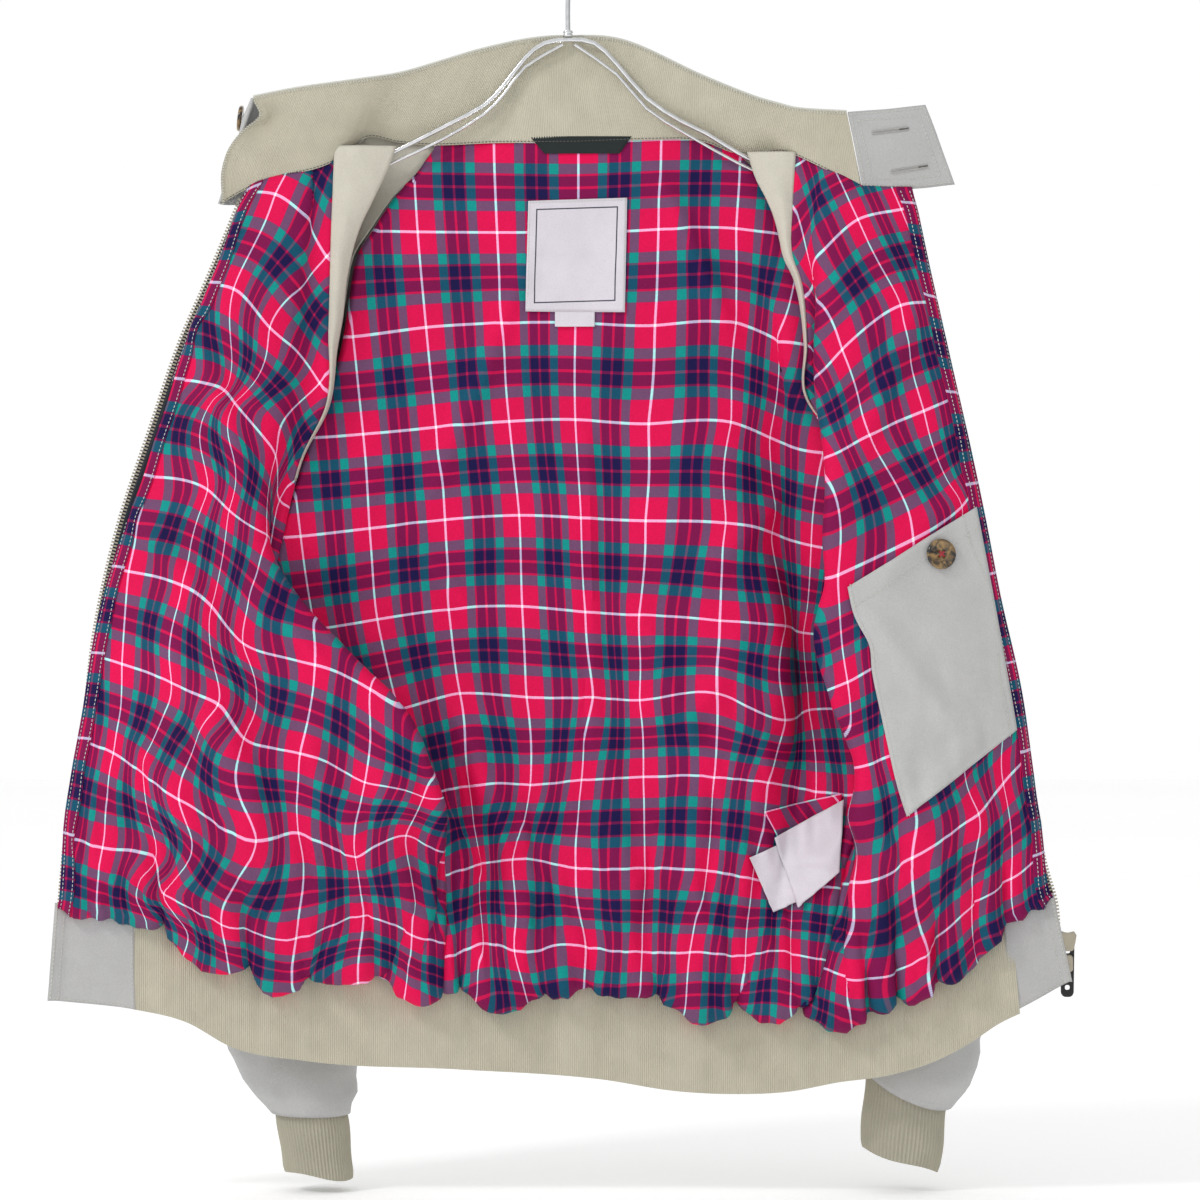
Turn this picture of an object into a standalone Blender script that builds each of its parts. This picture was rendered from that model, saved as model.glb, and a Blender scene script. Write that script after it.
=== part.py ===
"""Harrington jacket hung open on a steel hanger.

Cloth sizes are in millimetres. Across is measured from the centre back, positive to the
wearer's left; drop is measured down from the collar seam at the centre back; depth is positive
towards the outside of the back. The origin is the inner top of the hanger's hook.
"""
import math

import bpy
import numpy as np

MM = 0.001
NAME = "harrington_jacket"

# ---------------------------------------------------------------- driving sizes
NECK_DROP = 151.0        # hook to the collar seam at the centre back
UNDERARM = 0.47          # share of a side's length that the raglan seam takes
SEAM_GAP = 0.3           # clear gap between two pieces at a seam
SHELL_IN, SHELL_WALL = 0.5, 1.1      # shell cloth: distance outside the middle surface, wall
LINING_OUT, LINING_WALL = 1.8, 1.0   # lining: distance inside the middle surface, wall
LINING_INSET, SHELL_INSET = 1.2, 0.9 # panels' side edges behind their seam lines
SIDE_TURN = (3.0, 9.0)   # turn of the cloth at the side seam: across, depth
SIDE_APART = 2.5         # half the distance of front and back at the side seam
BESIDE_EDGE = 9.0        # line beside a panel's edge, where the cloth doesn't turn
TURN_RISE, TURN_END, TURN_FALL = 0.12, 0.93, 0.10   # shares over which the turn opens and closes
SLEEVE_LAP = (1.5, 6.0)  # the sleeve's edges beside and behind the raglan seams: across, depth
SLEEVE_CLOSE = 6.5       # distance of the sleeve's two edges at the underarm
NECK_GAP = 1.5           # panel tops below the collar's lower edge
NECK_FADE = 10           # how fast that move dies away down the panel
LEFT_TURN_FROM = 0.33    # the left front's cloth starts to turn above the underarm
TURN_POINTS = 15
INSET_MOST = 0.4         # largest share of a cell that a seam gap may take
RIB_WALL = 3.0           # waistband knit, folded double
COLLAR_RIB_WALL, COLLAR_RIB_APART = 1.8, 0.4
TAB_WALL = 2.4           # tabs of the waistband and the collar's left tab, folded double
LABEL_WALL = 1.0
CHAIN_WIDTH, CHAIN_WALL, CHAIN_CLEAR = 5.0, 1.6, 0.3   # zip chain, and its gap to the edge line
ZIP_ROOM = 7.2           # cloth edge beside the chain, measured across
UPPER_ROD, LOWER_ROD, HOOK_WIRE = 1.6, 1.1, 1.7   # hanger wire radii
WIRE_STEPS = 2           # straight pieces of wire between two points of its run
CUFF_RIBS, CUFF_RIB_HEIGHT, CUFF_WALL = 62, 0.7, 1.4

# ---------------------------------------------------------------- lengthwise lines
# Each row: share of the length, across, drop, depth.
ZIP_EDGE_RIGHT = (
    (0.00, -223, 40, 0), (0.11, -244, 91, -1), (0.20, -263, 135, -2), (0.32, -283, 193, -2),
    (0.47, -306, 263, -2), (0.61, -321, 331, -2), (0.73, -328, 388, -1), (0.87, -339, 452, 0),
    (1.00, -345, 515, 0))
WING_RIGHT = (
    (0.00, -202, 30, -1), (0.20, -227, 135, -9), (0.47, -252, 270, -15), (0.73, -238, 393, -24),
    (0.90, -245, 483, -22), (1.00, -248, 535, -4))
FOLD_RIGHT = (
    (0.00, -176, 20, 1), (0.10, -182, 68, -4), (0.22, -191, 132, -7), (0.32, -198, 186, -9),
    (0.40, -207, 223, -10), (0.47, -207, 267, -13), (0.56, -186, 307, -22), (0.64, -151, 348, -28),
    (0.72, -113, 386, -31), (0.80, -94, 429, -32), (0.86, -91, 459, -28), (0.90, -97, 488, -17),
    (0.94, -108, 518, -8), (1.00, -127, 558, -2))
RAGLAN_FRONT_RIGHT = (
    (0.00, -157, 8, 3), (0.10, -159, 57, 3), (0.22, -161, 128, 4), (0.32, -163, 179, 6),
    (0.40, -181, 218, 8), (0.47, -194, 268, 11))
RAGLAN_BACK_RIGHT = (
    (0.00, -89, 2, 15), (0.04, -102, 24, 17), (0.07, -117, 38, 18), (0.10, -131, 59, 18),
    (0.14, -143, 79, 19), (0.18, -148, 108, 20), (0.24, -154, 142, 20), (0.31, -166, 179, 20),
    (0.39, -182, 223, 17), (0.47, -194, 268, 13.5))
SIDE_RIGHT = ((0.60, -202, 331, 8), (0.68, -188, 366, 6), (0.75, -155, 400, 4), (0.81, -120, 433, 3),
              (0.86, -94, 460, 3), (0.90, -85, 488, 4), (1.00, -86, 562, 5))

BACK_QUARTER_RIGHT = (
    (0.00, -39, 1, 11), (0.24, -86, 142, 26), (0.47, -103, 268, 30), (0.73, -86, 388, 28),
    (0.86, -66, 459, 21), (1.00, -32, 565, 7))
BACK_CENTRE = (
    (0.00, 6, 1, 9), (0.20, 6, 115, 23), (0.50, 8, 290, 27), (0.80, 12, 455, 21), (1.00, 15, 568, 8))
BACK_QUARTER_LEFT = (
    (0.00, 49, 0, 10), (0.24, 89, 142, 24), (0.47, 113, 268, 20), (0.60, 130, 331, 17),
    (0.73, 133, 392, 15), (0.86, 120, 459, 13), (1.00, 89, 576, 8))
BACK_VALLEY_LEFT = (
    (0.00, 89, -1, 13), (0.24, 141, 142, 30), (0.47, 150, 268, 36), (0.60, 157, 331, 38),
    (0.73, 160, 388, 38), (0.86, 155, 459, 30), (1.00, 128, 577, 8))

SIDE_LEFT = ((0.60, 214, 331, 10), (0.73, 215, 388, 8), (0.81, 210, 433, 6), (0.86, 202, 459, 6),
             (0.90, 189, 490, 6), (0.94, 174, 520, 6), (1.00, 157, 575, 7))
RAGLAN_BACK_LEFT = (
    (0.00, 114, 7, 15), (0.07, 140, 40, 18), (0.10, 150, 64, 19), (0.16, 157, 89, 20),
    (0.25, 165, 138, 22), (0.31, 171, 176, 22), (0.39, 190, 223, 19), (0.47, 204, 268, 15.5))
RAGLAN_FRONT_LEFT = (
    (0.00, 153, 9, 4), (0.08, 151, 45, 4), (0.15, 151, 78, 5), (0.19, 157, 95, 5),
    (0.26, 161, 138, 6), (0.32, 160, 170, 8), (0.40, 187, 213, 10), (0.47, 204, 268, 12.5))
FOLD_LEFT = (
    (0.00, 178, 21, 1), (0.10, 174, 62, -4), (0.20, 173, 108, -8), (0.29, 170, 165, -12),
    (0.36, 176, 206, -18), (0.42, 177, 240, -20), (0.47, 175, 270, -22), (0.53, 177, 300, -22),
    (0.61, 170, 338, -21), (0.68, 181, 376, -24), (0.75, 196, 415, -28), (0.84, 199, 468, -24),
    (0.90, 197, 502, -14), (0.94, 194, 526, -8), (1.00, 190, 571, -2))
WING_LEFT = (
    (0.00, 205, 32, -1), (0.20, 212, 115, -8), (0.47, 228, 270, -16), (0.73, 250, 390, -20),
    (0.90, 262, 478, -18), (1.00, 265, 545, -3))
ZIP_EDGE_LEFT = (
    (0.00, 232, 34, 0), (0.07, 239, 67, 0), (0.16, 248, 108, -1), (0.29, 262, 170, -2),
    (0.42, 276, 232, -2), (0.57, 290, 304, -2), (0.73, 306, 377, -2), (0.86, 315, 442, -1),
    (1.00, 327, 505, 0))

# Place of each lengthwise line across its panel, and the rows and columns of the panels' cloth.
FRONT_SPREAD = (0.0, 0.38, 0.74, 0.95, 1.0)
BACK_SPREAD = (0.0, 0.04, 0.22, 0.42, 0.62, 0.80, 0.96, 1.0)
SPREADS = {"front_right": FRONT_SPREAD, "back": BACK_SPREAD,
           "front_left": tuple(1 - share for share in reversed(FRONT_SPREAD))}
BODY_ROWS = np.array([0, .07, .15, .23, .31, .39, .47, .54, .61, .68, .75, .81, .86, .905, .945,
                      .979, .99, 1.0])
BODY_COLUMNS = {
    "front_right": np.concatenate([np.linspace(0, .55, 9),
                                   (.62, .69, .74, .79, .84, .90, .95, .975, 1)]),
    "back": np.concatenate([(0, .02), np.linspace(.04, .96, 20), (.98, 1)]),
    "front_left": np.concatenate([(0, .025, .05, .10, .16, .21, .26, .31, .38),
                                  np.linspace(.45, 1, 9)])}

# Seam of body and waistband. Each row: across, drop of the seam, drop of the lower edge, depth.
WAISTBAND = (
    (-346, 515, 581, 0), (-293, 523, 587, 0), (-257, 529, 596, 1), (-228, 543, 612, 1),
    (-177, 555, 622, 2), (-74, 561, 628, 5), (22, 568, 635, 8), (73, 575, 643, 8),
    (112, 577, 645, 8), (151, 575, 643, 7), (182, 569, 637, 6), (215, 565, 632, 4),
    (241, 556, 624, 3), (267, 543, 610, 2), (285, 530, 597, 1), (306, 518, 586, 0),
    (338, 503, 568, 0))
BAND_ENDS = (-292.6, 298.6)          # across of the knit part's two ends
BAND_COLUMNS = 36
BAND_FLARE = (200, 6.5)              # its lower edge widens from here to the left end, and by this
# Cloth tabs at its ends. Each row: side, across of the ends, flare of the lower edge there, columns.
WAIST_TABS = (("right", (-339.5, -293), (-6, 0), 6), ("left", (299, 323), (7, 2.5), 5))

# Puffs of the lining over the waistband. Each row: across and drop of the cleft, drop of the
# belly between it and the next cleft.
HEM_PUFFS = (
    (-272, 523, 554), (-215, 552, 572), (-179, 560, 562), (-130, 559, 575), (-73, 566, 582),
    (-16, 574, 572), (15, 568, 572), (59, 568, 589), (112, 576, 589), (153, 580, 595),
    (202, 586, 583), (221, 575, 577), (248, 566, 560), (275, 552, 543), (295, 530, 530))
PUFF_START = 0.90        # share of the length where the cloth starts to puff
PUFF_TURN = 0.85         # share of the puff where it turns under
PUFF_DEPTH = 9.0
CLEFT_SHARE = 0.45       # share of that depth at a cleft
PUFF_LEAST, PUFF_REST = 1.0, 0.5     # overhang and depth where the cloth doesn't puff
TUCK_SHARE, TUCK_LEAST = 0.6, 0.4    # how far it turns back up: share of the overhang, and more
PUFF_LEAVES, PUFF_LATE = 0.55, 1.5   # share over which it leaves its panel, how low it bulges
SHELL_PUFF, SHELL_PUFF_DEPTH, GATHER_PITCH = 9.0, 8.0, 35.3
PUFF_SPAN, PUFF_FADE = (-300, 303), (45, 30)   # the puffs die away towards the front edges

# Largest folds. Each row: across and drop where it starts, where it ends, half width, depth.
FOLDS = (
    (-213, 330, -172, 493, 13, 3), (-262, 300, -250, 470, 22, -7), (-240, 340, -210, 500, 14, -8),
    (-161, 432, -140, 533, 11, 3), (-128, 400, -112, 530, 14, -7), (-55, 481, -82, 544, 10, 3),
    (-66, 391, -19, 553, 15, -8), (49, 445, 62, 553, 12, 3), (22, 360, 35, 540, 16, -6),
    (84, 420, 76, 560, 12, -6), (192, 372, 229, 500, 10, 3), (228, 450, 258, 545, 14, -7),
    (283, 440, 285, 520, 11, 3))
FOLD_START, FOLD_END = (-0.1, 0.4), (1.1, 0.35)      # a fold's ends, and the shares it fades over

# ---------------------------------------------------------------- sleeves
# Rings of a sleeve. Each row: share of the length, across, drop and depth of the centre, half
# width, half thickness, opening towards the body and its direction in degrees, tilt, sag of the
# front.
SLEEVE_RIGHT = (
    (0.00, -123, 3, 17, 34, 2, 180, -90, 0, 0), (0.064, -149, 40, 19.5, 43, 12, 150, -30, 0, 0),
    (0.137, -181, 85, 27.5, 37, 16, 73, -21, 0, 0), (0.21, -190, 134, 34, 40, 22, 42, -25, 0, 0),
    (0.284, -203, 176, 45, 39, 30, 26, -38, 0, 0), (0.357, -211, 219, 63, 41, 34, 20, -55, 0, 0),
    (0.43, -205, 268, 70, 47, 38, 12, -70, 0, 0), (0.50, -199, 318, 73, 54, 38, 0, -70, 0, 0),
    (0.60, -194, 385, 75, 58, 37, 0, -70, 0, 0), (0.75, -189, 490, 73, 54, 33, 0, -70, 0, 0),
    (0.88, -189, 580, 64, 47, 28, 0, -70, 0, 0), (0.94, -188, 622, 57, 41, 26, 0, -70, 0, 1),
    (0.975, -182, 648, 51, 32, 26, 0, -70, 0.02, 2), (1.00, -177, 661, 48, 26, 24.5, 0, -70, 0.04, 2))
SLEEVE_LEFT = (
    (0.00, 133, 5, 17.5, 20, 2, 180, -90, 0, 0), (0.064, 165, 40, 23, 25, 12, 79, -20, 0, 0),
    (0.137, 186, 83, 35, 36, 22, 30, -32, 0, 0), (0.21, 202, 125, 42, 37, 27, 25, -38, 0, 0),
    (0.284, 213, 172, 50, 38, 31, 25, -38, 0, 0), (0.357, 223, 219, 63, 38, 34, 20, -55, 0, 0),
    (0.43, 220, 268, 70, 48, 38, 12, -70, 0, 0), (0.50, 220, 318, 73, 54, 38, 0, -70, 0, 0),
    (0.60, 222, 385, 75, 58, 37, 0, -70, 0, 0), (0.75, 230, 490, 73, 54, 33, 0, -70, 0, 0),
    (0.88, 240, 575, 65, 43, 28, 0, -70, 0.05, 0), (0.94, 243, 605, 58, 37, 27, 0, -70, 0.15, 3),
    (0.975, 238, 629, 52, 35, 27, 0, -70, 0.35, 9), (1.00, 233, 641, 49, 30, 24.5, 0, -70, 0.42, 12))
SLEEVE_UNDERARM = 0.43   # share of the sleeve's length at the underarm
SLEEVE_FREE = 0.52       # from here down the rings alone give the shape, and the lining ends
SLEEVE_TUBE = 0.55       # from here down the sleeve is a closed tube
SLEEVE_LINING_APART = 1.5            # extra gap between a sleeve's lining and its shell
SEAM_REACH = (0.30, 0.25)            # share around the arm that the front and the back seam pull
SEAM_PULL = 1.5          # how fast that pull dies away
SLEEVE_CLOSES = 0.6      # share of the way to the underarm where the two edges start to meet
SLEEVE_AROUND = np.array([0, .05, .10, .15, .20, .27, .35, .44, .53, .62, .71, .80, .88, .94, 1.0])
SLEEVE_ALONG = np.concatenate([BODY_ROWS[:7] * SLEEVE_UNDERARM / UNDERARM,
                               (.50, .60, .71, .82, .91, .96, 1.0)])
# Each row: side, rings, front and back raglan seam, direction of the turn.
SLEEVES = (
    ("right", SLEEVE_RIGHT, RAGLAN_FRONT_RIGHT, RAGLAN_BACK_RIGHT, 1),
    ("left", SLEEVE_LEFT, RAGLAN_FRONT_LEFT, RAGLAN_BACK_LEFT, -1))
# Cuffs. Each row: side, across and drop of the upper ring, of the lower ring, half width, half
# thickness, tilt of the upper and the lower ring, depth of the upper and the lower ring.
CUFFS = (
    ("right", -178, 646, -171, 704, 23.2, 20.2, 0.05, 0.14, 48, 45),
    ("left", 233, 632, 227, 694, 26.4, 20.2, 0.40, 0.30, 49, 46))

# ---------------------------------------------------------------- collar
# Each row: across, drop and depth at the neck seam; across, drop and depth at the upper edge.
COLLAR = (
    (-234, 43, 0, -211, -28, -3), (-205, 28, 0, -181, -34, -3), (-165, 17, 2, -141, -40, 0),
    (-139, -3, 11, -113, -45, 4), (-115, 0, 15, -86, -53, 6), (-89, 2, 15, -59, -61, 6),
    (-46, 1, 11, -27, -68, 7), (6, 1, 9, 0, -70, 8), (55, -1, 10, 38, -67, 7),
    (89, -1, 13, 89, -44, 6), (114, 7, 15, 123, -30, 5), (135, 7, 12, 142, -24, 3),
    (153, 9, 4, 157, -20, 0), (198, 32, 0, 188, -18, -3))
COLLAR_BOW = 3.0         # how far the collar's middle stands out from its edges
COLLAR_COLUMNS, COLLAR_ROWS = 27, 4
TAB_LEFT_COLUMNS, TAB_RIGHT_ROWS = 5, 6
SEAM_POINTS = 120        # points along the neck seam
# Columns of the right tab, folded back behind the collar's end: across and depth from that end.
TAB_RIGHT = ((-0.8, 1.6), (-1.5, 6), (4, 12), (16, 13.5), (30, 13))
COLLAR_TAB = ((198.6, 32.3, 0, 188.6, -18, -3), (230, 33, 1, 214, -20, -2), (261, 30, 2, 241, -23, -1))
TAB_RIGHT_WALL = 2.0
TAB_STAND = (3.0, -14, 13)           # bulge under its button: height, drop, half width

# ---------------------------------------------------------------- zip
# Outer edge of each chain. Each row: step along it, across, drop, depth.
CHAIN_RIGHT = ZIP_EDGE_RIGHT + ((1.08, -348, 545, 0), (1.16, -351.5, 579, 0))
CHAIN_LEFT = ZIP_EDGE_LEFT[:-1] + ((0.97, 324.5, 491, 0), (1.02, 331, 514, 0), (1.06, 332.5, 528, 0),
                                  (1.12, 332.5, 561, 0))
CHAIN_ENDS = {"right": (1.16, 18), "left": (1.12, 17)}       # last step and number of rows
CHAIN_START = {"right": -CHAIN_WALL / 2, "left": -0.1}       # back of the chain from its line
SLIDER, SLIDER_SIZE = (337.5, 541.0, 0.0), (10.0, 12.0, 6.0) # middle; size across, down, deep
SLIDER_BEVEL, BOX_BEVEL = 1.2, 0.8
PIN_DROP, PIN_DEPTH = 2.6, 4.7       # hinge of the pull, from the slider's middle
BRIDGE_DEPTH, BRIDGE_SIZE = 5.3, (2.6, 7.2, 4.8)
WINDOW_DEPTH, WINDOW_SIZE = 4.6, (4.0, 4.0, 3.2)
PULL_TOP, PULL_SIZE = 0.9, (9.0, 36.0, 1.6)                  # end of the pull above its hinge
# Holes in the pull: drop below the hinge, size across, down, deep.
PULL_OPENING = (3.6, (4.4, 5.4, 4.0))
PULL_EYE = (29.0, (4.0, 4.0, 4.0))
BOX_PLACE, BOX_SIZE = (336.3, 556.0, 0.0), (7.5, 10.0, 4.0)

# ---------------------------------------------------------------- pieces on the panels
# Each row: name, panel, distance from it, columns, rows, finish, four corners of (across, drop).
FLAT_PIECES = (
    ("neck_label", "back", 2.4, 5, 5, "label_cloth", ((-27, 40), (40, 38), (38, 115), (-29, 114))),
    ("size_tab", "back", 2.4, 3, 2, "label_cloth", ((-9, 116.5), (18, 116.5), (18, 125), (-9, 125))),
    ("neck_tape", "back", 2.4, 5, 2, "dark_tape", ((-26, 3), (43, 3), (43, 9), (-26, 9))),
    ("lining_flap", "back", 3.4, 5, 5, "tartan_lining", ((133, 454), (186, 442), (184, 486), (153, 492))),
    ("care_label_1", "back", 6.2, 4, 6, "label_cloth", ((123, 485), (151, 473), (154, 515), (139, 522))),
    ("care_label_2", "back", 8.7, 5, 5, "label_cloth", ((140, 472), (187, 446), (183, 494), (155, 518))))
# Sides of the inside pocket. Each row: share of the height, across, drop.
POCKET_LEFT = ((0, 187, 302), (0.25, 193, 334), (0.45, 202, 358), (0.8, 219, 432), (1, 226, 455))
POCKET_RIGHT = ((0, 275, 248), (0.25, 283, 290), (0.6, 293, 345), (0.85, 300, 385), (1, 302, 398))
POCKET_BUTTON = (250.0, 280.0)
BUTTON_RADIUS, COLLAR_BUTTON_RADIUS, BUTTON_WALL = 10.2, 8.8, 3.0
POCKET_AWAY, POCKET_COLUMNS, POCKET_ROWS = 3.4, 6, 7
BUTTON_AWAY = 0.9                    # back of the pocket's button in front of the pocket
# Buttons of the right collar tab. Each row: place (across, drop, depth), direction of its face.
COLLAR_BUTTONS = (((-220.6, -15.5, 12.5), (-1, 0, 0.12)), ((-196.0, 2.0, 13.5), (0, 1, 0)))
BUTTON_SIDES = 18
BUTTON_BACK, BUTTON_RIM = (1.0, 1.0), (0.9, 0.8)     # rounding: inwards, along the axis
BUTTON_DISH = (2.2, 0.5)             # where the dished face starts and how deep it is
LAY_STEPS = 6                        # points of a panel's cell that a piece on it is laid on
LAY_NEAREST = 4                      # points of the panel that a place rests on
LAY_FACING, LAY_STEEPEST = 0.3, 0.6  # least share of the panel's face turned to the inside

# ---------------------------------------------------------------- hanger
# Each row: across, drop, depth.
UPPER_ROD_RUN = (
    (-176, 37, 18), (-161, 28, 16), (-140, 17.5, 13), (-119, 8, 8), (-92, -5, 4), (-80, -11, 2.5),
    (-57, -23, 0), (-43, -37, -1), (-29, -55, -1), (-16, -65, -0.5), (1, -67.5, 0), (18, -65, -0.5),
    (33, -51, -1), (53, -28, -1), (76, -13, 2), (93, -5, 4), (115, 8, 8), (136, 18, 13),
    (157, 28, 17), (168, 33.5, 19))
LOWER_ROD_RIGHT = ((-3.5, -64.2, 0), (-29, -49, -1), (-43, -31, -1), (-57, -17, -0.5), (-84, -1, 3),
                   (-119, 15, 8), (-142, 24, 13))
LOWER_ROD_LEFT = ((4.5, -64.2, 0), (33, -44, -1), (53, -21, -1), (80, -4, 2.5), (115, 15, 8),
                  (138, 24.5, 13))
STEM = ((0, -73.9, 0), (0, -96, 0), (2.4, -106, 0))
HOOK_RADIUS = 19.7
CLASP = (3.4, -81.6, -77.4)      # radius, bottom and top height
HOOK_TURNS = np.arange(-50, 201, 25)             # degrees round the hook
WIRE_ROUND, CLASP_SIDES = 2, 16      # roundness of the wires, sides of the clasp

COLOURS = {              # material: colour, roughness, metallic
    "shell_cloth": ((0.54, 0.52, 0.48), 0.72, 0.0), "tartan_lining": ((0.62, 0.03, 0.10), 0.7, 0.0),
    "sleeve_lining": ((0.50, 0.47, 0.34), 0.6, 0.0), "rib_knit": ((0.48, 0.47, 0.31), 0.85, 0.0),
    "zip_metal": ((0.35, 0.34, 0.32), 0.35, 1.0), "pull_metal": ((0.03, 0.03, 0.03), 0.4, 0.6),
    "tortoise_button": ((0.10, 0.06, 0.04), 0.25, 0.0), "label_cloth": ((0.80, 0.79, 0.77), 0.6, 0.0),
    "dark_tape": ((0.02, 0.03, 0.03), 0.7, 0.0), "hanger_steel": ((0.75, 0.75, 0.76), 0.15, 1.0)}


# ---------------------------------------------------------------- tools
def smooth(table, at):
    """Smooth curve through the rows of a table, whose first column is the place along it."""
    rows = np.asarray(table, float)
    knots, values = rows[:, 0], rows[:, 1:]
    slopes = np.gradient(values, knots, axis=0)
    at = np.clip(np.atleast_1d(np.asarray(at, float)), knots[0], knots[-1])
    cell = np.clip(np.searchsorted(knots, at, side="right") - 1, 0, len(knots) - 2)
    width = (knots[cell + 1] - knots[cell])[:, None]
    t = (at - knots[cell])[:, None] / width
    start, end = values[cell], values[cell + 1]
    return (start * (2 * t ** 3 - 3 * t ** 2 + 1) + slopes[cell] * width * (t ** 3 - 2 * t ** 2 + t)
            + end * (3 * t ** 2 - 2 * t ** 3) + slopes[cell + 1] * width * (t ** 3 - t ** 2))


def across_lines(lines, spread, columns, rows):
    """Surface through lengthwise lines: grid of columns by rows of (across, drop, depth)."""
    sampled = np.array([smooth(line, rows) for line in lines])
    flat = sampled.reshape(len(lines), -1)
    table = np.column_stack([spread, flat])
    return smooth(table, columns).reshape(len(columns), len(rows), 3)


def ease(t):
    t = np.clip(t, 0.0, 1.0)
    return t * t * (3 - 2 * t)


def to_world(grid):
    """Turn (across, drop, depth) in millimetres into metres with Z up."""
    return np.stack([grid[..., 0], grid[..., 2], -(NECK_DROP + grid[..., 1])], axis=-1) * MM


def outward(grid):
    """Unit normals of a grid, pointing to the outside of the garment."""
    along = np.gradient(grid, axis=0)
    down = np.gradient(grid, axis=1)
    normal = np.cross(along, down)
    length = np.linalg.norm(normal, axis=-1, keepdims=True)
    return normal / np.maximum(length, 1e-12)


def inset(grid, first=0.0, last=0.0, top=0.0, bottom=0.0):
    """Move a grid's borders inwards, so that the pieces stand apart at their seams."""
    grid = grid.copy()
    for edge, inner, amount in (
            (grid[0], grid[1], first), (grid[-1], grid[-2], last),
            (grid[:, 0], grid[:, 1], top), (grid[:, -1], grid[:, -2], bottom)):
        step = inner - edge
        length = np.maximum(np.linalg.norm(step, axis=-1, keepdims=True), 1e-9)
        edge += step / length * np.minimum(amount * MM, INSET_MOST * length)
    return grid


def collection():
    if NAME not in bpy.data.collections:
        bpy.context.scene.collection.children.link(bpy.data.collections.new(NAME))
    return bpy.data.collections[NAME]


def material(piece, finish):
    colour, roughness, metallic = COLOURS[finish]
    made = bpy.data.materials.new(f"{piece}_{finish}")
    made.use_nodes = True
    shader = made.node_tree.nodes["Principled BSDF"]
    shader.inputs["Base Color"].default_value = (*colour, 1.0)
    shader.inputs["Roughness"].default_value = roughness
    shader.inputs["Metallic"].default_value = metallic
    made.diffuse_color = (*colour, 1.0)
    return made


def add_mesh(name, points, faces, finish):
    mesh = bpy.data.meshes.new(name)
    mesh.from_pydata([tuple(p) for p in points], [], faces)
    mesh.materials.append(material(name, finish))
    mesh.shade_smooth()
    made = bpy.data.objects.new(name, mesh)
    collection().objects.link(made)
    return made


def cloth(name, grid, start, wall, finish, tube_from=None):
    """A wall of cloth: the grid moved out by start, then given its thickness outwards.

    From row tube_from on, the first and the last column are one.
    """
    normal = outward(grid)
    if tube_from is not None:
        both = normal[0, tube_from:] + normal[-1, tube_from:]
        both /= np.linalg.norm(both, axis=-1, keepdims=True)
        normal[0, tube_from:] = normal[-1, tube_from:] = both
    points = grid + normal * start * MM
    columns, rows = points.shape[:2]
    faces = []
    for i in range(columns - 1):
        for j in range(rows - 1):
            here, beside = i * rows + j, (i + 1) * rows + j
            faces += [(here, beside, beside + 1), (here, beside + 1, here + 1)]
    if tube_from is not None:
        end = (columns - 1) * rows
        faces = [tuple(k - end if k >= end + tube_from else k for k in face) for face in faces]
        kept = [k for k in range(columns * rows) if k < end + tube_from]
        points = points.reshape(-1, 3)[kept]
    made = add_mesh(name, points.reshape(-1, 3), faces, finish)
    solid = made.modifiers.new("wall", "SOLIDIFY")
    solid.thickness = wall * MM
    solid.offset = 1.0
    solid.use_even_offset = False
    return made


def shell_wall(name, grid, finish="shell_cloth", tube_from=None):
    return cloth(name, grid, SHELL_IN, SHELL_WALL, finish, tube_from)


def lining_wall(name, grid, finish="tartan_lining", apart=0.0):
    return cloth(name, grid, -LINING_OUT - apart, LINING_WALL, finish)


def wire(name, points, radius, finish):
    """A round wire through points of (across, drop, depth)."""
    table = [(k, *p) for k, p in enumerate(points)]
    last = len(points) - 1
    route = to_world(smooth(table, np.linspace(0, last, WIRE_STEPS * last + 1)))
    curve = bpy.data.curves.new(name, "CURVE")
    curve.dimensions = "3D"
    curve.bevel_depth = radius * MM
    curve.bevel_resolution = WIRE_ROUND
    curve.use_fill_caps = True
    spline = curve.splines.new("POLY")
    spline.points.add(len(route) - 1)
    for point, place in zip(spline.points, route):
        point.co = (*place, 1.0)
    curve.materials.append(material(name, finish))
    made = bpy.data.objects.new(name, curve)
    collection().objects.link(made)
    return made


# ---------------------------------------------------------------- body
def fold_depth(across, drop):
    """Depth that the largest folds add at a place."""
    total = np.zeros_like(across)
    for x0, d0, x1, d1, half_width, height in FOLDS:
        run = np.array([x1 - x0, d1 - d0], float)
        share = ((across - x0) * run[0] + (drop - d0) * run[1]) / (run @ run)
        away = np.hypot(across - x0 - share * run[0], drop - d0 - share * run[1])
        fade = (ease((share - FOLD_START[0]) / FOLD_START[1])
                * ease((FOLD_END[0] - share) / FOLD_END[1]))
        total += height * np.exp(-(away / half_width) ** 2) * fade
    return total


def neck_seam(across):
    """Drop and depth of the collar's lower edge."""
    edge = [row[:3] for row in COLLAR + COLLAR_TAB]
    dense = smooth([(k, *row) for k, row in enumerate(edge)], np.linspace(0, len(edge) - 1, SEAM_POINTS))
    return np.column_stack([np.interp(across, dense[:, 0], dense[:, k]) for k in (1, 2)])


def meet_collar(grid, rows):
    """Bring the top of a piece to the neck seam."""
    seam = neck_seam(grid[:, 0, 0])
    fade = (1 - rows)[None, :] ** NECK_FADE
    grid[..., 1] += (seam[:, 0] + NECK_GAP - grid[:, 0, 1])[:, None] * fade
    return grid


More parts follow.
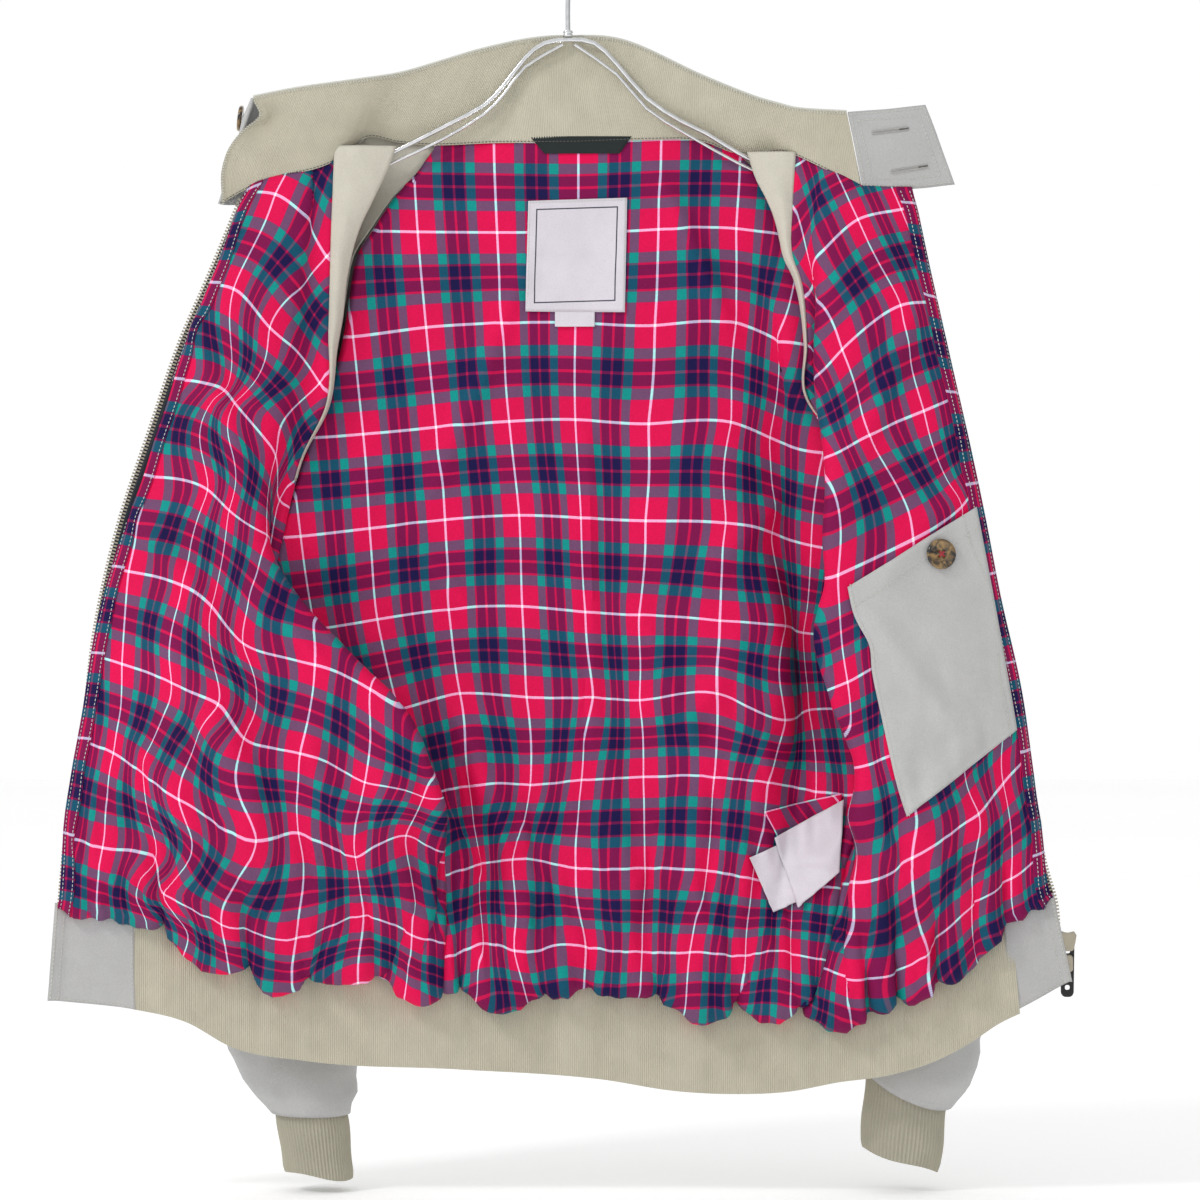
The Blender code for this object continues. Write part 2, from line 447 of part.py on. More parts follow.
def hem_outline(across):
    """Drop of the lining's lower outline, with a belly between each two clefts."""
    clefts = np.array(HEM_PUFFS, float)
    line = np.interp(across, clefts[:, 0], clefts[:, 1])
    cell = np.clip(np.searchsorted(clefts[:, 0], across, side="right") - 1, 0, len(clefts) - 2)
    share = (across - clefts[cell, 0]) / (clefts[cell + 1, 0] - clefts[cell, 0])
    inside = (share >= 0) & (share <= 1)
    belly = np.where(inside, np.sin(np.pi * np.clip(share, 0, 1)), 0.0)
    middle = 0.5 * (clefts[cell, 1] + clefts[cell + 1, 1])
    return line + (clefts[cell, 2] - middle) * belly, belly


def puff(grid, rows, inside):
    """Let the cloth puff over the waistband, inside for the lining and outside for the shell."""
    grid = grid.copy()
    band = smooth([(row[0], row[1], row[3]) for row in WAISTBAND], grid[:, -1, 0])
    seam, band_depth = band[:, 0], band[:, 1]
    across = grid[:, -1, 0]
    clear = (ease((across - PUFF_SPAN[0]) / PUFF_FADE[0])
             * ease((PUFF_SPAN[1] - across) / PUFF_FADE[1]))
    if inside:
        outline, belly = hem_outline(across)
        overhang = np.maximum(outline - seam, 0.0) * clear + PUFF_LEAST
        bulge = -PUFF_DEPTH * (CLEFT_SHARE + (1 - CLEFT_SHARE) * belly) * clear - PUFF_REST
    else:
        wave = 0.5 - 0.5 * np.cos(2 * np.pi * (across - PUFF_SPAN[0]) / GATHER_PITCH)
        overhang = SHELL_PUFF * (0.5 + 0.5 * wave) * clear + PUFF_LEAST
        bulge = SHELL_PUFF_DEPTH * (0.5 + 0.5 * wave) * clear + PUFF_REST
    wall = LINING_OUT if inside else SHELL_IN + SHELL_WALL
    stand_off = (-1 if inside else 1) * (RIB_WALL / 2 + wall + 2 * SEAM_GAP)
    start = np.array([np.interp(PUFF_START, rows, line) for line in grid[..., 1]])
    share = np.clip((rows - PUFF_START) / (1 - PUFF_START), 0, 1)
    for j, s in enumerate(share):
        if s <= 0:
            continue
        hang = np.sin(0.5 * np.pi * min(s / PUFF_TURN, 1.0))
        tuck = max(0.0, (s - PUFF_TURN) / (1 - PUFF_TURN)) ** 2
        grid[:, j, 1] = start + (seam + overhang - start) * hang - tuck * (overhang * TUCK_SHARE + TUCK_LEAST)
        near = float(ease(s / PUFF_LEAVES))
        grid[:, j, 2] = (grid[:, j, 2] * (1 - near) + (band_depth + stand_off) * near
                         + bulge * math.sin(math.pi * s ** PUFF_LATE))
    return grid


def side_line(raglan, side, depth_sign):
    """Edge of a panel: the raglan seam, then the side seam."""
    return raglan + tuple((share, across, drop, depth + depth_sign * SIDE_APART)
                          for share, across, drop, depth in side)


def turn_line(edge, inwards, depth_sign, turn_from=UNDERARM):
    """Line beside a panel's edge, which lets the cloth turn round below the underarm."""
    made = []
    for share in np.linspace(0, 1, TURN_POINTS):
        across, drop, depth = smooth(edge, share)[0]
        turned = float(ease((share - turn_from) / TURN_RISE) * ease((TURN_END - share) / TURN_FALL))
        aside = (1 - turned) * depth_sign * BESIDE_EDGE + turned * SIDE_TURN[0]
        made.append((share, across + inwards * aside, drop, depth + turned * depth_sign * SIDE_TURN[1]))
    return tuple(made)


FRONT_SIDE_RIGHT = side_line(RAGLAN_FRONT_RIGHT, SIDE_RIGHT, -1)
FRONT_SIDE_LEFT = side_line(RAGLAN_FRONT_LEFT, SIDE_LEFT, -1)
BACK_SIDE_RIGHT = side_line(RAGLAN_BACK_RIGHT, SIDE_RIGHT, 1)
BACK_SIDE_LEFT = side_line(RAGLAN_BACK_LEFT, SIDE_LEFT, 1)
PANELS = {
    "front_right": (ZIP_EDGE_RIGHT, WING_RIGHT, FOLD_RIGHT, turn_line(FRONT_SIDE_RIGHT, 1, -1),
                    FRONT_SIDE_RIGHT),
    "back": (BACK_SIDE_RIGHT, turn_line(BACK_SIDE_RIGHT, 1, 1), BACK_QUARTER_RIGHT, BACK_CENTRE,
             BACK_QUARTER_LEFT, BACK_VALLEY_LEFT, turn_line(BACK_SIDE_LEFT, -1, 1), BACK_SIDE_LEFT),
    "front_left": (FRONT_SIDE_LEFT, turn_line(FRONT_SIDE_LEFT, -1, -1, LEFT_TURN_FROM), FOLD_LEFT,
                   WING_LEFT, ZIP_EDGE_LEFT)}
PANEL_GRIDS = {}


def moved(line, across):
    """A lengthwise line moved sideways."""
    return tuple((row[0], row[1] + across, *row[2:]) for row in line)


def panel_grid(name, lines):
    grid = across_lines(lines, SPREADS[name], BODY_COLUMNS[name], BODY_ROWS)
    grid = meet_collar(grid, BODY_ROWS)
    grid[..., 2] += fold_depth(grid[..., 0], grid[..., 1])
    return grid


def build_body():
    for name, lines in PANELS.items():
        part, _, side = name.partition("_")
        end = f"_{side}" if side else ""
        inner, outer = lines, lines
        if name == "front_right":
            inner = outer = (moved(lines[0], ZIP_ROOM),) + lines[1:]
        if name == "front_left":
            outer = lines[:-1] + (moved(lines[-1], -ZIP_ROOM),)
        lining = puff(panel_grid(name, inner), BODY_ROWS, True)
        shell = puff(panel_grid(name, outer), BODY_ROWS, False)
        PANEL_GRIDS[name] = to_world(lining)
        lining_wall(f"{part}_lining{end}", inset(to_world(lining), LINING_INSET, LINING_INSET))
        shell_wall(f"{part}_shell{end}", inset(to_world(shell), SHELL_INSET, SHELL_INSET))


# ---------------------------------------------------------------- sleeves
def sleeve_grid(rings, front_seam, back_seam, turn, around, along):
    """Surface of a sleeve from its front raglan seam round the arm to its back raglan seam."""
    ring = smooth(rings, along)
    gap = np.radians(ring[:, 5])
    centre = np.radians(ring[:, 6])
    pulled = ease((SLEEVE_FREE - along) / (SLEEVE_FREE - SLEEVE_UNDERARM))[:, None]
    reached = np.minimum(along, SLEEVE_UNDERARM) * UNDERARM / SLEEVE_UNDERARM
    closed = ease((along / SLEEVE_UNDERARM - SLEEVE_CLOSES) / (1 - SLEEVE_CLOSES)) * SLEEVE_CLOSE
    front, back = smooth(front_seam, reached), smooth(back_seam, reached)
    front[:, 0] -= turn * (SLEEVE_LAP[0] + closed)
    back[:, 0] -= turn * SLEEVE_LAP[0]
    for edge in (front, back):
        edge[:, 2] += SLEEVE_LAP[1]
        edge[along > SLEEVE_UNDERARM, 1] = ring[along > SLEEVE_UNDERARM, 1]

    def ring_point(share):
        angle = centre - gap / 2 - share * (2 * np.pi - gap)
        x = ring[:, 0] + turn * ring[:, 3] * np.cos(angle)
        drop = (ring[:, 1] + ring[:, 7] * (x - ring[:, 0])
                + ring[:, 8] * np.maximum(0, -np.sin(angle)))
        return np.column_stack([x, drop, ring[:, 2] + ring[:, 4] * np.sin(angle)])

    columns = []
    for share in around:
        first = pulled * max(0.0, 1 - share / SEAM_REACH[0]) ** SEAM_PULL
        last = pulled * max(0.0, 1 - (1 - share) / SEAM_REACH[1]) ** SEAM_PULL
        columns.append(ring_point(share) + (front - ring_point(0.0)) * first
                       + (back - ring_point(1.0)) * last)
    return np.array(columns)


def build_sleeves():
    for side, rings, front_seam, back_seam, turn in SLEEVES:
        grid = sleeve_grid(rings, front_seam, back_seam, turn, SLEEVE_AROUND, SLEEVE_ALONG)
        grid = meet_collar(grid, np.minimum(SLEEVE_ALONG * UNDERARM / SLEEVE_UNDERARM, 1.0))
        grid = to_world(grid if turn > 0 else grid[::-1])
        lined = int(np.sum(SLEEVE_ALONG < SLEEVE_FREE))
        tube_from = int(np.sum(SLEEVE_ALONG < SLEEVE_TUBE))
        shell_wall(f"sleeve_shell_{side}", grid, tube_from=tube_from)
        lining_wall(f"sleeve_lining_{side}", grid[:, :lined], "sleeve_lining", SLEEVE_LINING_APART)


def cuff_ring(cuff, share, grow):
    """Ring of a cuff at a share of its length, wider by grow at each point round it."""
    _, x0, d0, x1, d1, wide, thick, tilt0, tilt1, y0, y1 = cuff
    angles = np.linspace(0, 2 * np.pi, 2 * CUFF_RIBS, endpoint=False)
    x = x0 + (x1 - x0) * share + (wide + grow) * np.cos(angles)
    y = y0 + (y1 - y0) * share + (thick + grow) * np.sin(angles)
    tilt = tilt0 + (tilt1 - tilt0) * share
    drop = d0 + (d1 - d0) * share + tilt * wide * np.cos(angles)
    return to_world(np.column_stack([x, drop, y]))


def build_cuffs():
    """Each cuff is a tube with raised ribs outside and a plain inside."""
    count = 2 * CUFF_RIBS
    ribs = np.where(np.arange(count) % 2 == 0, CUFF_RIB_HEIGHT, 0.0)
    for cuff in CUFFS:
        rings = [cuff_ring(cuff, share, grow) for share, grow in (
            (0.0, ribs), (1.0, ribs), (1.0, -CUFF_WALL), (0.0, -CUFF_WALL))]
        faces = []
        for layer in range(len(rings)):
            below = (layer + 1) % len(rings)
            for k in range(count):
                follow = (k + 1) % count
                faces.append((layer * count + k, below * count + k,
                              below * count + follow, layer * count + follow))
        add_mesh(f"cuff_{cuff[0]}", np.concatenate(rings), faces, "rib_knit")


# ---------------------------------------------------------------- waistband and collar
def band_grid(across, shares):
    rows = smooth(WAISTBAND, across)
    seam, lower, depth = rows[:, 0], rows[:, 1], rows[:, 2]
    drop = seam[:, None] + (lower - seam)[:, None] * shares[None, :]
    return np.stack([np.broadcast_to(across[:, None], drop.shape), drop,
                     np.broadcast_to(depth[:, None], drop.shape)], axis=-1)


def build_waistband():
    shares = np.array([0.0, 1.0])
    middle = band_grid(np.linspace(*BAND_ENDS, BAND_COLUMNS), shares)
    middle[:, -1, 0] += np.interp(middle[:, -1, 0], (BAND_FLARE[0], BAND_ENDS[1]), (0, BAND_FLARE[1]))
    cloth("waistband", to_world(middle), -RIB_WALL / 2, RIB_WALL, "rib_knit")
    for side, ends, flare, columns in WAIST_TABS:
        tab = band_grid(np.linspace(*ends, columns), shares)
        tab[..., 0] += shares[None, :] * np.linspace(*flare, columns)[:, None]
        cloth(f"waist_tab_{side}", to_world(tab), -TAB_WALL / 2, TAB_WALL, "shell_cloth")


def collar_grid(rows, columns, shares, bow):
    table = [(k, *row) for k, row in enumerate(rows)]
    both = smooth(table, np.linspace(0, len(rows) - 1, columns))
    lower, upper = both[:, None, 0:3], both[:, None, 3:6]
    grid = upper + (lower - upper) * shares[None, :, None]
    grid[..., 2] -= bow * np.sin(np.pi * shares)[None, :]
    return grid


def build_collar():
    shares = np.linspace(0, 1, COLLAR_ROWS)
    grid = to_world(collar_grid(COLLAR, COLLAR_COLUMNS, shares, COLLAR_BOW))
    cloth("collar_rib", grid, -COLLAR_RIB_WALL - COLLAR_RIB_APART, COLLAR_RIB_WALL, "rib_knit")
    shell_wall("collar_shell", grid)
    tab = to_world(collar_grid(COLLAR_TAB, TAB_LEFT_COLUMNS, shares, COLLAR_BOW))
    cloth("collar_tab_left", tab, COLLAR_RIB_APART - TAB_WALL, TAB_WALL, "shell_cloth")


def build_collar_tab_right():
    shares = np.linspace(0, 1, TAB_RIGHT_ROWS)
    end = collar_grid(COLLAR, 2, shares, 0.0)[0]
    height, drop, half_width = TAB_STAND
    stand = height * np.exp(-((end[:, 1] - drop) / half_width) ** 2)
    columns = []
    for k, (across, depth) in enumerate(TAB_RIGHT):
        column = end + (across, 0.0, depth)
        column[:, 0] -= stand * (k in (1, 2))
        columns.append(column)
    cloth("collar_tab_right", to_world(np.array(columns[::-1])), -TAB_RIGHT_WALL / 2, TAB_RIGHT_WALL,
          "shell_cloth")


# ---------------------------------------------------------------- zip
def build_chain(side, line, inwards):
    last, count = CHAIN_ENDS[side]
    rows = np.linspace(0.0, last, count)
    edge = smooth(line, rows)
    run = np.gradient(edge[:, :2], axis=0)
    run /= np.linalg.norm(run, axis=1, keepdims=True)
    aside = np.column_stack([run[:, 1], -run[:, 0], np.zeros(len(rows))]) * inwards
    columns = [edge + aside * CHAIN_CLEAR, edge + aside * (CHAIN_CLEAR + CHAIN_WIDTH)]
    if inwards < 0:
        columns = columns[::-1]
    cloth(f"zip_chain_{side}", to_world(np.array(columns)), CHAIN_START[side], CHAIN_WALL, "zip_metal")


def box(name, place, size, finish, bevel=0.0):
    """A box given by its middle and its size: across, down, deep."""
    middle = to_world(np.array(place, float))
    half = np.array([size[0], size[2], size[1]]) * 0.5 * MM
    corners = [middle + half * (i, j, k) for i in (-1, 1) for j in (-1, 1) for k in (-1, 1)]
    faces = [(0, 1, 3, 2), (4, 6, 7, 5), (0, 4, 5, 1), (2, 3, 7, 6), (0, 2, 6, 4), (1, 5, 7, 3)]
    made = add_mesh(name, corners, faces, finish)
    if bevel:
        rounded = made.modifiers.new("rounded", "BEVEL")
        rounded.width = bevel * MM
        rounded.segments = 1
    return made


def join_boolean(target, cutter, operation):
    change = target.modifiers.new(operation.lower(), "BOOLEAN")
    change.operation = operation
    change.solver = "EXACT"
    change.object = cutter
    cutter.hide_render = True
    cutter.hide_viewport = True


def build_zip():
    build_chain("right", CHAIN_RIGHT, 1)
    build_chain("left", CHAIN_LEFT, -1)
    across, drop, _ = SLIDER
    pin = drop + PIN_DROP
    slider = box("zip_slider", SLIDER, SLIDER_SIZE, "zip_metal", SLIDER_BEVEL)
    bridge = box("bridge", (across, pin, BRIDGE_DEPTH), BRIDGE_SIZE, "zip_metal")
    window = box("bridge_window", (across, pin, WINDOW_DEPTH), WINDOW_SIZE, "zip_metal")
    join_boolean(slider, bridge, "UNION")
    join_boolean(slider, window, "DIFFERENCE")
    middle = pin - PULL_TOP + PULL_SIZE[1] / 2
    pull = box("zip_pull", (across, middle, PIN_DEPTH), PULL_SIZE, "pull_metal")
    for name, (below, size) in (("pull_opening", PULL_OPENING), ("pull_eye", PULL_EYE)):
        hole = box(name, (across, pin + below, PIN_DEPTH), size, "pull_metal")
        join_boolean(pull, hole, "DIFFERENCE")
    box("zip_box", BOX_PLACE, BOX_SIZE, "zip_metal", BOX_BEVEL)


# ---------------------------------------------------------------- pieces on the panels
def denser(grid, steps):
    """The same surface with more points, straight between the old ones."""
    for axis in (0, 1):
        old = np.arange(grid.shape[axis])
        new = np.linspace(0, old[-1], steps * old[-1] + 1)
        cell = np.minimum(new.astype(int), old[-1] - 1)
        share = (new - cell).reshape([-1, 1, 1] if axis == 0 else [1, -1, 1])
        grid = np.take(grid, cell, axis) * (1 - share) + np.take(grid, cell + 1, axis) * share
    return grid


def lay_on(panel, places, away):
    """Put places of (across, drop) at a distance in front of a panel's inside."""
    fine = denser(PANEL_GRIDS[panel], LAY_STEPS)
    facing = outward(fine)[..., 1]
    open_side = facing > LAY_FACING
    points, facing = fine[open_side], facing[open_side]
    laid = np.zeros(places.shape[:-1] + (3,))
    for at in np.ndindex(places.shape[:-1]):
        across, height = places[at][0] * MM, -(NECK_DROP + places[at][1]) * MM
        far = (points[:, 0] - across) ** 2 + (points[:, 2] - height) ** 2
        nearest = np.argsort(far)[:LAY_NEAREST]
        weight = 1.0 / (far[nearest] + 1e-7)
        depth = (points[nearest, 1] * weight).sum() / weight.sum()
        slope = max(LAY_STEEPEST, float((facing[nearest] * weight).sum() / weight.sum()))
        laid[at] = (across, depth - away / slope * MM, height)
    return laid


def between(corners, columns, rows):
    """Places between four corners: top left, top right, lower right, lower left."""
    top_left, top_right, low_right, low_left = np.array(corners, float)
    u = np.linspace(0, 1, columns)[:, None, None]
    v = np.linspace(0, 1, rows)[None, :, None]
    return (top_left * (1 - u) + top_right * u) * (1 - v) + (low_left * (1 - u) + low_right * u) * v


def build_flat_pieces():
    for name, panel, away, columns, rows, finish, corners in FLAT_PIECES:
        places = between(corners, columns, rows)
        cloth(name, lay_on(panel, places, away), -LABEL_WALL, LABEL_WALL, finish)
    down = np.linspace(0, 1, POCKET_ROWS)
    over = np.linspace(0, 1, POCKET_COLUMNS)[:, None, None]
    places = smooth(POCKET_LEFT, down) * (1 - over) + smooth(POCKET_RIGHT, down) * over
    pocket = lay_on("front_left", places, POCKET_AWAY)
    cloth("inside_pocket", pocket, -LABEL_WALL, LABEL_WALL, "sleeve_lining")


def button(name, centre, axis, radius):
    """A flat button with a rounded rim, its back at the centre and its face along the axis."""
    profile = ((radius - BUTTON_BACK[0], 0.0), (radius, BUTTON_BACK[1]),
               (radius, BUTTON_WALL - BUTTON_RIM[1]), (radius - BUTTON_RIM[0], BUTTON_WALL),
               (radius - BUTTON_DISH[0], BUTTON_WALL - BUTTON_DISH[1]))
    centre = np.array(centre)
    axis = np.array(axis, float) / np.linalg.norm(axis)
    side = np.cross(axis, (0.0, 0.0, 1.0) if abs(axis[2]) < 0.9 else (1.0, 0.0, 0.0))
    side /= np.linalg.norm(side)
    up = np.cross(axis, side)
    points = [centre]
    for out, height in profile:
        for turn in np.arange(BUTTON_SIDES) * 2 * math.pi / BUTTON_SIDES:
            rim = side * math.cos(turn) + up * math.sin(turn)
            points.append(centre + (rim * out + axis * height) * MM)
    points.append(centre + axis * profile[-1][1] * MM)
    faces = []
    lowest, top, face_middle = 1, 1 + (len(profile) - 1) * BUTTON_SIDES, len(points) - 1
    for k in range(BUTTON_SIDES):
        follow = (k + 1) % BUTTON_SIDES
        faces.append((0, lowest + follow, lowest + k))
        for base in range(lowest, top, BUTTON_SIDES):
            over = base + BUTTON_SIDES
            faces.append((base + k, base + follow, over + follow, over + k))
        faces.append((top + k, top + follow, face_middle))
    return add_mesh(name, points, faces, "tortoise_button")


def build_buttons():
    place = np.array(POCKET_BUTTON)
    beside = np.array([[place, place + (BUTTON_RADIUS, 0)], [place + (0, BUTTON_RADIUS), place]])
    spots = lay_on("front_left", beside, POCKET_AWAY + LABEL_WALL + BUTTON_AWAY)
    axis = np.cross(spots[1, 0] - spots[0, 0], spots[0, 1] - spots[0, 0])
    button("pocket_button", spots[0, 0], axis if axis[1] < 0 else -axis, BUTTON_RADIUS)
    for number, (centre, facing) in enumerate(COLLAR_BUTTONS, 1):
        button(f"collar_button_{number}", to_world(np.array(centre)), facing, COLLAR_BUTTON_RADIUS)


# ---------------------------------------------------------------- hanger
def build_hanger():
    wire("hanger_upper_rod", UPPER_ROD_RUN, UPPER_ROD, "hanger_steel")
    wire("hanger_lower_rod_right", LOWER_ROD_RIGHT, LOWER_ROD, "hanger_steel")
    wire("hanger_lower_rod_left", LOWER_ROD_LEFT, LOWER_ROD, "hanger_steel")
    middle = HOOK_WIRE - HOOK_RADIUS
    arc = [(HOOK_RADIUS * math.cos(turn), -NECK_DROP - middle - HOOK_RADIUS * math.sin(turn), 0)
           for turn in np.radians(HOOK_TURNS)]
    wire("hanger_hook", STEM + tuple(arc), HOOK_WIRE, "hanger_steel")
    radius, bottom, top = CLASP
    bpy.ops.mesh.primitive_cylinder_add(vertices=CLASP_SIDES, radius=radius * MM,
                                        depth=(top - bottom) * MM,
                                        location=(0, 0, (bottom + top) / 2 * MM))
    clasp = bpy.context.object
    clasp.name = "hanger_clasp"
    clasp.data.materials.append(material("hanger_clasp", "hanger_steel"))
    for holder in list(clasp.users_collection):
        holder.objects.unlink(clasp)
    collection().objects.link(clasp)


def main():
    for old in list(bpy.data.objects):
        bpy.data.objects.remove(old, do_unlink=True)
    build_body()
    build_sleeves()
    build_cuffs()
    build_waistband()
    build_collar()
    build_collar_tab_right()
    build_zip()
    build_flat_pieces()
    build_buttons()
    build_hanger()


main()
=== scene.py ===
"""Looks of a harrington jacket that hangs open on a steel hanger.

Sizes are in millimetres. Across is measured from the centre back, positive to the wearer's left;
drop is measured down from the collar seam at the centre back; depth is positive towards the
outside of the back. The origin is the inner top of the hanger's hook.
"""
import math

import bmesh
import bpy
import numpy as np
from bpy.props import FloatProperty, FloatVectorProperty, PointerProperty
from bpy.types import PropertyGroup
from mathutils import Matrix, Vector


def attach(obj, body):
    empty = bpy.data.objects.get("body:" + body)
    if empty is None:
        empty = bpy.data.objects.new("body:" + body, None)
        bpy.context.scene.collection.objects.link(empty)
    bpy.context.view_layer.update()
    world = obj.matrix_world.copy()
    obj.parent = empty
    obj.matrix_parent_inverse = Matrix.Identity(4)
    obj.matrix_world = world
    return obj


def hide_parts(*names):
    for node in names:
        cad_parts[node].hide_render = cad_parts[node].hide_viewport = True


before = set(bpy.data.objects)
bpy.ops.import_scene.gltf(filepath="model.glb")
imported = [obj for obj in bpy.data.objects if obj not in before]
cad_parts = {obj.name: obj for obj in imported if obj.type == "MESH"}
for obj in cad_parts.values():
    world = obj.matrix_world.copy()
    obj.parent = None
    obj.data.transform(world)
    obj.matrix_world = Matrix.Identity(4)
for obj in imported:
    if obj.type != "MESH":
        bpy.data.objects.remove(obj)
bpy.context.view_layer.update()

bl_info = {
    "name": "Harrington jacket",
    "version": (1, 0, 0),
    "blender": (4, 5, 0),
    "location": "View3D > Sidebar > Jacket",
    "description": "Builds the pieces of a harrington jacket on a hanger",
    "category": "Object",
}

MM = 0.001
CLOTH_UV = "laid_out"
SHARP_ANGLE = 50         # faces that meet at more degrees than this have a sharp edge

# ---------------------------------------------------------------- driving sizes
NECK_DROP = 151.0        # hook to the collar seam at the centre back
UNDERARM = 0.47          # share of a side's length that the raglan seam takes
SEAM_GAP = 0.3           # clear gap between two pieces at a seam
SHELL_IN, SHELL_WALL = 0.5, 1.1      # shell cloth: distance outside the middle surface, wall
LINING_OUT, LINING_WALL = 1.8, 1.0   # lining: distance inside the middle surface, wall
SIDE_TURN = (3.0, 9.0)   # turn of the cloth at the side seam: across, depth
SIDE_APART = 0.9         # half the distance of front and back at the side seam
BESIDE_EDGE = 9.0        # line beside a panel's edge, where the cloth doesn't turn
TURN_RISE, TURN_END, TURN_FALL = 0.12, 0.93, 0.10   # shares over which the turn opens and closes
SLEEVE_LAP = (1.5, 6.0)  # the sleeve's edges beside and behind the raglan seams: across, depth
SLEEVE_CLOSE = 6.5       # distance of the sleeve's two edges at the underarm
NECK_GAP = -0.8          # panel tops below the collar's lower edge
NECK_FADE = 10           # how fast that move dies away down the panel
LEFT_TURN_FROM = 0.33    # the left front's cloth starts to turn above the underarm
TURN_POINTS = 15
RIB_WALL = 3.0           # waistband knit, folded double
COLLAR_RIB_WALL, COLLAR_RIB_APART = 1.8, 0.4
TAB_WALL = 2.4           # tabs of the waistband and the collar's left tab, folded double
CHAIN_WALL, CHAIN_CLEAR = 1.6, 0.3   # zip chain, and its gap to the edge line
ZIP_ROOM = 7.2           # cloth edge beside the chain, measured across
UPPER_ROD, LOWER_ROD, HOOK_WIRE = 1.6, 1.1, 1.7   # hanger wire radii
WIRE_STEPS, WIRE_ROUND = 2, 6        # straight pieces between two points of a wire's run, its roundness
PLATE_ROUND, THREAD_RADIUS = 2, 0.3  # roundness of plates' edges and of threads
CUFF_RIBS, CUFF_RIB_HEIGHT, CUFF_WALL = 62, 0.7, 1.4

# ---------------------------------------------------------------- lengthwise lines
# Each row: share of the length, across, drop, depth.
ZIP_EDGE_RIGHT = (
    (0.00, -223, 40, 0), (0.11, -244, 91, -1), (0.20, -263, 135, -2), (0.32, -283, 193, -2),
    (0.47, -306, 263, -2), (0.61, -321, 331, -2), (0.73, -328, 388, -1), (0.87, -339, 452, 0),
    (1.00, -345, 515, 0))
WING_RIGHT = (
    (0.00, -202, 30, -1), (0.20, -227, 135, -9), (0.47, -252, 270, -15), (0.73, -238, 393, -24),
    (0.90, -245, 483, -22), (1.00, -248, 535, -4))
FOLD_RIGHT = (
    (0.00, -176, 20, 1), (0.10, -182, 68, -4), (0.22, -191, 132, -7), (0.32, -198, 186, -9),
    (0.40, -207, 223, -10), (0.47, -207, 267, -13), (0.56, -186, 307, -22), (0.64, -151, 348, -28),
    (0.72, -113, 386, -31), (0.80, -94, 429, -32), (0.86, -91, 459, -28), (0.90, -97, 488, -17),
    (0.94, -108, 518, -8), (1.00, -127, 558, -2))
RAGLAN_FRONT_RIGHT = (
    (0.00, -157, 8, 3), (0.10, -159, 57, 3), (0.22, -161, 128, 4), (0.32, -163, 179, 6),
    (0.40, -181, 218, 8), (0.47, -194, 268, 11))
RAGLAN_BACK_RIGHT = (
    (0.00, -89, 2, 15), (0.04, -102, 24, 17), (0.07, -117, 38, 18), (0.10, -131, 59, 18),
    (0.14, -143, 79, 19), (0.18, -148, 108, 20), (0.24, -154, 142, 20), (0.31, -166, 179, 20),
    (0.39, -182, 223, 17), (0.47, -194, 268, 13.5))
SIDE_RIGHT = ((0.60, -202, 331, 8), (0.68, -188, 366, 6), (0.75, -155, 400, 4), (0.81, -120, 433, 3),
              (0.86, -94, 460, 3), (0.90, -85, 488, 4), (1.00, -86, 562, 5))

BACK_QUARTER_RIGHT = (
    (0.00, -39, 1, 11), (0.24, -86, 142, 26), (0.47, -103, 268, 30), (0.73, -86, 388, 28),
    (0.86, -66, 459, 21), (1.00, -32, 565, 7))
BACK_CENTRE = (
    (0.00, 6, 1, 9), (0.20, 6, 115, 23), (0.50, 8, 290, 27), (0.80, 12, 455, 21), (1.00, 15, 568, 8))
BACK_QUARTER_LEFT = (
    (0.00, 49, 0, 10), (0.24, 89, 142, 24), (0.47, 113, 268, 20), (0.60, 130, 331, 17),
    (0.73, 133, 392, 15), (0.86, 120, 459, 13), (1.00, 89, 576, 8))
BACK_VALLEY_LEFT = (
    (0.00, 89, -1, 13), (0.24, 141, 142, 30), (0.47, 150, 268, 36), (0.60, 157, 331, 38),
    (0.73, 160, 388, 38), (0.86, 155, 459, 30), (1.00, 128, 577, 8))

SIDE_LEFT = ((0.60, 214, 331, 10), (0.73, 215, 388, 8), (0.81, 210, 433, 6), (0.86, 202, 459, 6),
             (0.90, 189, 490, 6), (0.94, 174, 520, 6), (1.00, 157, 575, 7))
RAGLAN_BACK_LEFT = (
    (0.00, 114, 7, 15), (0.07, 140, 40, 18), (0.10, 150, 64, 19), (0.16, 157, 89, 20),
    (0.25, 165, 138, 22), (0.31, 171, 176, 22), (0.39, 190, 223, 19), (0.47, 204, 268, 15.5))
RAGLAN_FRONT_LEFT = (
    (0.00, 153, 9, 4), (0.08, 151, 45, 4), (0.15, 151, 78, 5), (0.19, 157, 95, 5),
    (0.26, 161, 138, 6), (0.32, 160, 170, 8), (0.40, 187, 213, 10), (0.47, 204, 268, 12.5))
FOLD_LEFT = (
    (0.00, 178, 21, 1), (0.10, 174, 62, -4), (0.20, 173, 108, -8), (0.29, 170, 165, -12),
    (0.36, 176, 206, -18), (0.42, 177, 240, -20), (0.47, 175, 270, -22), (0.53, 177, 300, -22),
    (0.61, 170, 338, -21), (0.68, 181, 376, -24), (0.75, 196, 415, -28), (0.84, 199, 468, -24),
    (0.90, 197, 502, -14), (0.94, 194, 526, -8), (1.00, 190, 571, -2))
WING_LEFT = (
    (0.00, 205, 32, -1), (0.20, 212, 115, -8), (0.47, 228, 270, -16), (0.73, 250, 390, -20),
    (0.90, 262, 478, -18), (1.00, 265, 545, -3))
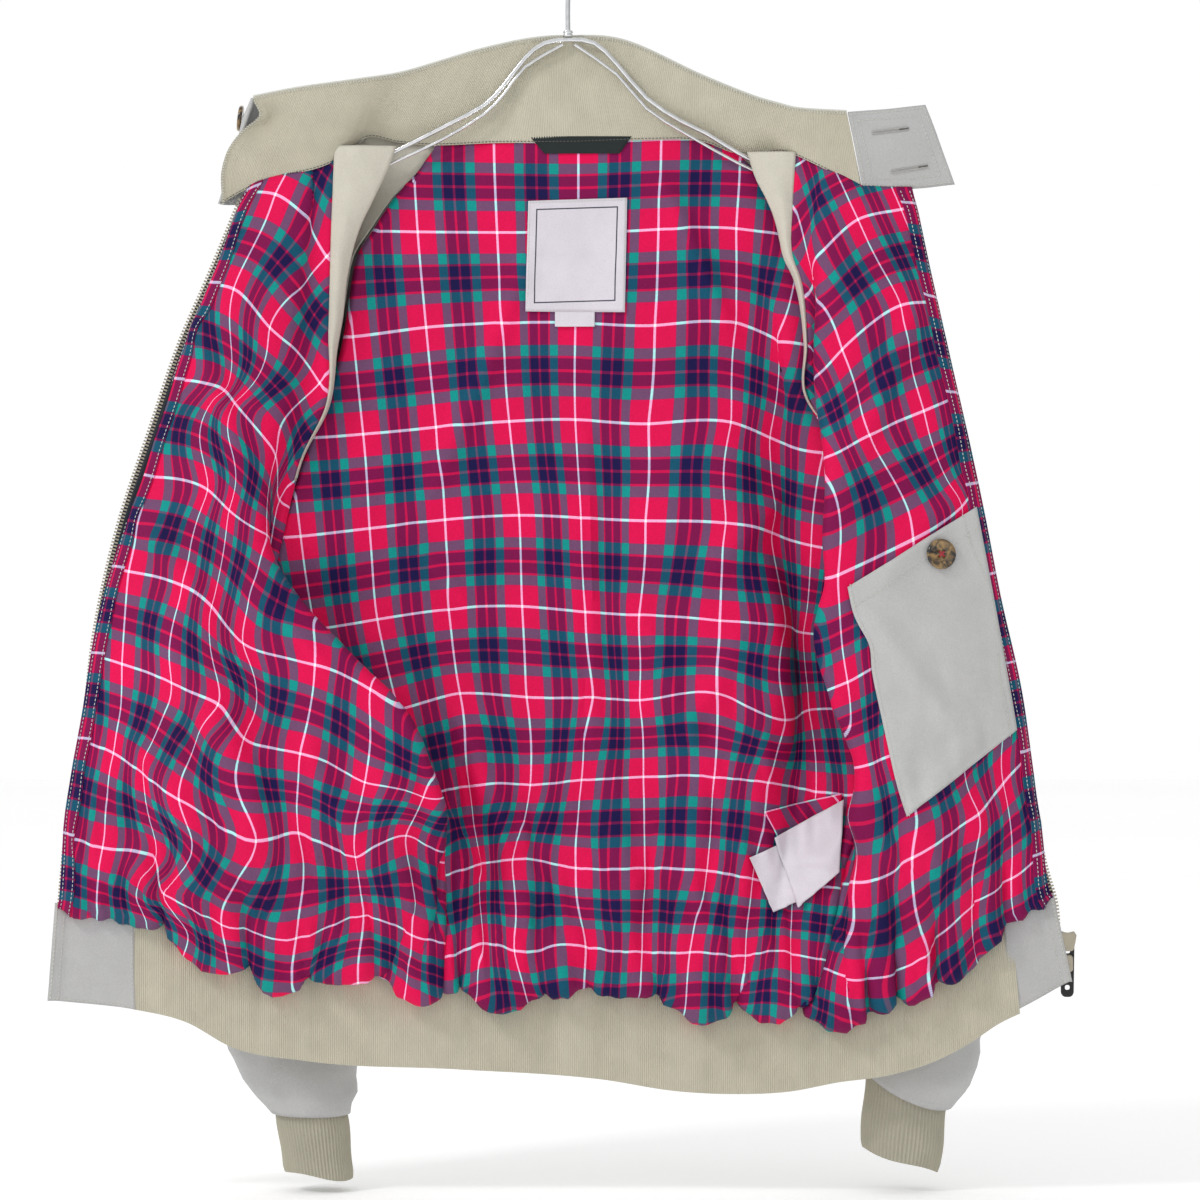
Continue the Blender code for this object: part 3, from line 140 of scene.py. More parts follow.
ZIP_EDGE_LEFT = (
    (0.00, 232, 34, 0), (0.07, 239, 67, 0), (0.16, 248, 108, -1), (0.29, 262, 170, -2),
    (0.42, 276, 232, -2), (0.57, 290, 304, -2), (0.73, 306, 377, -2), (0.86, 315, 442, -1),
    (1.00, 327, 505, 0))

# Place of each lengthwise line across its panel, and the rows and columns of the panels' cloth.
FRONT_SPREAD = (0.0, 0.38, 0.74, 0.95, 1.0)
BACK_SPREAD = (0.0, 0.04, 0.22, 0.42, 0.62, 0.80, 0.96, 1.0)
SPREADS = {"front_right": FRONT_SPREAD, "back": BACK_SPREAD,
           "front_left": tuple(1 - share for share in reversed(FRONT_SPREAD))}
BODY_ROWS = np.array([0, .07, .15, .23, .31, .39, .47, .54, .61, .68, .75, .81, .86, .905, .945,
                      .979, .99, 1.0])
BODY_COLUMNS = {
    "front_right": np.concatenate([np.linspace(0, .55, 9),
                                   (.62, .69, .74, .79, .84, .90, .95, .975, 1)]),
    "back": np.concatenate([(0, .02), np.linspace(.04, .96, 20), (.98, 1)]),
    "front_left": np.concatenate([(0, .025, .05, .10, .16, .21, .26, .31, .38),
                                  np.linspace(.45, 1, 9)])}

# Seam of body and waistband. Each row: across, drop of the seam, drop of the lower edge, depth.
WAISTBAND = (
    (-346, 515, 581, 0), (-293, 523, 587, 0), (-257, 529, 596, 1), (-228, 543, 612, 1),
    (-177, 555, 622, 2), (-74, 561, 628, 5), (22, 568, 635, 8), (73, 575, 643, 8),
    (112, 577, 645, 8), (151, 575, 643, 7), (182, 569, 637, 6), (215, 565, 632, 4),
    (241, 556, 624, 3), (267, 543, 610, 2), (285, 530, 597, 1), (306, 518, 586, 0),
    (338, 503, 568, 0))
BAND_ENDS = (-292.6, 298.6)          # across of the knit part's two ends
BAND_FLARE = (200, 6.5)              # its lower edge widens from here to the left end, and by this

# Puffs of the lining over the waistband. Each row: across and drop of the cleft, drop of the
# belly between it and the next cleft.
HEM_PUFFS = (
    (-272, 523, 554), (-215, 552, 572), (-179, 560, 562), (-130, 559, 575), (-73, 566, 582),
    (-16, 574, 572), (15, 568, 572), (59, 568, 589), (112, 576, 589), (153, 580, 595),
    (202, 586, 583), (221, 575, 577), (248, 566, 560), (275, 552, 543), (295, 530, 530))
PUFF_START = 0.90        # share of the length where the cloth starts to puff
PUFF_TURN = 0.85         # share of the puff where it turns under
PUFF_DEPTH = 9.0
CLEFT_SHARE = 0.45       # share of that depth at a cleft
PUFF_LEAST, PUFF_REST = 1.0, 0.5     # overhang and depth where the cloth doesn't puff
TUCK_SHARE, TUCK_LEAST = 0.6, 0.4    # how far it turns back up: share of the overhang, and more
PUFF_LEAVES, PUFF_LATE = 0.55, 1.5   # share over which it leaves its panel, how low it bulges
SHELL_PUFF, SHELL_PUFF_DEPTH, GATHER_PITCH = 9.0, 8.0, 35.3
PUFF_SPAN, PUFF_FADE = (-300, 303), (45, 30)   # the puffs die away towards the front edges

# Largest folds. Each row: across and drop where it starts, where it ends, half width, depth.
FOLDS = (
    (-213, 330, -172, 493, 13, 3), (-262, 300, -250, 470, 22, -7), (-240, 340, -210, 500, 14, -8),
    (-161, 432, -140, 533, 11, 3), (-128, 400, -112, 530, 14, -7), (-55, 481, -82, 544, 10, 3),
    (-66, 391, -19, 553, 15, -8), (49, 445, 62, 553, 12, 3), (22, 360, 35, 540, 16, -6),
    (84, 420, 76, 560, 12, -6), (192, 372, 229, 500, 10, 3), (228, 450, 258, 545, 14, -7),
    (283, 440, 285, 520, 11, 3))
FOLD_START, FOLD_END = (-0.1, 0.4), (1.1, 0.35)      # a fold's ends, and the shares it fades over

# ---------------------------------------------------------------- sleeves
# Rings of a sleeve. Each row: share of the length, across, drop and depth of the centre, half
# width, half thickness, opening towards the body and its direction in degrees, tilt, sag of the
# front.
SLEEVE_RIGHT = (
    (0.00, -123, 3, 17, 34, 2, 180, -90, 0, 0), (0.064, -149, 40, 19.5, 43, 12, 150, -30, 0, 0),
    (0.137, -181, 85, 27.5, 37, 16, 73, -21, 0, 0), (0.21, -190, 134, 34, 40, 22, 42, -25, 0, 0),
    (0.284, -203, 176, 45, 39, 30, 26, -38, 0, 0), (0.357, -211, 219, 63, 41, 34, 20, -55, 0, 0),
    (0.43, -205, 268, 70, 47, 38, 12, -70, 0, 0), (0.50, -199, 318, 73, 54, 38, 0, -70, 0, 0),
    (0.60, -194, 385, 75, 58, 37, 0, -70, 0, 0), (0.75, -189, 490, 73, 54, 33, 0, -70, 0, 0),
    (0.88, -189, 580, 64, 47, 28, 0, -70, 0, 0), (0.94, -188, 622, 57, 41, 26, 0, -70, 0, 1),
    (0.975, -182, 648, 51, 32, 26, 0, -70, 0.02, 2), (1.00, -177, 661, 48, 26, 24.5, 0, -70, 0.04, 2))
SLEEVE_LEFT = (
    (0.00, 133, 5, 17.5, 20, 2, 180, -90, 0, 0), (0.064, 165, 40, 23, 25, 12, 79, -20, 0, 0),
    (0.137, 186, 83, 35, 36, 22, 30, -32, 0, 0), (0.21, 202, 125, 42, 37, 27, 25, -38, 0, 0),
    (0.284, 213, 172, 50, 38, 31, 25, -38, 0, 0), (0.357, 223, 219, 63, 38, 34, 20, -55, 0, 0),
    (0.43, 220, 268, 70, 48, 38, 12, -70, 0, 0), (0.50, 220, 318, 73, 54, 38, 0, -70, 0, 0),
    (0.60, 222, 385, 75, 58, 37, 0, -70, 0, 0), (0.75, 230, 490, 73, 54, 33, 0, -70, 0, 0),
    (0.88, 240, 575, 65, 43, 28, 0, -70, 0.05, 0), (0.94, 243, 605, 58, 37, 27, 0, -70, 0.15, 3),
    (0.975, 238, 629, 52, 35, 27, 0, -70, 0.35, 9), (1.00, 233, 641, 49, 30, 24.5, 0, -70, 0.42, 12))
SLEEVE_UNDERARM = 0.43   # share of the sleeve's length at the underarm
SLEEVE_FREE = 0.52       # from here down the rings alone give the shape, and the lining ends
SLEEVE_TUBE = 0.55       # from here down the sleeve is a closed tube
SLEEVE_LINING_APART = 1.5            # extra gap between a sleeve's lining and its shell
SEAM_REACH = (0.30, 0.25)            # share around the arm that the front and the back seam pull
SEAM_PULL = 1.5          # how fast that pull dies away
SLEEVE_CLOSES = 0.6      # share of the way to the underarm where the two edges start to meet
SLEEVE_AROUND = np.array([0, .05, .10, .15, .20, .27, .35, .44, .53, .62, .71, .80, .88, .94, 1.0])
SLEEVE_ALONG = np.concatenate([BODY_ROWS[:7] * SLEEVE_UNDERARM / UNDERARM,
                               (.50, .60, .71, .82, .91, .96, 1.0)])
# Each row: side, rings, front and back raglan seam, direction of the turn.
SLEEVES = (
    ("right", SLEEVE_RIGHT, RAGLAN_FRONT_RIGHT, RAGLAN_BACK_RIGHT, 1),
    ("left", SLEEVE_LEFT, RAGLAN_FRONT_LEFT, RAGLAN_BACK_LEFT, -1))
# Cuffs. Each row: side, across and drop of the upper ring, of the lower ring, half width, half
# thickness, tilt of the upper and the lower ring, depth of the upper and the lower ring.
CUFFS = (
    ("right", -178, 646, -171, 704, 23.2, 20.2, 0.05, 0.14, 48, 45),
    ("left", 233, 632, 227, 694, 26.4, 20.2, 0.40, 0.30, 49, 46))

# ---------------------------------------------------------------- collar
# Each row: across, drop and depth at the neck seam; across, drop and depth at the upper edge.
COLLAR = (
    (-234, 43, 0, -211, -28, -3), (-205, 28, 0, -181, -34, -3), (-165, 17, 2, -141, -40, 0),
    (-139, -3, 11, -113, -45, 4), (-115, 0, 15, -86, -53, 6), (-89, 2, 15, -59, -61, 6),
    (-46, 1, 11, -27, -68, 7), (6, 1, 9, 0, -70, 8), (55, -1, 10, 38, -67, 7),
    (89, -1, 13, 89, -44, 6), (114, 7, 15, 123, -30, 5), (135, 7, 12, 142, -24, 3),
    (153, 9, 4, 157, -20, 0), (198, 32, 0, 188, -18, -3))
COLLAR_BOW = 3.0         # how far the collar's middle stands out from its edges
SEAM_POINTS = 120        # points along the neck seam
# Columns of the right tab, folded back behind the collar's end: across and depth from that end.
TAB_RIGHT = ((-0.8, 1.6), (-1.5, 6), (4, 12), (16, 13.5), (30, 13))
COLLAR_TAB = ((198.6, 32.3, 0, 188.6, -18, -3), (230, 33, 1, 214, -20, -2), (261, 30, 2, 241, -23, -1))
TAB_STAND = (3.0, -14, 13)           # bulge under its button: height, drop, half width

# ---------------------------------------------------------------- zip
# Outer edge of each chain. Each row: step along it, across, drop, depth.
CHAIN_RIGHT = ZIP_EDGE_RIGHT + ((1.08, -348, 545, 0), (1.16, -351.5, 579, 0))
CHAIN_LEFT = ZIP_EDGE_LEFT[:-1] + ((0.97, 324.5, 491, 0), (1.02, 331, 514, 0), (1.06, 332.5, 528, 0),
                                  (1.12, 332.5, 561, 0))
CHAIN_ENDS = {"right": 1.16, "left": 1.12}                   # last step
CHAIN_START = {"right": -CHAIN_WALL / 2, "left": -0.1}       # back of the chain from its line
CHAIN_POINTS = 150
SLIDER, SLIDER_SIZE = (337.5, 541.0, 0.0), (10.0, 12.0, 6.0) # middle; size across, down, deep
PIN_DROP, PIN_DEPTH = 2.6, 4.7       # hinge of the pull, from the slider's middle
PULL_TOP, PULL_SIZE = 0.9, (9.0, 36.0, 1.6)                  # end of the pull above its hinge
# Holes in the pull: drop below the hinge, size across, down, deep.
PULL_OPENING = (3.6, (4.4, 5.4, 4.0))
PULL_EYE = (29.0, (4.0, 4.0, 4.0))
BOX_PLACE, BOX_SIZE = (336.3, 556.0, 0.0), (7.5, 10.0, 4.0)
# Sides of the inside pocket. Each row: share of the height, across, drop.
POCKET_LEFT = ((0, 187, 302), (0.25, 193, 334), (0.45, 202, 358), (0.8, 219, 432), (1, 226, 455))
POCKET_RIGHT = ((0, 275, 248), (0.25, 283, 290), (0.6, 293, 345), (0.85, 300, 385), (1, 302, 398))
POCKET_BUTTON = (250.0, 280.0)
BUTTON_RADIUS, COLLAR_BUTTON_RADIUS, BUTTON_WALL = 10.2, 8.8, 3.0
# Buttons of the right collar tab. Each row: place (across, drop, depth), direction of its face.
COLLAR_BUTTONS = (((-220.6, -15.5, 12.5), (-1, 0, 0.12)), ((-196.0, 2.0, 13.5), (0, 1, 0)))

# ---------------------------------------------------------------- hanger
# Each row: across, drop, depth.
UPPER_ROD_RUN = (
    (-176, 37, 18), (-161, 28, 16), (-140, 17.5, 13), (-119, 8, 8), (-92, -5, 4), (-80, -11, 2.5),
    (-57, -23, 0), (-43, -37, -1), (-29, -55, -1), (-16, -65, -0.5), (1, -67.5, 0), (18, -65, -0.5),
    (33, -51, -1), (53, -28, -1), (76, -13, 2), (93, -5, 4), (115, 8, 8), (136, 18, 13),
    (157, 28, 17), (168, 33.5, 19))
LOWER_ROD_RIGHT = ((-3.5, -64.2, 0), (-29, -49, -1), (-43, -31, -1), (-57, -17, -0.5), (-84, -1, 3),
                   (-119, 15, 8), (-142, 24, 13))
LOWER_ROD_LEFT = ((4.5, -64.2, 0), (33, -44, -1), (53, -21, -1), (80, -4, 2.5), (115, 15, 8),
                  (138, 24.5, 13))
STEM = ((0, -73.9, 0), (0, -96, 0), (2.4, -106, 0))
HOOK_RADIUS = 19.7
CLASP = (3.4, -81.6, -77.4)      # radius, bottom and top height
HOOK_TURNS = np.arange(-50, 201, 25)             # degrees round the hook

# ---------------------------------------------------------------- finer cloth
LINING_STEPS, SHELL_STEPS = (7, 9), (4, 5)    # finer columns and rows between two of the cloth's own
LINING_REST = 3.0        # height of the lining's creased face over its lowest places
CREASE_GAIN = 2.7        # how much the tables' creases are raised
DRAWN_FROM, DRAWN_OVER, DRAWN_HEIGHT = 280.0, 240.0, 2.6     # creases drawn in by the waistband
DRAWN_STRETCH = (3.2, 0.75)          # how much closer these creases stand across, and down
RIPPLE_SIZE = 62.0       # length of the soft waves in the cloth
# Waves of a ripple. Each row: direction, length beside the ripple's own. Then their phases' steps.
RIPPLE_WAVES = ((0.3, 1.0), (1.3, 1.7), (2.2, 0.8), (-0.6, 2.3))
RIPPLE_PHASES = (1.7, 2.1)
EDGE_CELLS = 5           # cells over which a creased surface eases to its borders
CLEFT_RISE, CLEFT_DEPTH, CLEFT_WIDTH = 110.0, 4.2, 4.0    # crease above each cleft of the puffed hem
CLEFT_LEAN = 0.10
KNIT_COURSE = 1.3        # height of one row of knit
BAND_WALE, COLLAR_WALE = 1.45, 1.3            # width of one wale of the waistband, of the collar
BAND_GATHER, BAND_ROLL = 2.6, 1.0
COLLAR_RIB_HEIGHT, COLLAR_RIPPLE = 0.3, 1.2
STITCH, STITCH_LIFT = (2.0, 0.6, 0.5), 0.2    # length, width, depth of a stitch
TAPE_EDGE, TAPE_WIDTH, TAPE_DEPTH, TAPE_UNDER = 2.0, 12.8, -0.2, 0.4
ROOM_LEFT = 0.8          # the right lining's edge beside the edge line, below the open teeth
# Dark strip beside the upper teeth, part zip tape and part painted shade where the lining's edge turns away:
# width at the top and at its end, drop of its end, depth.
TAPE_SHADE_WIDTH, TAPE_SHADE_END, TAPE_SHADE_DEPTH = (11.0, 3.0), 300.0, -4.6
# Waist tabs over the ends of the chains. Each row: side, across at the seam and at the lower edge,
# how far the outer end bends to the inside.
TAB_REACH = (("right", (-346, -293), (-351, -292), 2.6), ("left", (294, 327), (299, 340), 3.6))
BAND_SEAM, BAND_LOWER, BAND_DEPTH = (tuple((row[0], row[k]) for row in WAISTBAND) for k in (1, 2, 3))
TOOTH = (1.15, 4.4, 1.9)                      # size of a zip tooth: along, across, deep
NECK_LABEL_SIZE, FRAME_INSET = (66.6, 75.2), 6.0
LABEL_WHITE = (0.70, 0.66, 0.72)
STITCH_ROWS = {"right": (2.2, 10.0), "left": (2.4, 8.6)}
FACING = (0.3, 11.6, 0.42)  # facing strip of the fronts: from and to beside the edge, its first thread

# Largest creases of the linings. Each row: across and drop of the start, of the end, half width, height.
CREASES_BACK = (
    (13, 190, 17, 440, 5, 2.4), (60, 20, 110, 130, 7, 1.6), (-45, 130, -100, 250, 8, 1.8),
    (-120, 250, -60, 330, 9, 1.6), (150, 230, 90, 300, 9, 1.8), (40, 300, 90, 420, 8, 1.6),
    (-90, 360, -40, 470, 8, 1.8), (120, 330, 60, 440, 8, 1.5), (-20, 60, -60, 160, 7, 1.2))
CREASES_RIGHT = (
    (-255, 110, -215, 230, 7, 1.8), (-290, 250, -230, 330, 8, 1.8), (-220, 290, -150, 370, 8, 2.0),
    (-300, 390, -240, 470, 8, 1.6), (-180, 400, -120, 500, 8, 2.0), (-270, 330, -200, 460, 9, 1.8))
CREASES_LEFT = (
    (235, 110, 195, 210, 7, 1.8), (270, 230, 205, 300, 8, 1.6), (200, 320, 260, 400, 8, 1.8),
    (280, 390, 220, 470, 8, 1.6), (185, 430, 240, 530, 8, 1.8))
SHELL_CREASES = (
    (-150, 90, -60, 180, 12, 2.0), (150, 90, 70, 190, 12, 2.0), (-130, 300, -60, 420, 12, 2.0),
    (140, 310, 60, 420, 12, 2.0), (10, 140, 15, 420, 9, 1.6), (-250, 250, -220, 420, 12, 2.0),
    (260, 250, 225, 420, 12, 2.0))
SLEEVE_RIPPLE = 1.5
# Creases round the sleeve. Each row: share of the length, depth, width.
SLEEVE_CREASES = ((0.46, 1.8, 0.016), (0.53, 2.2, 0.014), (0.60, 1.6, 0.016), (0.68, 1.2, 0.018),
                  (0.80, 1.4, 0.016), (0.87, 2.2, 0.010), (0.905, 2.0, 0.008), (0.94, 2.4, 0.009),
                  (0.97, 2.0, 0.007))
# Sleeve lining that stands out of the armhole beside the front seam. Each row: drop, how far it reaches.
ARMHOLE_FOLDS = (
    ("right", RAGLAN_FRONT_RIGHT, ((4, 42), (16, 38), (40, 28), (58, 20), (92, 12), (121, 9.5), (148, 5),
                                   (190, 2.5), (230, 1.6))),
    ("left", RAGLAN_FRONT_LEFT, ((8, 33), (26, 26), (40, 18), (63, 9), (87, 6), (138, 2.5), (200, 1.6))))
# The collar's right end. Each row: drop, how far it stands to the left of a straight end.
COLLAR_WAVE = ((-35, 0), (-28, -1), (-14, 7.0), (-6, -0.4), (4, -5.6), (19, -6.8), (42, 0))
BUTTONHOLES = (((205, -4), (229, -7)), ((218, 22), (242, 18)))
POCKET_WAVE = (0.30, 6.0, 0.12)      # the pocket's inner edge: place of its wave, depth, half width
# Each row: name, panel, distance from it, finish, four corners of (across, drop), node, curl.
LABELS = (
    ("woven_neck_label", "back", 1.2, "framed_label", ((-27, 40.5), (40, 38.5), (38.5, 115.4), (-29, 114.8)),
     "neck_label", 0.6),
    ("woven_size_tab", "back", 1.2, "plain_label", ((-9, 114.4), (18, 114.4), (18, 125), (-9, 125)),
     "size_tab", 0.8),
    ("neck_tape_cloth", "back", 1.0, "neck_tape_cloth", ((-26, -3), (43, -3), (35, 8.6), (-16, 8.6)),
     "neck_tape", 0.2),
    ("lining_flap_cloth", "back", 1.4, "checked_lining", ((133, 454), (186, 442), (184, 486), (153, 492)),
     "lining_flap", 1.2),
    ("satin_label_lower", "back", 3.2, "plain_label", ((123, 485), (151, 473), (154, 515), (139, 522)),
     "care_label_1", 2.5),
    ("satin_label_upper", "back", 5.2, "plain_label", ((140, 472), (187, 446), (183, 494), (155, 518)),
     "care_label_2", 3.0))

# ---------------------------------------------------------------- check
# Widths of the threads' bars in one repeat.
SETT = (("white", 2.3), ("red", 18), ("green", 9), ("rose", 2), ("navy", 9), ("rose", 2.5), ("navy", 9),
        ("rose", 2), ("green", 9), ("red", 18))
SETT_TOTAL = sum(width for _, width in SETT)
CHECK_BLUR = 0.002       # soft border between two bars, as a share of the repeat
CHECK_PITCH = (55.0, 65.0)                    # one repeat across and down
CHECK_UNIT, CHECK_EASE = 100.0, 0.0005        # length that places are solved in, and how loosely
WHITE_OVER = 1.4         # how much a white thread outshines the one it crosses
TWILL_LINES = 70         # twill lines in one repeat
CUFF_SHADE = 0.78         # the cuffs beside the waistband's colour: the same knit made darker, painted shade
RIB_SHADE = 0.94         # painted shade between the wales of rib knit
# How the check hangs: where white warp lines (left to right) cross white weft lines (top to
# bottom), as (across, drop).
CROSSINGS_BACK = (
    ((-155, -3), (-105, -1), (-50, 0), (7, 1), (63, -1), (117, -1), (165, 1), (204, 0)),
    ((-151, 60), (-102, 61), (-48, 61), (7, 61), (61, 59), (114, 58), (160, 65), (190, 68)),
    ((-146, 132), (-97, 125), (-45, 122), (5, 122), (59, 124), (113, 122), (146, 134), (180, 140)),
    ((-140, 198), (-90, 193), (-40, 189), (5, 188), (55, 191), (110, 190), (136, 200), (174, 211)),
    ((-136, 262), (-84, 256), (-33, 253), (10, 255), (53, 257), (107, 259), (135, 265), (168, 273)),
    ((-130, 324), (-81, 317), (-31, 315), (13, 319), (49, 321), (103, 325), (144, 329), (161, 333)),
    ((-116, 386), (-74, 375), (-28, 377), (18, 378), (49, 379), (101, 374), (144, 392), (165, 386)),
    ((-103, 446), (-64, 437), (-26, 437), (11, 433), (51, 431), (99, 431), (133, 434), (170, 442)),
    ((-93, 500), (-59, 490), (-38, 487), (6, 493), (50, 493), (93, 494), (123, 500), (157, 506)),
    ((-86, 554), (-59, 547), (-36, 550), (11, 548), (49, 552), (82, 550), (119, 554), (150, 554)))
CROSSINGS_RIGHT = (
    ((-232, 37), (-197, 38), (-159, 79), (-137, 108)),
    ((-253, 99), (-224, 102), (-201, 128), (-163, 164)),
    ((-270, 163), (-230, 171), (-224, 179), (-198, 213), (-181, 243)),
    ((-284, 228), (-241, 237), (-227, 251), (-206, 268), (-173, 294)),
    ((-294, 292), (-256, 302), (-238, 316), (-217, 340), (-167, 354), (-132, 371)),
    ((-298, 354), (-262, 366), (-233, 381), (-219, 404), (-176, 413), (-133, 432), (-97, 442)),
    ((-303, 414), (-282, 427), (-257, 443), (-209, 470), (-180, 465), (-138, 478), (-110, 466)),
    ((-311, 477), (-275, 484), (-270, 508), (-232, 529), (-183, 539), (-137, 524), (-104, 537)),
    ((-314, 533), (-272, 540), (-255, 557), (-227, 570), (-186, 587), (-142, 570), (-103, 580)))
CROSSINGS_LEFT = (
    ((224, 48), (195, 55), (162, 91)), ((245, 110), (223, 113), (184, 143), (159, 172)),
    ((263, 173), (238, 184), (200, 201), (174, 217)), ((275, 234), (263, 248), (230, 271), (181, 294)),
    ((285, 297), (269, 327), (219, 348), (187, 366)), ((294, 359), (267, 381), (219, 413), (195, 423)),
    ((290, 434), (273, 454), (232, 481), (196, 500)),
    ((298, 498), (269, 516), (240, 550), (187, 566), (159, 559)),
    ((306, 554), (275, 570), (248, 608), (190, 621), (157, 614)))
# Each row: creases, crossings, number of the first warp line, first and last column that lies flat.
LININGS = {
    "front_right": (CREASES_RIGHT, CROSSINGS_RIGHT, 0, (None, 11 * LINING_STEPS[0])),
    "back": (CREASES_BACK, CROSSINGS_BACK, -1, (2 * LINING_STEPS[0], 21 * LINING_STEPS[0])),
    "front_left": (CREASES_LEFT, CROSSINGS_LEFT, 0, (6 * LINING_STEPS[0], None))}

# ---------------------------------------------------------------- finishes
# Each row: name, colour (or its name in the panel), roughness, size of the crumples, their depth.
PLAIN_CLOTHS = (
    ("stone_cloth", "stone", 0.7, 24.0, 3.0), ("sleeve_cloth", "beige", 0.45, 34.0, 3.0),
    ("pocket_cotton", "pocket", 0.75, 30.0, 2.6), ("navy_tape", (0.010, 0.013, 0.022), 0.8, 60.0, 0.5),
    ("neck_tape_cloth", (0.016, 0.022, 0.022), 0.8, 60.0, 0.5))
# Each row: name, colour, roughness, how metallic.
METALS = (("zip_brass", (0.42, 0.38, 0.30), 0.34, 1.0), ("dark_metal", (0.035, 0.034, 0.034), 0.42, 0.7),
          ("bright_steel", (0.72, 0.73, 0.74), 0.14, 1.0))
THREADS = (("pale_thread", (0.62, 0.62, 0.56)), ("stone_thread", (0.46, 0.45, 0.43)),
           ("red_thread", (0.45, 0.02, 0.04)), ("dark_thread", (0.10, 0.10, 0.09)))
HORN_CLOUDS = ((0.42, (0.012, 0.010, 0.009)), (0.66, (0.36, 0.22, 0.08)))
FRAME_LINE, FRAME_COLOUR = 0.45, (0.05, 0.05, 0.07)
NOISE_RANGE = (0.3, 0.7)
# What noise does to the tone of crumples (painted shade in their hollows, painted light on their crests), of a
# cloth's grain, of metal and of thread, and to polish.
CRUMPLE_SHADE, GRAIN_TONE, METAL_TONE, THREAD_TONE = (0.94, 1.04), (0.95, 1.05), (0.88, 1.06), (0.85, 1.08)
POLISH_RANGE, GRAIN_SHARE = (0.7, 1.3), 0.08
COURSE_HEIGHT, WALE_RANGE = 0.3, (-1.0, 0.6)            # knit's courses beside its wales, the part of a wale that takes painted shade
TWILL_PITCH, TWILL_DEPTH, TWILL_MIX = 0.7, 0.05, 0.10   # plain twill, its depth, its part in the check

# ---------------------------------------------------------------- stage
FLOOR_HEIGHT = -0.866
AIM = (0.0216, 0.0, -0.4617)
CAMERA_AWAY, FRAME_WIDTH, SENSOR = 3.0, 0.81, 36.0
LIGHT_FROM = (-0.47, -0.64, 0.60)             # where the soft light comes from
LIGHT_RANGE, BEHIND_LIGHT = (0.05, 0.95), 1.0   # light from the far and the near side, from behind
LIGHT_PLACE, LIGHT_SIZE, LIGHT_POWER = (-2.0, -1.5, 1.5), 0.5, 24.0
FLOOR_SIZE, FLOOR_COLOUR, FLOOR_GLOW, FLOOR_TONE = 14.0, (0.97, 0.97, 0.97), 0.17, (0.98, 1.0)

# ---------------------------------------------------------------- how pieces are laid and sewn
LAY_NEAREST, LAY_SOFT, LAY_ROUNDS = 6, 0.5, 4   # points below a laid piece, their blend, its smoothing
BORDER_POINTS = 16       # points on each side of a closed run of stitches
ROOM_FADE = (0.72, 0.28)              # share of the front where room for the zip ends, and over how much
HEM_ROW = 13                          # the body's row below which its cloth bends to the band
FACING_COLUMNS, FACING_SPAN, FACING_LIFT, FACING_WALL, FACING_SLIP = 9, (0.0, 0.955), 0.5, 0.4, 0.02
EDGE_SPAN, EDGE_OUT = (0.01, 0.955), 0.55            # stitches along the fronts: their span, their lift
RAGLAN_SPAN, RAGLAN_INSET = (0.02, 0.9), 2.5         # stitches outside, beside the raglan seams
TAB_SPAN, TAB_INSETS, TAB_BORDER, TAB_CELLS = (0.02, 0.98), (2.0, 7.0), 1.6, (40, 30)
COLLAR_ROWS, COLLAR_COLUMNS, COLLAR_KNIT_COLUMNS, COLLAR_TAB_COLUMNS = 22, 220, 1280, 48
COLLAR_CLOSER, COLLAR_TAB_WAVE = 0.2, (0.5, 30.0)    # outer cloth nearer its knit; wave's height, length
PIPING_IN, PIPING_UP, PIPING_RADIUS = 1.0, 0.6, 0.9
HOLE_SLIT, HOLE_POINTS, HOLE_LIFT, HOLE_BORDER = 0.8, 24, 0.5, 0.9
FOLDED_COLUMNS, FOLDED_WALL, FOLDED_BORDER = 24, 2.0, 2.5
FOLDED_STAND = (1.5, 0.9)             # where on the folded tab its button's bulge is, and half its width
TAPE_COLUMNS, TAPE_WALL, CORD_RADIUS = 8, 0.6, 0.9
TAPE_SHADE_COLUMNS, TAPE_SHADE_WALL, TAPE_SHADE_UNDER, TAPE_SHADE_FADE = 10, 0.5, 0.5, (120, 60)
LABEL_CELLS, LABEL_WALL, LABEL_BORDER = 30, 0.6, 1.2
POCKET_CELLS, POCKET_LIFT, POCKET_OUT, POCKET_CLOTH = (40, 56), 1.6, 0.2, 1.0
POCKET_SAG, POCKET_RIPPLE = (1.2, 0.12), (0.5, 34.0)         # depth, reach; height, length
POCKET_ROWS, POCKET_STITCH_LIFT = (14.0, 2.0), 0.6           # stitches below the top, beside the edges
CLASP_SIDES, BUTTON_OUT = 40, 1.6
SLEEVE_STEPS, SLEEVE_WIND, SLEEVE_WAVE = (5, 6), 40, 46.0    # finer rows; how ripples wind round, length
CREASE_TILT, CREASE_TURN, CREASE_SHARE = 0.020, 8.0, (0.6, 0.4, 4)   # elbow creases' lean, their sides
WRINKLE_START, WRINKLE_END = (0.02, 0.06), (0.992, 0.02)     # share of the sleeve, length of the fade
SLEEVE_OPEN, SEAM_CELLS, ARMHOLE_RIPPLE = 0.05, 4, (0.7, 30.0)
RIB_POINTS = 4           # points across one rib of knit
CUFF_ROWS, CUFF_SWELL, CUFF_TURNED, CUFF_WAVE = 15, (0.9, 0.5, 9), (0.8, 0.93, 0.07), (0.9, 3)
BAND_KNIT_ROWS, BAND_DEEP, BAND_WAVE = 18, (0.5, 0.4), (0.8, 70.0)   # parts of gather and roll in depth
GATHER_PLACE = (6, 7.0)  # the band's gathers beside the puffs: shift, half width
TAB_BEND, TAB_RIPPLE = 11.0, (0.6, 26.0)
COLLAR_WAVES, WAVY_REACH = (0.4, 60.0), 16.0
SLIDER_PLATE, SLIDER_EDGE, THIN_EDGE, BRIDGE_RADIUS = 1.7, 0.5, 0.3, 0.75
PULL_CORNER, PULL_TAPER, PULL_EDGE, OPENING_CORNER, EYE_CORNER = 3.2, 0.12, 0.35, 1.4, 1.7
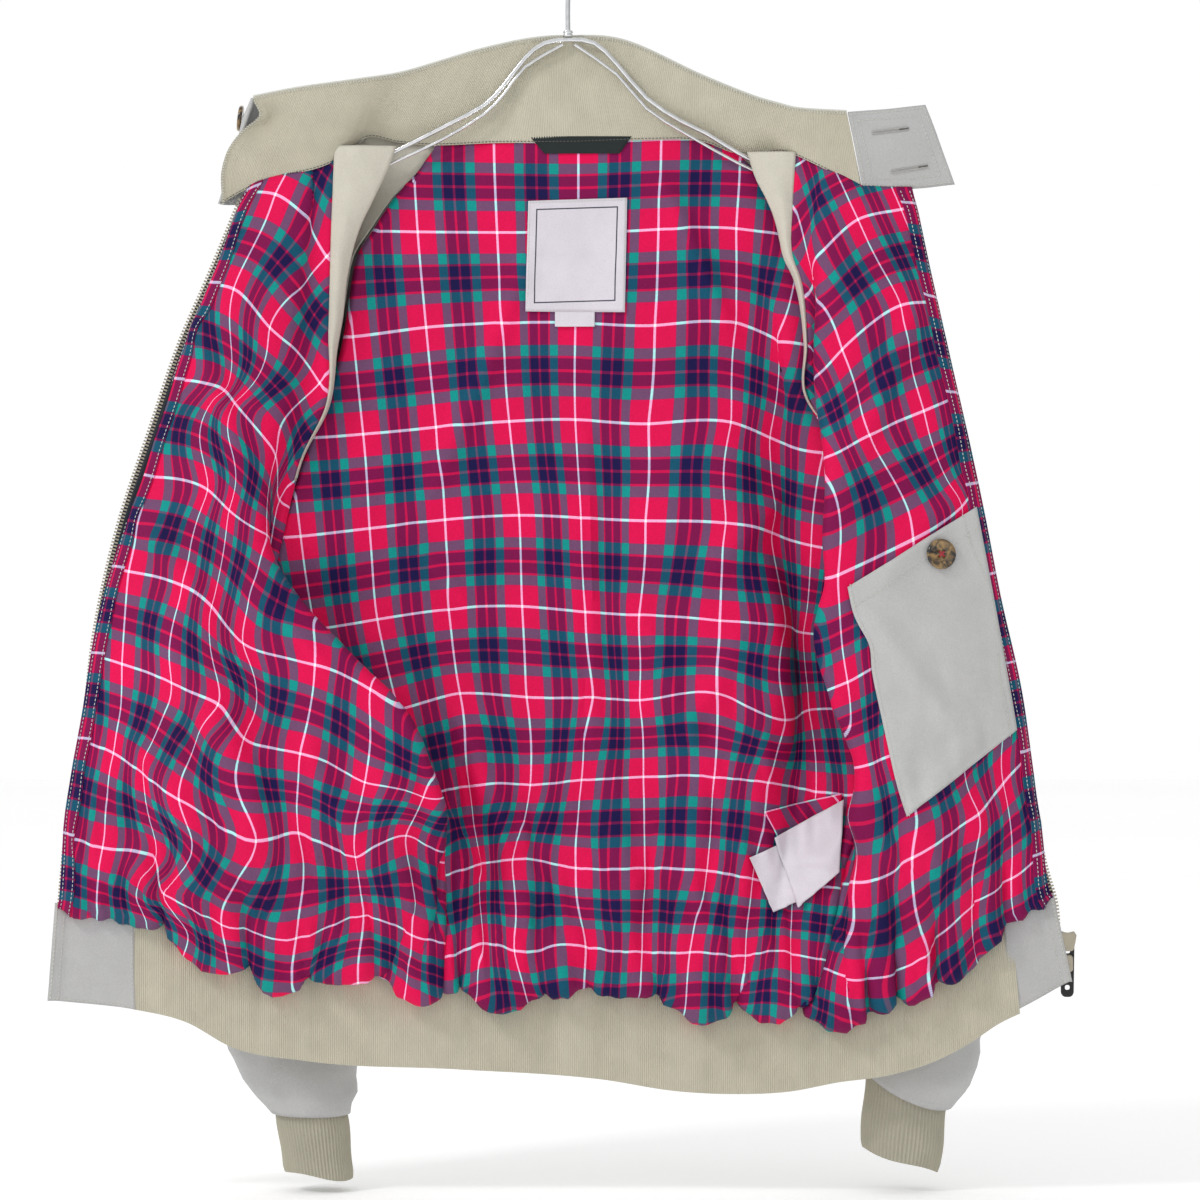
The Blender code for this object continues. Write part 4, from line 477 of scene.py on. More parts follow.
PULL_RIDGE = (3.4, 14.0, 1.6, 17.0, 0.5)     # inset, height, corner, drop below the hinge, rise
BUTTON_SIDES, HOLE_SIDES, HOLE_PLACE, HOLE_RADIUS = 48, 12, 1.55, 0.85
THREAD_FROM, THREAD_TO, THREAD_CROSS, THREAD_APART = 2.2, 0.55, 0.12, 0.28
ARMHOLE_CELLS, ARMHOLE_POINTS, ARMHOLE_WALL, ARMHOLE_TUCK = (16, 90), 80, 0.9, 0.8
ARMHOLE_DEPTH, ARMHOLE_WAVE = (3.6, 2.6, 3.0), (0.8, 34.0)   # set back, bulge, lean; wave's height, length

MATERIALS, SURFACES = {}, {}


# ---------------------------------------------------------------- tools
def smooth(table, at):
    """Smooth curve through the rows of a table, whose first column is the place along it."""
    rows = np.asarray(table, float)
    knots, values = rows[:, 0], rows[:, 1:]
    slopes = np.gradient(values, knots, axis=0)
    at = np.clip(np.atleast_1d(np.asarray(at, float)), knots[0], knots[-1])
    cell = np.clip(np.searchsorted(knots, at, side="right") - 1, 0, len(knots) - 2)
    width = (knots[cell + 1] - knots[cell])[:, None]
    t = (at - knots[cell])[:, None] / width
    start, end = values[cell], values[cell + 1]
    return (start * (2 * t ** 3 - 3 * t ** 2 + 1) + slopes[cell] * width * (t ** 3 - 2 * t ** 2 + t)
            + end * (3 * t ** 2 - 2 * t ** 3) + slopes[cell + 1] * width * (t ** 3 - t ** 2))


def across_lines(lines, spread, columns, rows):
    """Surface through lengthwise lines: grid of columns by rows of (across, drop, depth)."""
    sampled = np.array([smooth(line, rows) for line in lines])
    flat = sampled.reshape(len(lines), -1)
    table = np.column_stack([spread, flat])
    return smooth(table, columns).reshape(len(columns), len(rows), 3)


def ease(t):
    t = np.clip(t, 0.0, 1.0)
    return t * t * (3 - 2 * t)


def to_world(grid):
    """Turn (across, drop, depth) in millimetres into metres with Z up."""
    return np.stack([grid[..., 0], grid[..., 2], -(NECK_DROP + grid[..., 1])], axis=-1) * MM


def outward(grid):
    """Unit normals of a grid, pointing to the outside of the garment."""
    along = np.gradient(grid, axis=0)
    down = np.gradient(grid, axis=1)
    normal = np.cross(along, down)
    length = np.linalg.norm(normal, axis=-1, keepdims=True)
    return normal / np.maximum(length, 1e-12)


# ---------------------------------------------------------------- body
def fold_depth(across, drop, folds):
    """Depth that a table of folds adds at a place."""
    total = np.zeros_like(across)
    for x0, d0, x1, d1, half_width, height in folds:
        run = np.array([x1 - x0, d1 - d0], float)
        share = ((across - x0) * run[0] + (drop - d0) * run[1]) / (run @ run)
        away = np.hypot(across - x0 - share * run[0], drop - d0 - share * run[1])
        fade = (ease((share - FOLD_START[0]) / FOLD_START[1])
                * ease((FOLD_END[0] - share) / FOLD_END[1]))
        total += height * np.exp(-(away / half_width) ** 2) * fade
    return total


def neck_seam(across):
    """Drop and depth of the collar's lower edge."""
    edge = [row[:3] for row in COLLAR + COLLAR_TAB]
    dense = smooth([(k, *row) for k, row in enumerate(edge)], np.linspace(0, len(edge) - 1, SEAM_POINTS))
    return np.column_stack([np.interp(across, dense[:, 0], dense[:, k]) for k in (1, 2)])


def meet_collar(grid, rows):
    """Bring the top of a piece to the neck seam."""
    seam = neck_seam(grid[:, 0, 0])
    fade = (1 - rows)[None, :] ** NECK_FADE
    grid[..., 1] += (seam[:, 0] + NECK_GAP - grid[:, 0, 1])[:, None] * fade
    return grid


def hem_outline(across):
    """Drop of the lining's lower outline, with a belly between each two clefts."""
    clefts = np.array(HEM_PUFFS, float)
    line = np.interp(across, clefts[:, 0], clefts[:, 1])
    cell = np.clip(np.searchsorted(clefts[:, 0], across, side="right") - 1, 0, len(clefts) - 2)
    share = (across - clefts[cell, 0]) / (clefts[cell + 1, 0] - clefts[cell, 0])
    inside = (share >= 0) & (share <= 1)
    belly = np.where(inside, np.sin(np.pi * np.clip(share, 0, 1)), 0.0)
    middle = 0.5 * (clefts[cell, 1] + clefts[cell + 1, 1])
    return line + (clefts[cell, 2] - middle) * belly, belly


def puff(grid, rows, inside):
    """Let the cloth puff over the waistband, inside for the lining and outside for the shell."""
    grid = grid.copy()
    band = smooth([(row[0], row[1], row[3]) for row in WAISTBAND], grid[:, -1, 0])
    seam, band_depth = band[:, 0], band[:, 1]
    across = grid[:, -1, 0]
    clear = (ease((across - PUFF_SPAN[0]) / PUFF_FADE[0])
             * ease((PUFF_SPAN[1] - across) / PUFF_FADE[1]))
    if inside:
        outline, belly = hem_outline(across)
        overhang = np.maximum(outline - seam, 0.0) * clear + PUFF_LEAST
        bulge = -PUFF_DEPTH * (CLEFT_SHARE + (1 - CLEFT_SHARE) * belly) * clear - PUFF_REST
    else:
        wave = 0.5 - 0.5 * np.cos(2 * np.pi * (across - PUFF_SPAN[0]) / GATHER_PITCH)
        overhang = SHELL_PUFF * (0.5 + 0.5 * wave) * clear + PUFF_LEAST
        bulge = SHELL_PUFF_DEPTH * (0.5 + 0.5 * wave) * clear + PUFF_REST
    wall = LINING_OUT if inside else SHELL_IN + SHELL_WALL
    stand_off = (-1 if inside else 1) * (RIB_WALL / 2 + wall + 2 * SEAM_GAP)
    start = np.array([np.interp(PUFF_START, rows, line) for line in grid[..., 1]])
    share = np.clip((rows - PUFF_START) / (1 - PUFF_START), 0, 1)
    for j, s in enumerate(share):
        if s <= 0:
            continue
        hang = np.sin(0.5 * np.pi * min(s / PUFF_TURN, 1.0))
        tuck = max(0.0, (s - PUFF_TURN) / (1 - PUFF_TURN)) ** 2
        grid[:, j, 1] = start + (seam + overhang - start) * hang - tuck * (overhang * TUCK_SHARE + TUCK_LEAST)
        near = float(ease(s / PUFF_LEAVES))
        grid[:, j, 2] = (grid[:, j, 2] * (1 - near) + (band_depth + stand_off) * near
                         + bulge * math.sin(math.pi * s ** PUFF_LATE))
    return grid


def side_line(raglan, side, depth_sign):
    """Edge of a panel: the raglan seam, then the side seam."""
    return raglan + tuple((share, across, drop, depth + depth_sign * SIDE_APART)
                          for share, across, drop, depth in side)


def turn_line(edge, inwards, depth_sign, turn_from=UNDERARM):
    """Line beside a panel's edge, which lets the cloth turn round below the underarm."""
    made = []
    for share in np.linspace(0, 1, TURN_POINTS):
        across, drop, depth = smooth(edge, share)[0]
        turned = float(ease((share - turn_from) / TURN_RISE) * ease((TURN_END - share) / TURN_FALL))
        aside = (1 - turned) * depth_sign * BESIDE_EDGE + turned * SIDE_TURN[0]
        made.append((share, across + inwards * aside, drop, depth + turned * depth_sign * SIDE_TURN[1]))
    return tuple(made)


FRONT_SIDE_RIGHT = side_line(RAGLAN_FRONT_RIGHT, SIDE_RIGHT, -1)
FRONT_SIDE_LEFT = side_line(RAGLAN_FRONT_LEFT, SIDE_LEFT, -1)
BACK_SIDE_RIGHT = side_line(RAGLAN_BACK_RIGHT, SIDE_RIGHT, 1)
BACK_SIDE_LEFT = side_line(RAGLAN_BACK_LEFT, SIDE_LEFT, 1)
PANELS = {
    "front_right": (ZIP_EDGE_RIGHT, WING_RIGHT, FOLD_RIGHT, turn_line(FRONT_SIDE_RIGHT, 1, -1),
                    FRONT_SIDE_RIGHT),
    "back": (BACK_SIDE_RIGHT, turn_line(BACK_SIDE_RIGHT, 1, 1), BACK_QUARTER_RIGHT, BACK_CENTRE,
             BACK_QUARTER_LEFT, BACK_VALLEY_LEFT, turn_line(BACK_SIDE_LEFT, -1, 1), BACK_SIDE_LEFT),
    "front_left": (FRONT_SIDE_LEFT, turn_line(FRONT_SIDE_LEFT, -1, -1, LEFT_TURN_FROM), FOLD_LEFT,
                   WING_LEFT, ZIP_EDGE_LEFT)}


def moved(line, across):
    """A lengthwise line moved sideways."""
    return tuple((row[0], row[1] + across, *row[2:]) for row in line)


# ---------------------------------------------------------------- sleeves
def sleeve_grid(rings, front_seam, back_seam, turn, around, along):
    """Surface of a sleeve from its front raglan seam round the arm to its back raglan seam."""
    ring = smooth(rings, along)
    gap = np.radians(ring[:, 5])
    centre = np.radians(ring[:, 6])
    pulled = ease((SLEEVE_FREE - along) / (SLEEVE_FREE - SLEEVE_UNDERARM))[:, None]
    reached = np.minimum(along, SLEEVE_UNDERARM) * UNDERARM / SLEEVE_UNDERARM
    closed = ease((along / SLEEVE_UNDERARM - SLEEVE_CLOSES) / (1 - SLEEVE_CLOSES)) * SLEEVE_CLOSE
    front, back = smooth(front_seam, reached), smooth(back_seam, reached)
    front[:, 0] -= turn * (SLEEVE_LAP[0] + closed)
    back[:, 0] -= turn * SLEEVE_LAP[0]
    for edge in (front, back):
        edge[:, 2] += SLEEVE_LAP[1]
        edge[along > SLEEVE_UNDERARM, 1] = ring[along > SLEEVE_UNDERARM, 1]

    def ring_point(share):
        angle = centre - gap / 2 - share * (2 * np.pi - gap)
        x = ring[:, 0] + turn * ring[:, 3] * np.cos(angle)
        drop = (ring[:, 1] + ring[:, 7] * (x - ring[:, 0])
                + ring[:, 8] * np.maximum(0, -np.sin(angle)))
        return np.column_stack([x, drop, ring[:, 2] + ring[:, 4] * np.sin(angle)])

    columns = []
    for share in around:
        first = pulled * max(0.0, 1 - share / SEAM_REACH[0]) ** SEAM_PULL
        last = pulled * max(0.0, 1 - (1 - share) / SEAM_REACH[1]) ** SEAM_PULL
        columns.append(ring_point(share) + (front - ring_point(0.0)) * first
                       + (back - ring_point(1.0)) * last)
    return np.array(columns)


# ---------------------------------------------------------------- waistband and collar
def band_grid(across, shares):
    rows = smooth(WAISTBAND, across)
    seam, lower, depth = rows[:, 0], rows[:, 1], rows[:, 2]
    drop = seam[:, None] + (lower - seam)[:, None] * shares[None, :]
    return np.stack([np.broadcast_to(across[:, None], drop.shape), drop,
                     np.broadcast_to(depth[:, None], drop.shape)], axis=-1)


def collar_grid(rows, columns, shares, bow):
    table = [(k, *row) for k, row in enumerate(rows)]
    both = smooth(table, np.linspace(0, len(rows) - 1, columns))
    lower, upper = both[:, None, 0:3], both[:, None, 3:6]
    grid = upper + (lower - upper) * shares[None, :, None]
    grid[..., 2] -= bow * np.sin(np.pi * shares)[None, :]
    return grid


# ---------------------------------------------------------------- cloth as it is laid out
def finer(values, steps):
    """The same run of values with more of them between each two."""
    old = np.arange(len(values))
    return np.interp(np.linspace(0, old[-1], steps * old[-1] + 1), old, values)


def run_length(grid, axis):
    """Length along one direction of a grid, from its first row or column."""
    steps = np.linalg.norm(np.diff(grid, axis=axis), axis=-1)
    start = np.zeros_like(np.take(steps, [0], axis))
    return np.concatenate([start, np.cumsum(steps, axis=axis)], axis=axis)


def laid_out(grid, fold_column, hem_row):
    """Across and drop as if a panel lay flat: past its fold and below the hem row by their length."""
    along, down = run_length(grid, 0), run_length(grid, 1)
    across, drop = grid[..., 0].copy(), grid[..., 1].copy()
    drop[:, hem_row:] = drop[:, [hem_row]] + down[:, hem_row:] - down[:, [hem_row]]
    first, last = fold_column
    if last is not None:
        across[last:] = across[[last]] + along[last:] - along[[last]]
    if first is not None:
        across[:first] = across[[first]] + along[:first] - along[[first]]
    return np.stack([across, drop], axis=-1)


def check_places(crossings, laid, first_line=0):
    """Number of the warp and of the weft line at each place, smooth through a table of crossings."""
    known, value = [], []
    for weft, row in enumerate(crossings):
        for warp, place in enumerate(row):
            known.append(place)
            value.append((warp + first_line, weft))
    known, value = np.array(known, float) / CHECK_UNIT, np.array(value, float)
    places = laid.reshape(-1, 2) / CHECK_UNIT

    def bending(a, b):
        square = ((a[:, None] - b[None]) ** 2).sum(axis=-1)
        return 0.5 * square * np.log(square + 1e-12)

    count = len(known)
    system = np.zeros((count + 3, count + 3))
    system[:count, :count] = bending(known, known) + CHECK_EASE * np.eye(count)
    system[:count, count:] = np.column_stack([np.ones(count), known])
    system[count:, :count] = system[:count, count:].T
    weights = np.linalg.solve(system, np.vstack([value, np.zeros((3, 2))]))
    flat = np.column_stack([np.ones(len(places)), places])
    return (bending(places, known) @ weights[:count] + flat @ weights[count:]).reshape(laid.shape)


def ripple(across, drop, size, seed):
    """Soft uneven waves from minus one to one, the same on each run."""
    total = np.zeros_like(across)
    for k, (lean, stretch) in enumerate(RIPPLE_WAVES):
        wave = 2 * math.pi / (size * stretch)
        phase = seed * RIPPLE_PHASES[0] + k * RIPPLE_PHASES[1]
        total += np.sin(wave * (across * math.cos(lean) + drop * math.sin(lean)) + phase)
    return total / len(RIPPLE_WAVES)


def edge_fade(shape, width):
    """One inside a grid, easing to zero at its borders."""
    fades = []
    for count in shape:
        at = np.arange(count)
        fades.append(ease(np.minimum(at, count - 1 - at) / width))
    return fades[0][:, None] * fades[1][None, :]


def creased(grid, creases, seed):
    """Bring a lining panel's creases out of its surface, towards the inside."""
    across, drop = grid[..., 0], grid[..., 1]
    height = LINING_REST + sizes().ripple / MM * ripple(across, drop, RIPPLE_SIZE, seed)
    height += CREASE_GAIN * fold_depth(across, drop, creases)
    low = ease((drop - DRAWN_FROM) / DRAWN_OVER)
    drawn = ripple(across * DRAWN_STRETCH[0], drop * DRAWN_STRETCH[1], RIPPLE_SIZE, seed + 4)
    height += DRAWN_HEIGHT * low * (1 - 2 * np.abs(drawn))
    for place, start, _ in HEM_PUFFS:
        away = np.abs(across - place + CLEFT_LEAN * (start - drop))
        rise = ease((drop - start + CLEFT_RISE) / CLEFT_RISE)
        height -= CLEFT_DEPTH * np.exp(-(away / CLEFT_WIDTH) ** 2) * rise
    height = np.maximum(height, 0.0) * edge_fade(grid.shape[:2], EDGE_CELLS)
    return grid - outward(grid) * height[..., None]


# ---------------------------------------------------------------- pieces
def sizes():
    return bpy.context.scene.harrington_sizes


def linked(name, data):
    """A new object in the scene."""
    made = bpy.data.objects.new(name, data)
    bpy.context.scene.collection.objects.link(made)
    return made


def make_object(name, mesh, finish):
    mesh.materials.append(MATERIALS[finish])
    mesh.shade_smooth()
    mesh.set_sharp_from_angle(angle=math.radians(SHARP_ANGLE))
    made = linked(name, mesh)
    return made


def kept(made, body, node=None):
    """Let a finished piece ride on its body and stand for its node."""
    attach(made, body)
    if node:
        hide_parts(node)
    return made


def grid_object(name, grid, finish, laid, tube_from=None):
    """One layer of cloth with its pattern places as a UV map, seams closed from row tube_from."""
    columns, rows = grid.shape[:2]
    index = np.arange(columns * rows).reshape(columns, rows)
    if tube_from is not None:
        index[-1, tube_from:] = index[0, tube_from:]
    used, flat = np.unique(index, return_inverse=True)
    index = flat.reshape(columns, rows)
    points = to_world(grid).reshape(-1, 3)[used]
    corners = np.stack([index[:-1, :-1], index[1:, :-1], index[1:, 1:], index[:-1, 1:]], axis=-1)
    places = np.stack([laid[:-1, :-1], laid[1:, :-1], laid[1:, 1:], laid[:-1, 1:]], axis=2)
    mesh = bpy.data.meshes.new(name)
    mesh.from_pydata(points.tolist(), [], corners.reshape(-1, 4).tolist())
    layer = mesh.uv_layers.new(name=CLOTH_UV)
    layer.data.foreach_set("uv", places.reshape(-1).astype(np.float32))
    return make_object(name, mesh, finish)


def moved_out(grid, distance, tube_from=None):
    normal = outward(grid)
    if tube_from is not None:
        both = normal[0, tube_from:] + normal[-1, tube_from:]
        both /= np.linalg.norm(both, axis=-1, keepdims=True)
        normal[0, tube_from:] = normal[-1, tube_from:] = both
    return grid + normal * distance


def declare(grid):
    """Work out a piece of cloth's length along and across; nothing is done with them."""
    along, down = run_length(grid, 0)[-1].max() * MM, run_length(grid, 1)[:, -1].max() * MM


def cloth(name, grid, start, wall, finish, node=None, laid=None, tube_from=None):
    """A wall of cloth, with its own length along and across as its flat size."""
    if laid is None:
        laid = np.stack([run_length(grid, 0), run_length(grid, 1)], axis=-1) * MM
    made = grid_object(name, moved_out(grid, start, tube_from), finish, laid, tube_from)
    solid = made.modifiers.new("wall", "SOLIDIFY")
    solid.thickness = wall * MM
    solid.offset = 1.0
    kept(made, "jacket", node)
    declare(grid)
    return made


def final_mesh(source):
    """The mesh that an object's curve or modifiers give."""
    bpy.context.view_layer.update()
    return bpy.data.meshes.new_from_object(source.evaluated_get(bpy.context.evaluated_depsgraph_get()))


def taken(source):
    """The final mesh of a helper object, which goes away."""
    mesh = final_mesh(source)
    bpy.data.objects.remove(source)
    mesh.materials.clear()
    return mesh


def curve_mesh(name, runs, bevel, roundness, extrude=None):
    """Round wires along runs of points in metres, or with an extrusion a flat plate of closed runs."""
    curve = bpy.data.curves.new(name, "CURVE")
    curve.bevel_depth, curve.bevel_resolution = bevel * MM, roundness
    if extrude is None:
        curve.dimensions, curve.use_fill_caps = "3D", True
    else:
        curve.dimensions, curve.fill_mode, curve.extrude = "2D", "BOTH", extrude * MM
    for run in runs:
        spline = curve.splines.new("POLY")
        spline.use_cyclic_u = extrude is not None
        spline.points.add(len(run) - 1)
        for point, place in zip(spline.points, run):
            point.co = (*place, 1.0)
    return taken(linked(name + "_run", curve))


def wire(name, points, radius, finish, node=None):
    """A round wire through points of (across, drop, depth)."""
    table = [(k, *p) for k, p in enumerate(points)]
    last = len(points) - 1
    route = to_world(smooth(table, np.linspace(0, last, WIRE_STEPS * last + 1)))
    mesh = curve_mesh(name, [route], radius, WIRE_ROUND)
    return kept(make_object(name, mesh, finish), "jacket", node)


# ---------------------------------------------------------------- repeats along a line
def add(tree, kind, inputs=None, **settings):
    """Add a node with its settings and its inputs, each a value or another node's output."""
    node = tree.nodes.new(kind)
    for key, value in settings.items():
        setattr(node, key, value)
    for key, value in (inputs or {}).items():
        if isinstance(value, bpy.types.NodeSocket):
            tree.links.new(value, node.inputs[key])
        else:
            node.inputs[key].default_value = value
    return node


def repeat_tree(name, tooth):
    """Geometry nodes that set a stitch, or a zip tooth, at even steps along a line."""
    tree = bpy.data.node_groups.new(name, "GeometryNodeTree")
    face = tree.interface
    face.new_socket("Line", in_out="INPUT", socket_type="NodeSocketGeometry")
    for label in ("Pitch", "Length", "Width", "Depth", "Slant"):
        face.new_socket(label, in_out="INPUT", socket_type="NodeSocketFloat")
    face.new_socket("Finish", in_out="INPUT", socket_type="NodeSocketMaterial")
    face.new_socket("Pieces", in_out="OUTPUT", socket_type="NodeSocketGeometry")
    start = add(tree, "NodeGroupInput").outputs
    size = add(tree, "ShaderNodeCombineXYZ", {"X": start["Length"], "Y": start["Depth"], "Z": start["Width"]})
    if tooth:
        shape = add(tree, "GeometryNodeMeshCube", {"Size": size.outputs[0]}).outputs["Mesh"]
    else:
        ball = add(tree, "GeometryNodeMeshUVSphere", {"Segments": 6, "Rings": 4, "Radius": 0.5})
        scaled = {"Geometry": ball.outputs["Mesh"], "Scale": size.outputs[0]}
        shape = add(tree, "GeometryNodeTransform", scaled).outputs["Geometry"]
    run = add(tree, "GeometryNodeMeshToCurve", {"Mesh": start["Line"]})
    even = add(tree, "GeometryNodeResampleCurve", {"Curve": run.outputs[0], "Length": start["Pitch"]},
               mode="LENGTH")
    tangent = add(tree, "GeometryNodeInputTangent")
    turn = add(tree, "FunctionNodeAlignRotationToVector", {"Vector": tangent.outputs[0]}, axis="X")
    placed = add(tree, "GeometryNodeInstanceOnPoints",
                 {"Points": even.outputs[0], "Instance": shape, "Rotation": turn.outputs[0]})
    lean = add(tree, "ShaderNodeCombineXYZ", {"Y": start["Slant"]})
    slanted = add(tree, "GeometryNodeRotateInstances",
                  {"Instances": placed.outputs[0], "Rotation": lean.outputs[0]})
    real = add(tree, "GeometryNodeRealizeInstances", {"Geometry": slanted.outputs[0]})
    done = add(tree, "GeometryNodeSetMaterial", {"Geometry": real.outputs[0], "Material": start["Finish"]})
    add(tree, "NodeGroupOutput", {"Pieces": done.outputs[0]})
    return tree


def repeats(name, tree_name, lines, finish, pitch, size, slant=0.0):
    """Stitches or teeth of a size (length, width, depth) along lines of (across, drop, depth)."""
    points, edges = [], []
    for line in lines:
        places = to_world(np.asarray(line, float))
        edges += [(len(points) + k, len(points) + k + 1) for k in range(len(places) - 1)]
        points += places.tolist()
    mesh = bpy.data.meshes.new(name + "_lines")
    mesh.from_pydata(points, edges, [])
    source = linked(name + "_lines", mesh)
    tree = bpy.data.node_groups[tree_name]
    nodes = source.modifiers.new("repeats", "NODES")
    nodes.node_group = tree
    values = {"Pitch": pitch * MM, "Length": size[0] * MM, "Width": size[1] * MM, "Depth": size[2] * MM,
              "Slant": math.radians(slant), "Finish": MATERIALS[finish]}
    for item in tree.interface.items_tree:
        if item.in_out == "INPUT" and item.name in values:
            nodes[item.identifier] = values[item.name]
    return kept(make_object(name, taken(source), finish), "jacket")


def stitches(name, lines, thread="pale_thread", pitch=None, size=STITCH, slant=0.0):
    """Stitches along lines, at the panel's own pitch unless another is given."""
    repeats(name, "stitches", lines, thread, pitch or sizes().stitch_pitch / MM, size, slant)


# ---------------------------------------------------------------- finishes
def maths(tree, operation, *values):
    """A sum, a product or the like of values and sockets."""
    return add(tree, "ShaderNodeMath", dict(enumerate(values)), operation=operation).outputs[0]


def mapped(tree, value, low, high, to_low, to_high):
    """A value's range turned into another range."""
    return add(tree, "ShaderNodeMapRange", {0: value, 1: low, 2: high, 3: to_low, 4: to_high}).outputs[0]


def noise(tree, scale, detail, distortion=0.0):
    """Noise from the place on the object."""
    place = add(tree, "ShaderNodeTexCoord").outputs["Object"]
    return add(tree, "ShaderNodeTexNoise",
               {"Vector": place, "Scale": scale, "Detail": detail, "Distortion": distortion}).outputs[0]


def cloth_places(tree):
    """The cloth's own laid-out place: across and down."""
    place = add(tree, "ShaderNodeUVMap", uv_map=CLOTH_UV).outputs[0]
    return add(tree, "ShaderNodeSeparateXYZ", {0: place}).outputs


def new_group(name, inputs, outputs):
    tree = bpy.data.node_groups.new(name, "ShaderNodeTree")
    for label, default in inputs:
        socket = tree.interface.new_socket(label, in_out="INPUT", socket_type="NodeSocketFloat")
        socket.default_value = default
    for label in outputs:
        tree.interface.new_socket(label, in_out="OUTPUT", socket_type="NodeSocketFloat")
    return tree, add(tree, "NodeGroupInput").outputs


def build_crumple():
    """Soft crumples, with painted shade in their hollows and painted light on their crests, and the uneven
    tone of the cloth's grain, from the place on the object.
    """
    tree, start = new_group("crumple", (("Size", 40.0), ("Grain", 900.0)), ("Height", "Tone"))
    soft, fine = noise(tree, start["Size"], 3.0), noise(tree, start["Grain"], 1.0)
    height = maths(tree, "MULTIPLY_ADD", fine, GRAIN_SHARE, soft)
    # the tone follows the crumples' height: painted shade in the hollows, painted light on the crests
    tone = maths(tree, "MULTIPLY", mapped(tree, soft, *NOISE_RANGE, *CRUMPLE_SHADE),
                 mapped(tree, fine, *NOISE_RANGE, *GRAIN_TONE))
    add(tree, "NodeGroupOutput", {"Height": height, "Tone": tone})


def build_twill():
    """Diagonal twill lines, from the cloth's own laid-out places."""
    tree, start = new_group("twill", (("Lines", 900.0),), ("Height",))
    parts = cloth_places(tree)
    turns = maths(tree, "MULTIPLY", maths(tree, "ADD", parts[0], parts[1]), start["Lines"])
    add(tree, "NodeGroupOutput", {"Height": maths(tree, "SINE", turns)})


def build_rib_lines():
    """Wales of rib knit, one to a unit across the cloth, with its courses."""
    tree, _ = new_group("rib_lines", (), ("Height", "Tone"))
    parts = cloth_places(tree)
    wave = maths(tree, "COSINE", maths(tree, "MULTIPLY", parts[0], 2 * math.pi))
    loop = maths(tree, "SINE", maths(tree, "MULTIPLY", parts[1], 2 * math.pi))
    height = maths(tree, "MULTIPLY_ADD", loop, COURSE_HEIGHT, wave)
    # painted shade in the grooves between the wales
    tone = mapped(tree, wave, *WALE_RANGE, RIB_SHADE, 1.0)
    add(tree, "NodeGroupOutput", {"Height": height, "Tone": tone})


def use_group(tree, name, inputs=None):
    node = add(tree, "ShaderNodeGroup", node_tree=bpy.data.node_groups[name])
    for key, value in (inputs or {}).items():
        node.inputs[key].default_value = value
    return node.outputs


def new_finish(name, roughness, metallic=0.0, **sockets):
    made = bpy.data.materials.new(name)
    made.use_nodes = True
    shader = made.node_tree.nodes["Principled BSDF"]
    shader.inputs["Roughness"].default_value = roughness
    shader.inputs["Metallic"].default_value = metallic
    for label, value in sockets.items():
        shader.inputs[label.replace("_", " ")].default_value = value
    MATERIALS[name] = made
    return made.node_tree, shader


def bump(tree, shader, height, distance, strength=1.0, below=None):
    """Raise the surface by a height in millimetres."""
    inputs = {"Height": height, "Distance": distance * MM, "Strength": strength}
    if below is not None:
        inputs["Normal"] = below
    node = add(tree, "ShaderNodeBump", inputs)
    tree.links.new(node.outputs[0], shader.inputs["Normal"])
    return node.outputs[0]


def paint(tree, shader, colour, *tones):
    """Give the surface a colour, a socket or three values, made darker or lighter by tones."""
    colour = colour if isinstance(colour, bpy.types.NodeSocket) else (*colour, 1.0)
    for tone in tones:
        colour = add(tree, "ShaderNodeMix", data_type="RGBA", blend_type="MULTIPLY",
                     inputs={0: 1.0, 6: colour, 7: tone}).outputs[2]
    tree.links.new(colour, shader.inputs["Base Color"])


def thread_ramp(tree, place, colours):
    """The check's thread colours along one direction, once to each whole number."""
    share = maths(tree, "FRACT", maths(tree, "ADD", place, 0.5 * SETT[0][1] / SETT_TOTAL))
    ramp = add(tree, "ShaderNodeValToRGB", {0: share})
    ramp.color_ramp.interpolation = "LINEAR"
    stops, at = [], 0.0
    for thread, width in SETT:
        stops += [(at + CHECK_BLUR, thread), (at + width / SETT_TOTAL - CHECK_BLUR, thread)]
        at += width / SETT_TOTAL
    elements = ramp.color_ramp.elements
    while len(elements) < len(stops):
        elements.new(1.0)
    for element, (position, _) in zip(elements, stops):
        element.position = position
    for element, (_, thread) in zip(elements, stops):
        element.color = (*colours[thread], 1.0)
    return ramp.outputs[0]


def check_finish(looks):
    """Checked twill: warp and weft threads side by side, with a light crumple."""
    tree, shader = new_finish("checked_lining", 0.7, Sheen_Weight=0.03, Specular_IOR_Level=0.2)
    colours = {thread: tuple(getattr(looks, thread)) for thread, _ in SETT}
    colours["white"] = tuple(WHITE_OVER * value for value in colours["white"])
    warp, weft = (thread_ramp(tree, part, colours) for part in cloth_places(tree)[:2])
    twill = use_group(tree, "twill", {"Lines": 2 * math.pi * TWILL_LINES})
    face = maths(tree, "MULTIPLY_ADD", twill["Height"], TWILL_MIX, 0.5)
    woven = add(tree, "ShaderNodeMix", {0: face, 6: warp, 7: weft}, data_type="RGBA", clamp_result=True)
    eye = add(tree, "ShaderNodeGamma", {"Color": woven.outputs[2], "Gamma": 2.2})
    crumple = use_group(tree, "crumple", {"Size": 28.0, "Grain": 700.0})
    paint(tree, shader, eye.outputs[0], crumple["Tone"])
    soft = bump(tree, shader, crumple["Height"], 3.0, 0.7)
    bump(tree, shader, twill["Height"], TWILL_DEPTH, 0.5, soft)


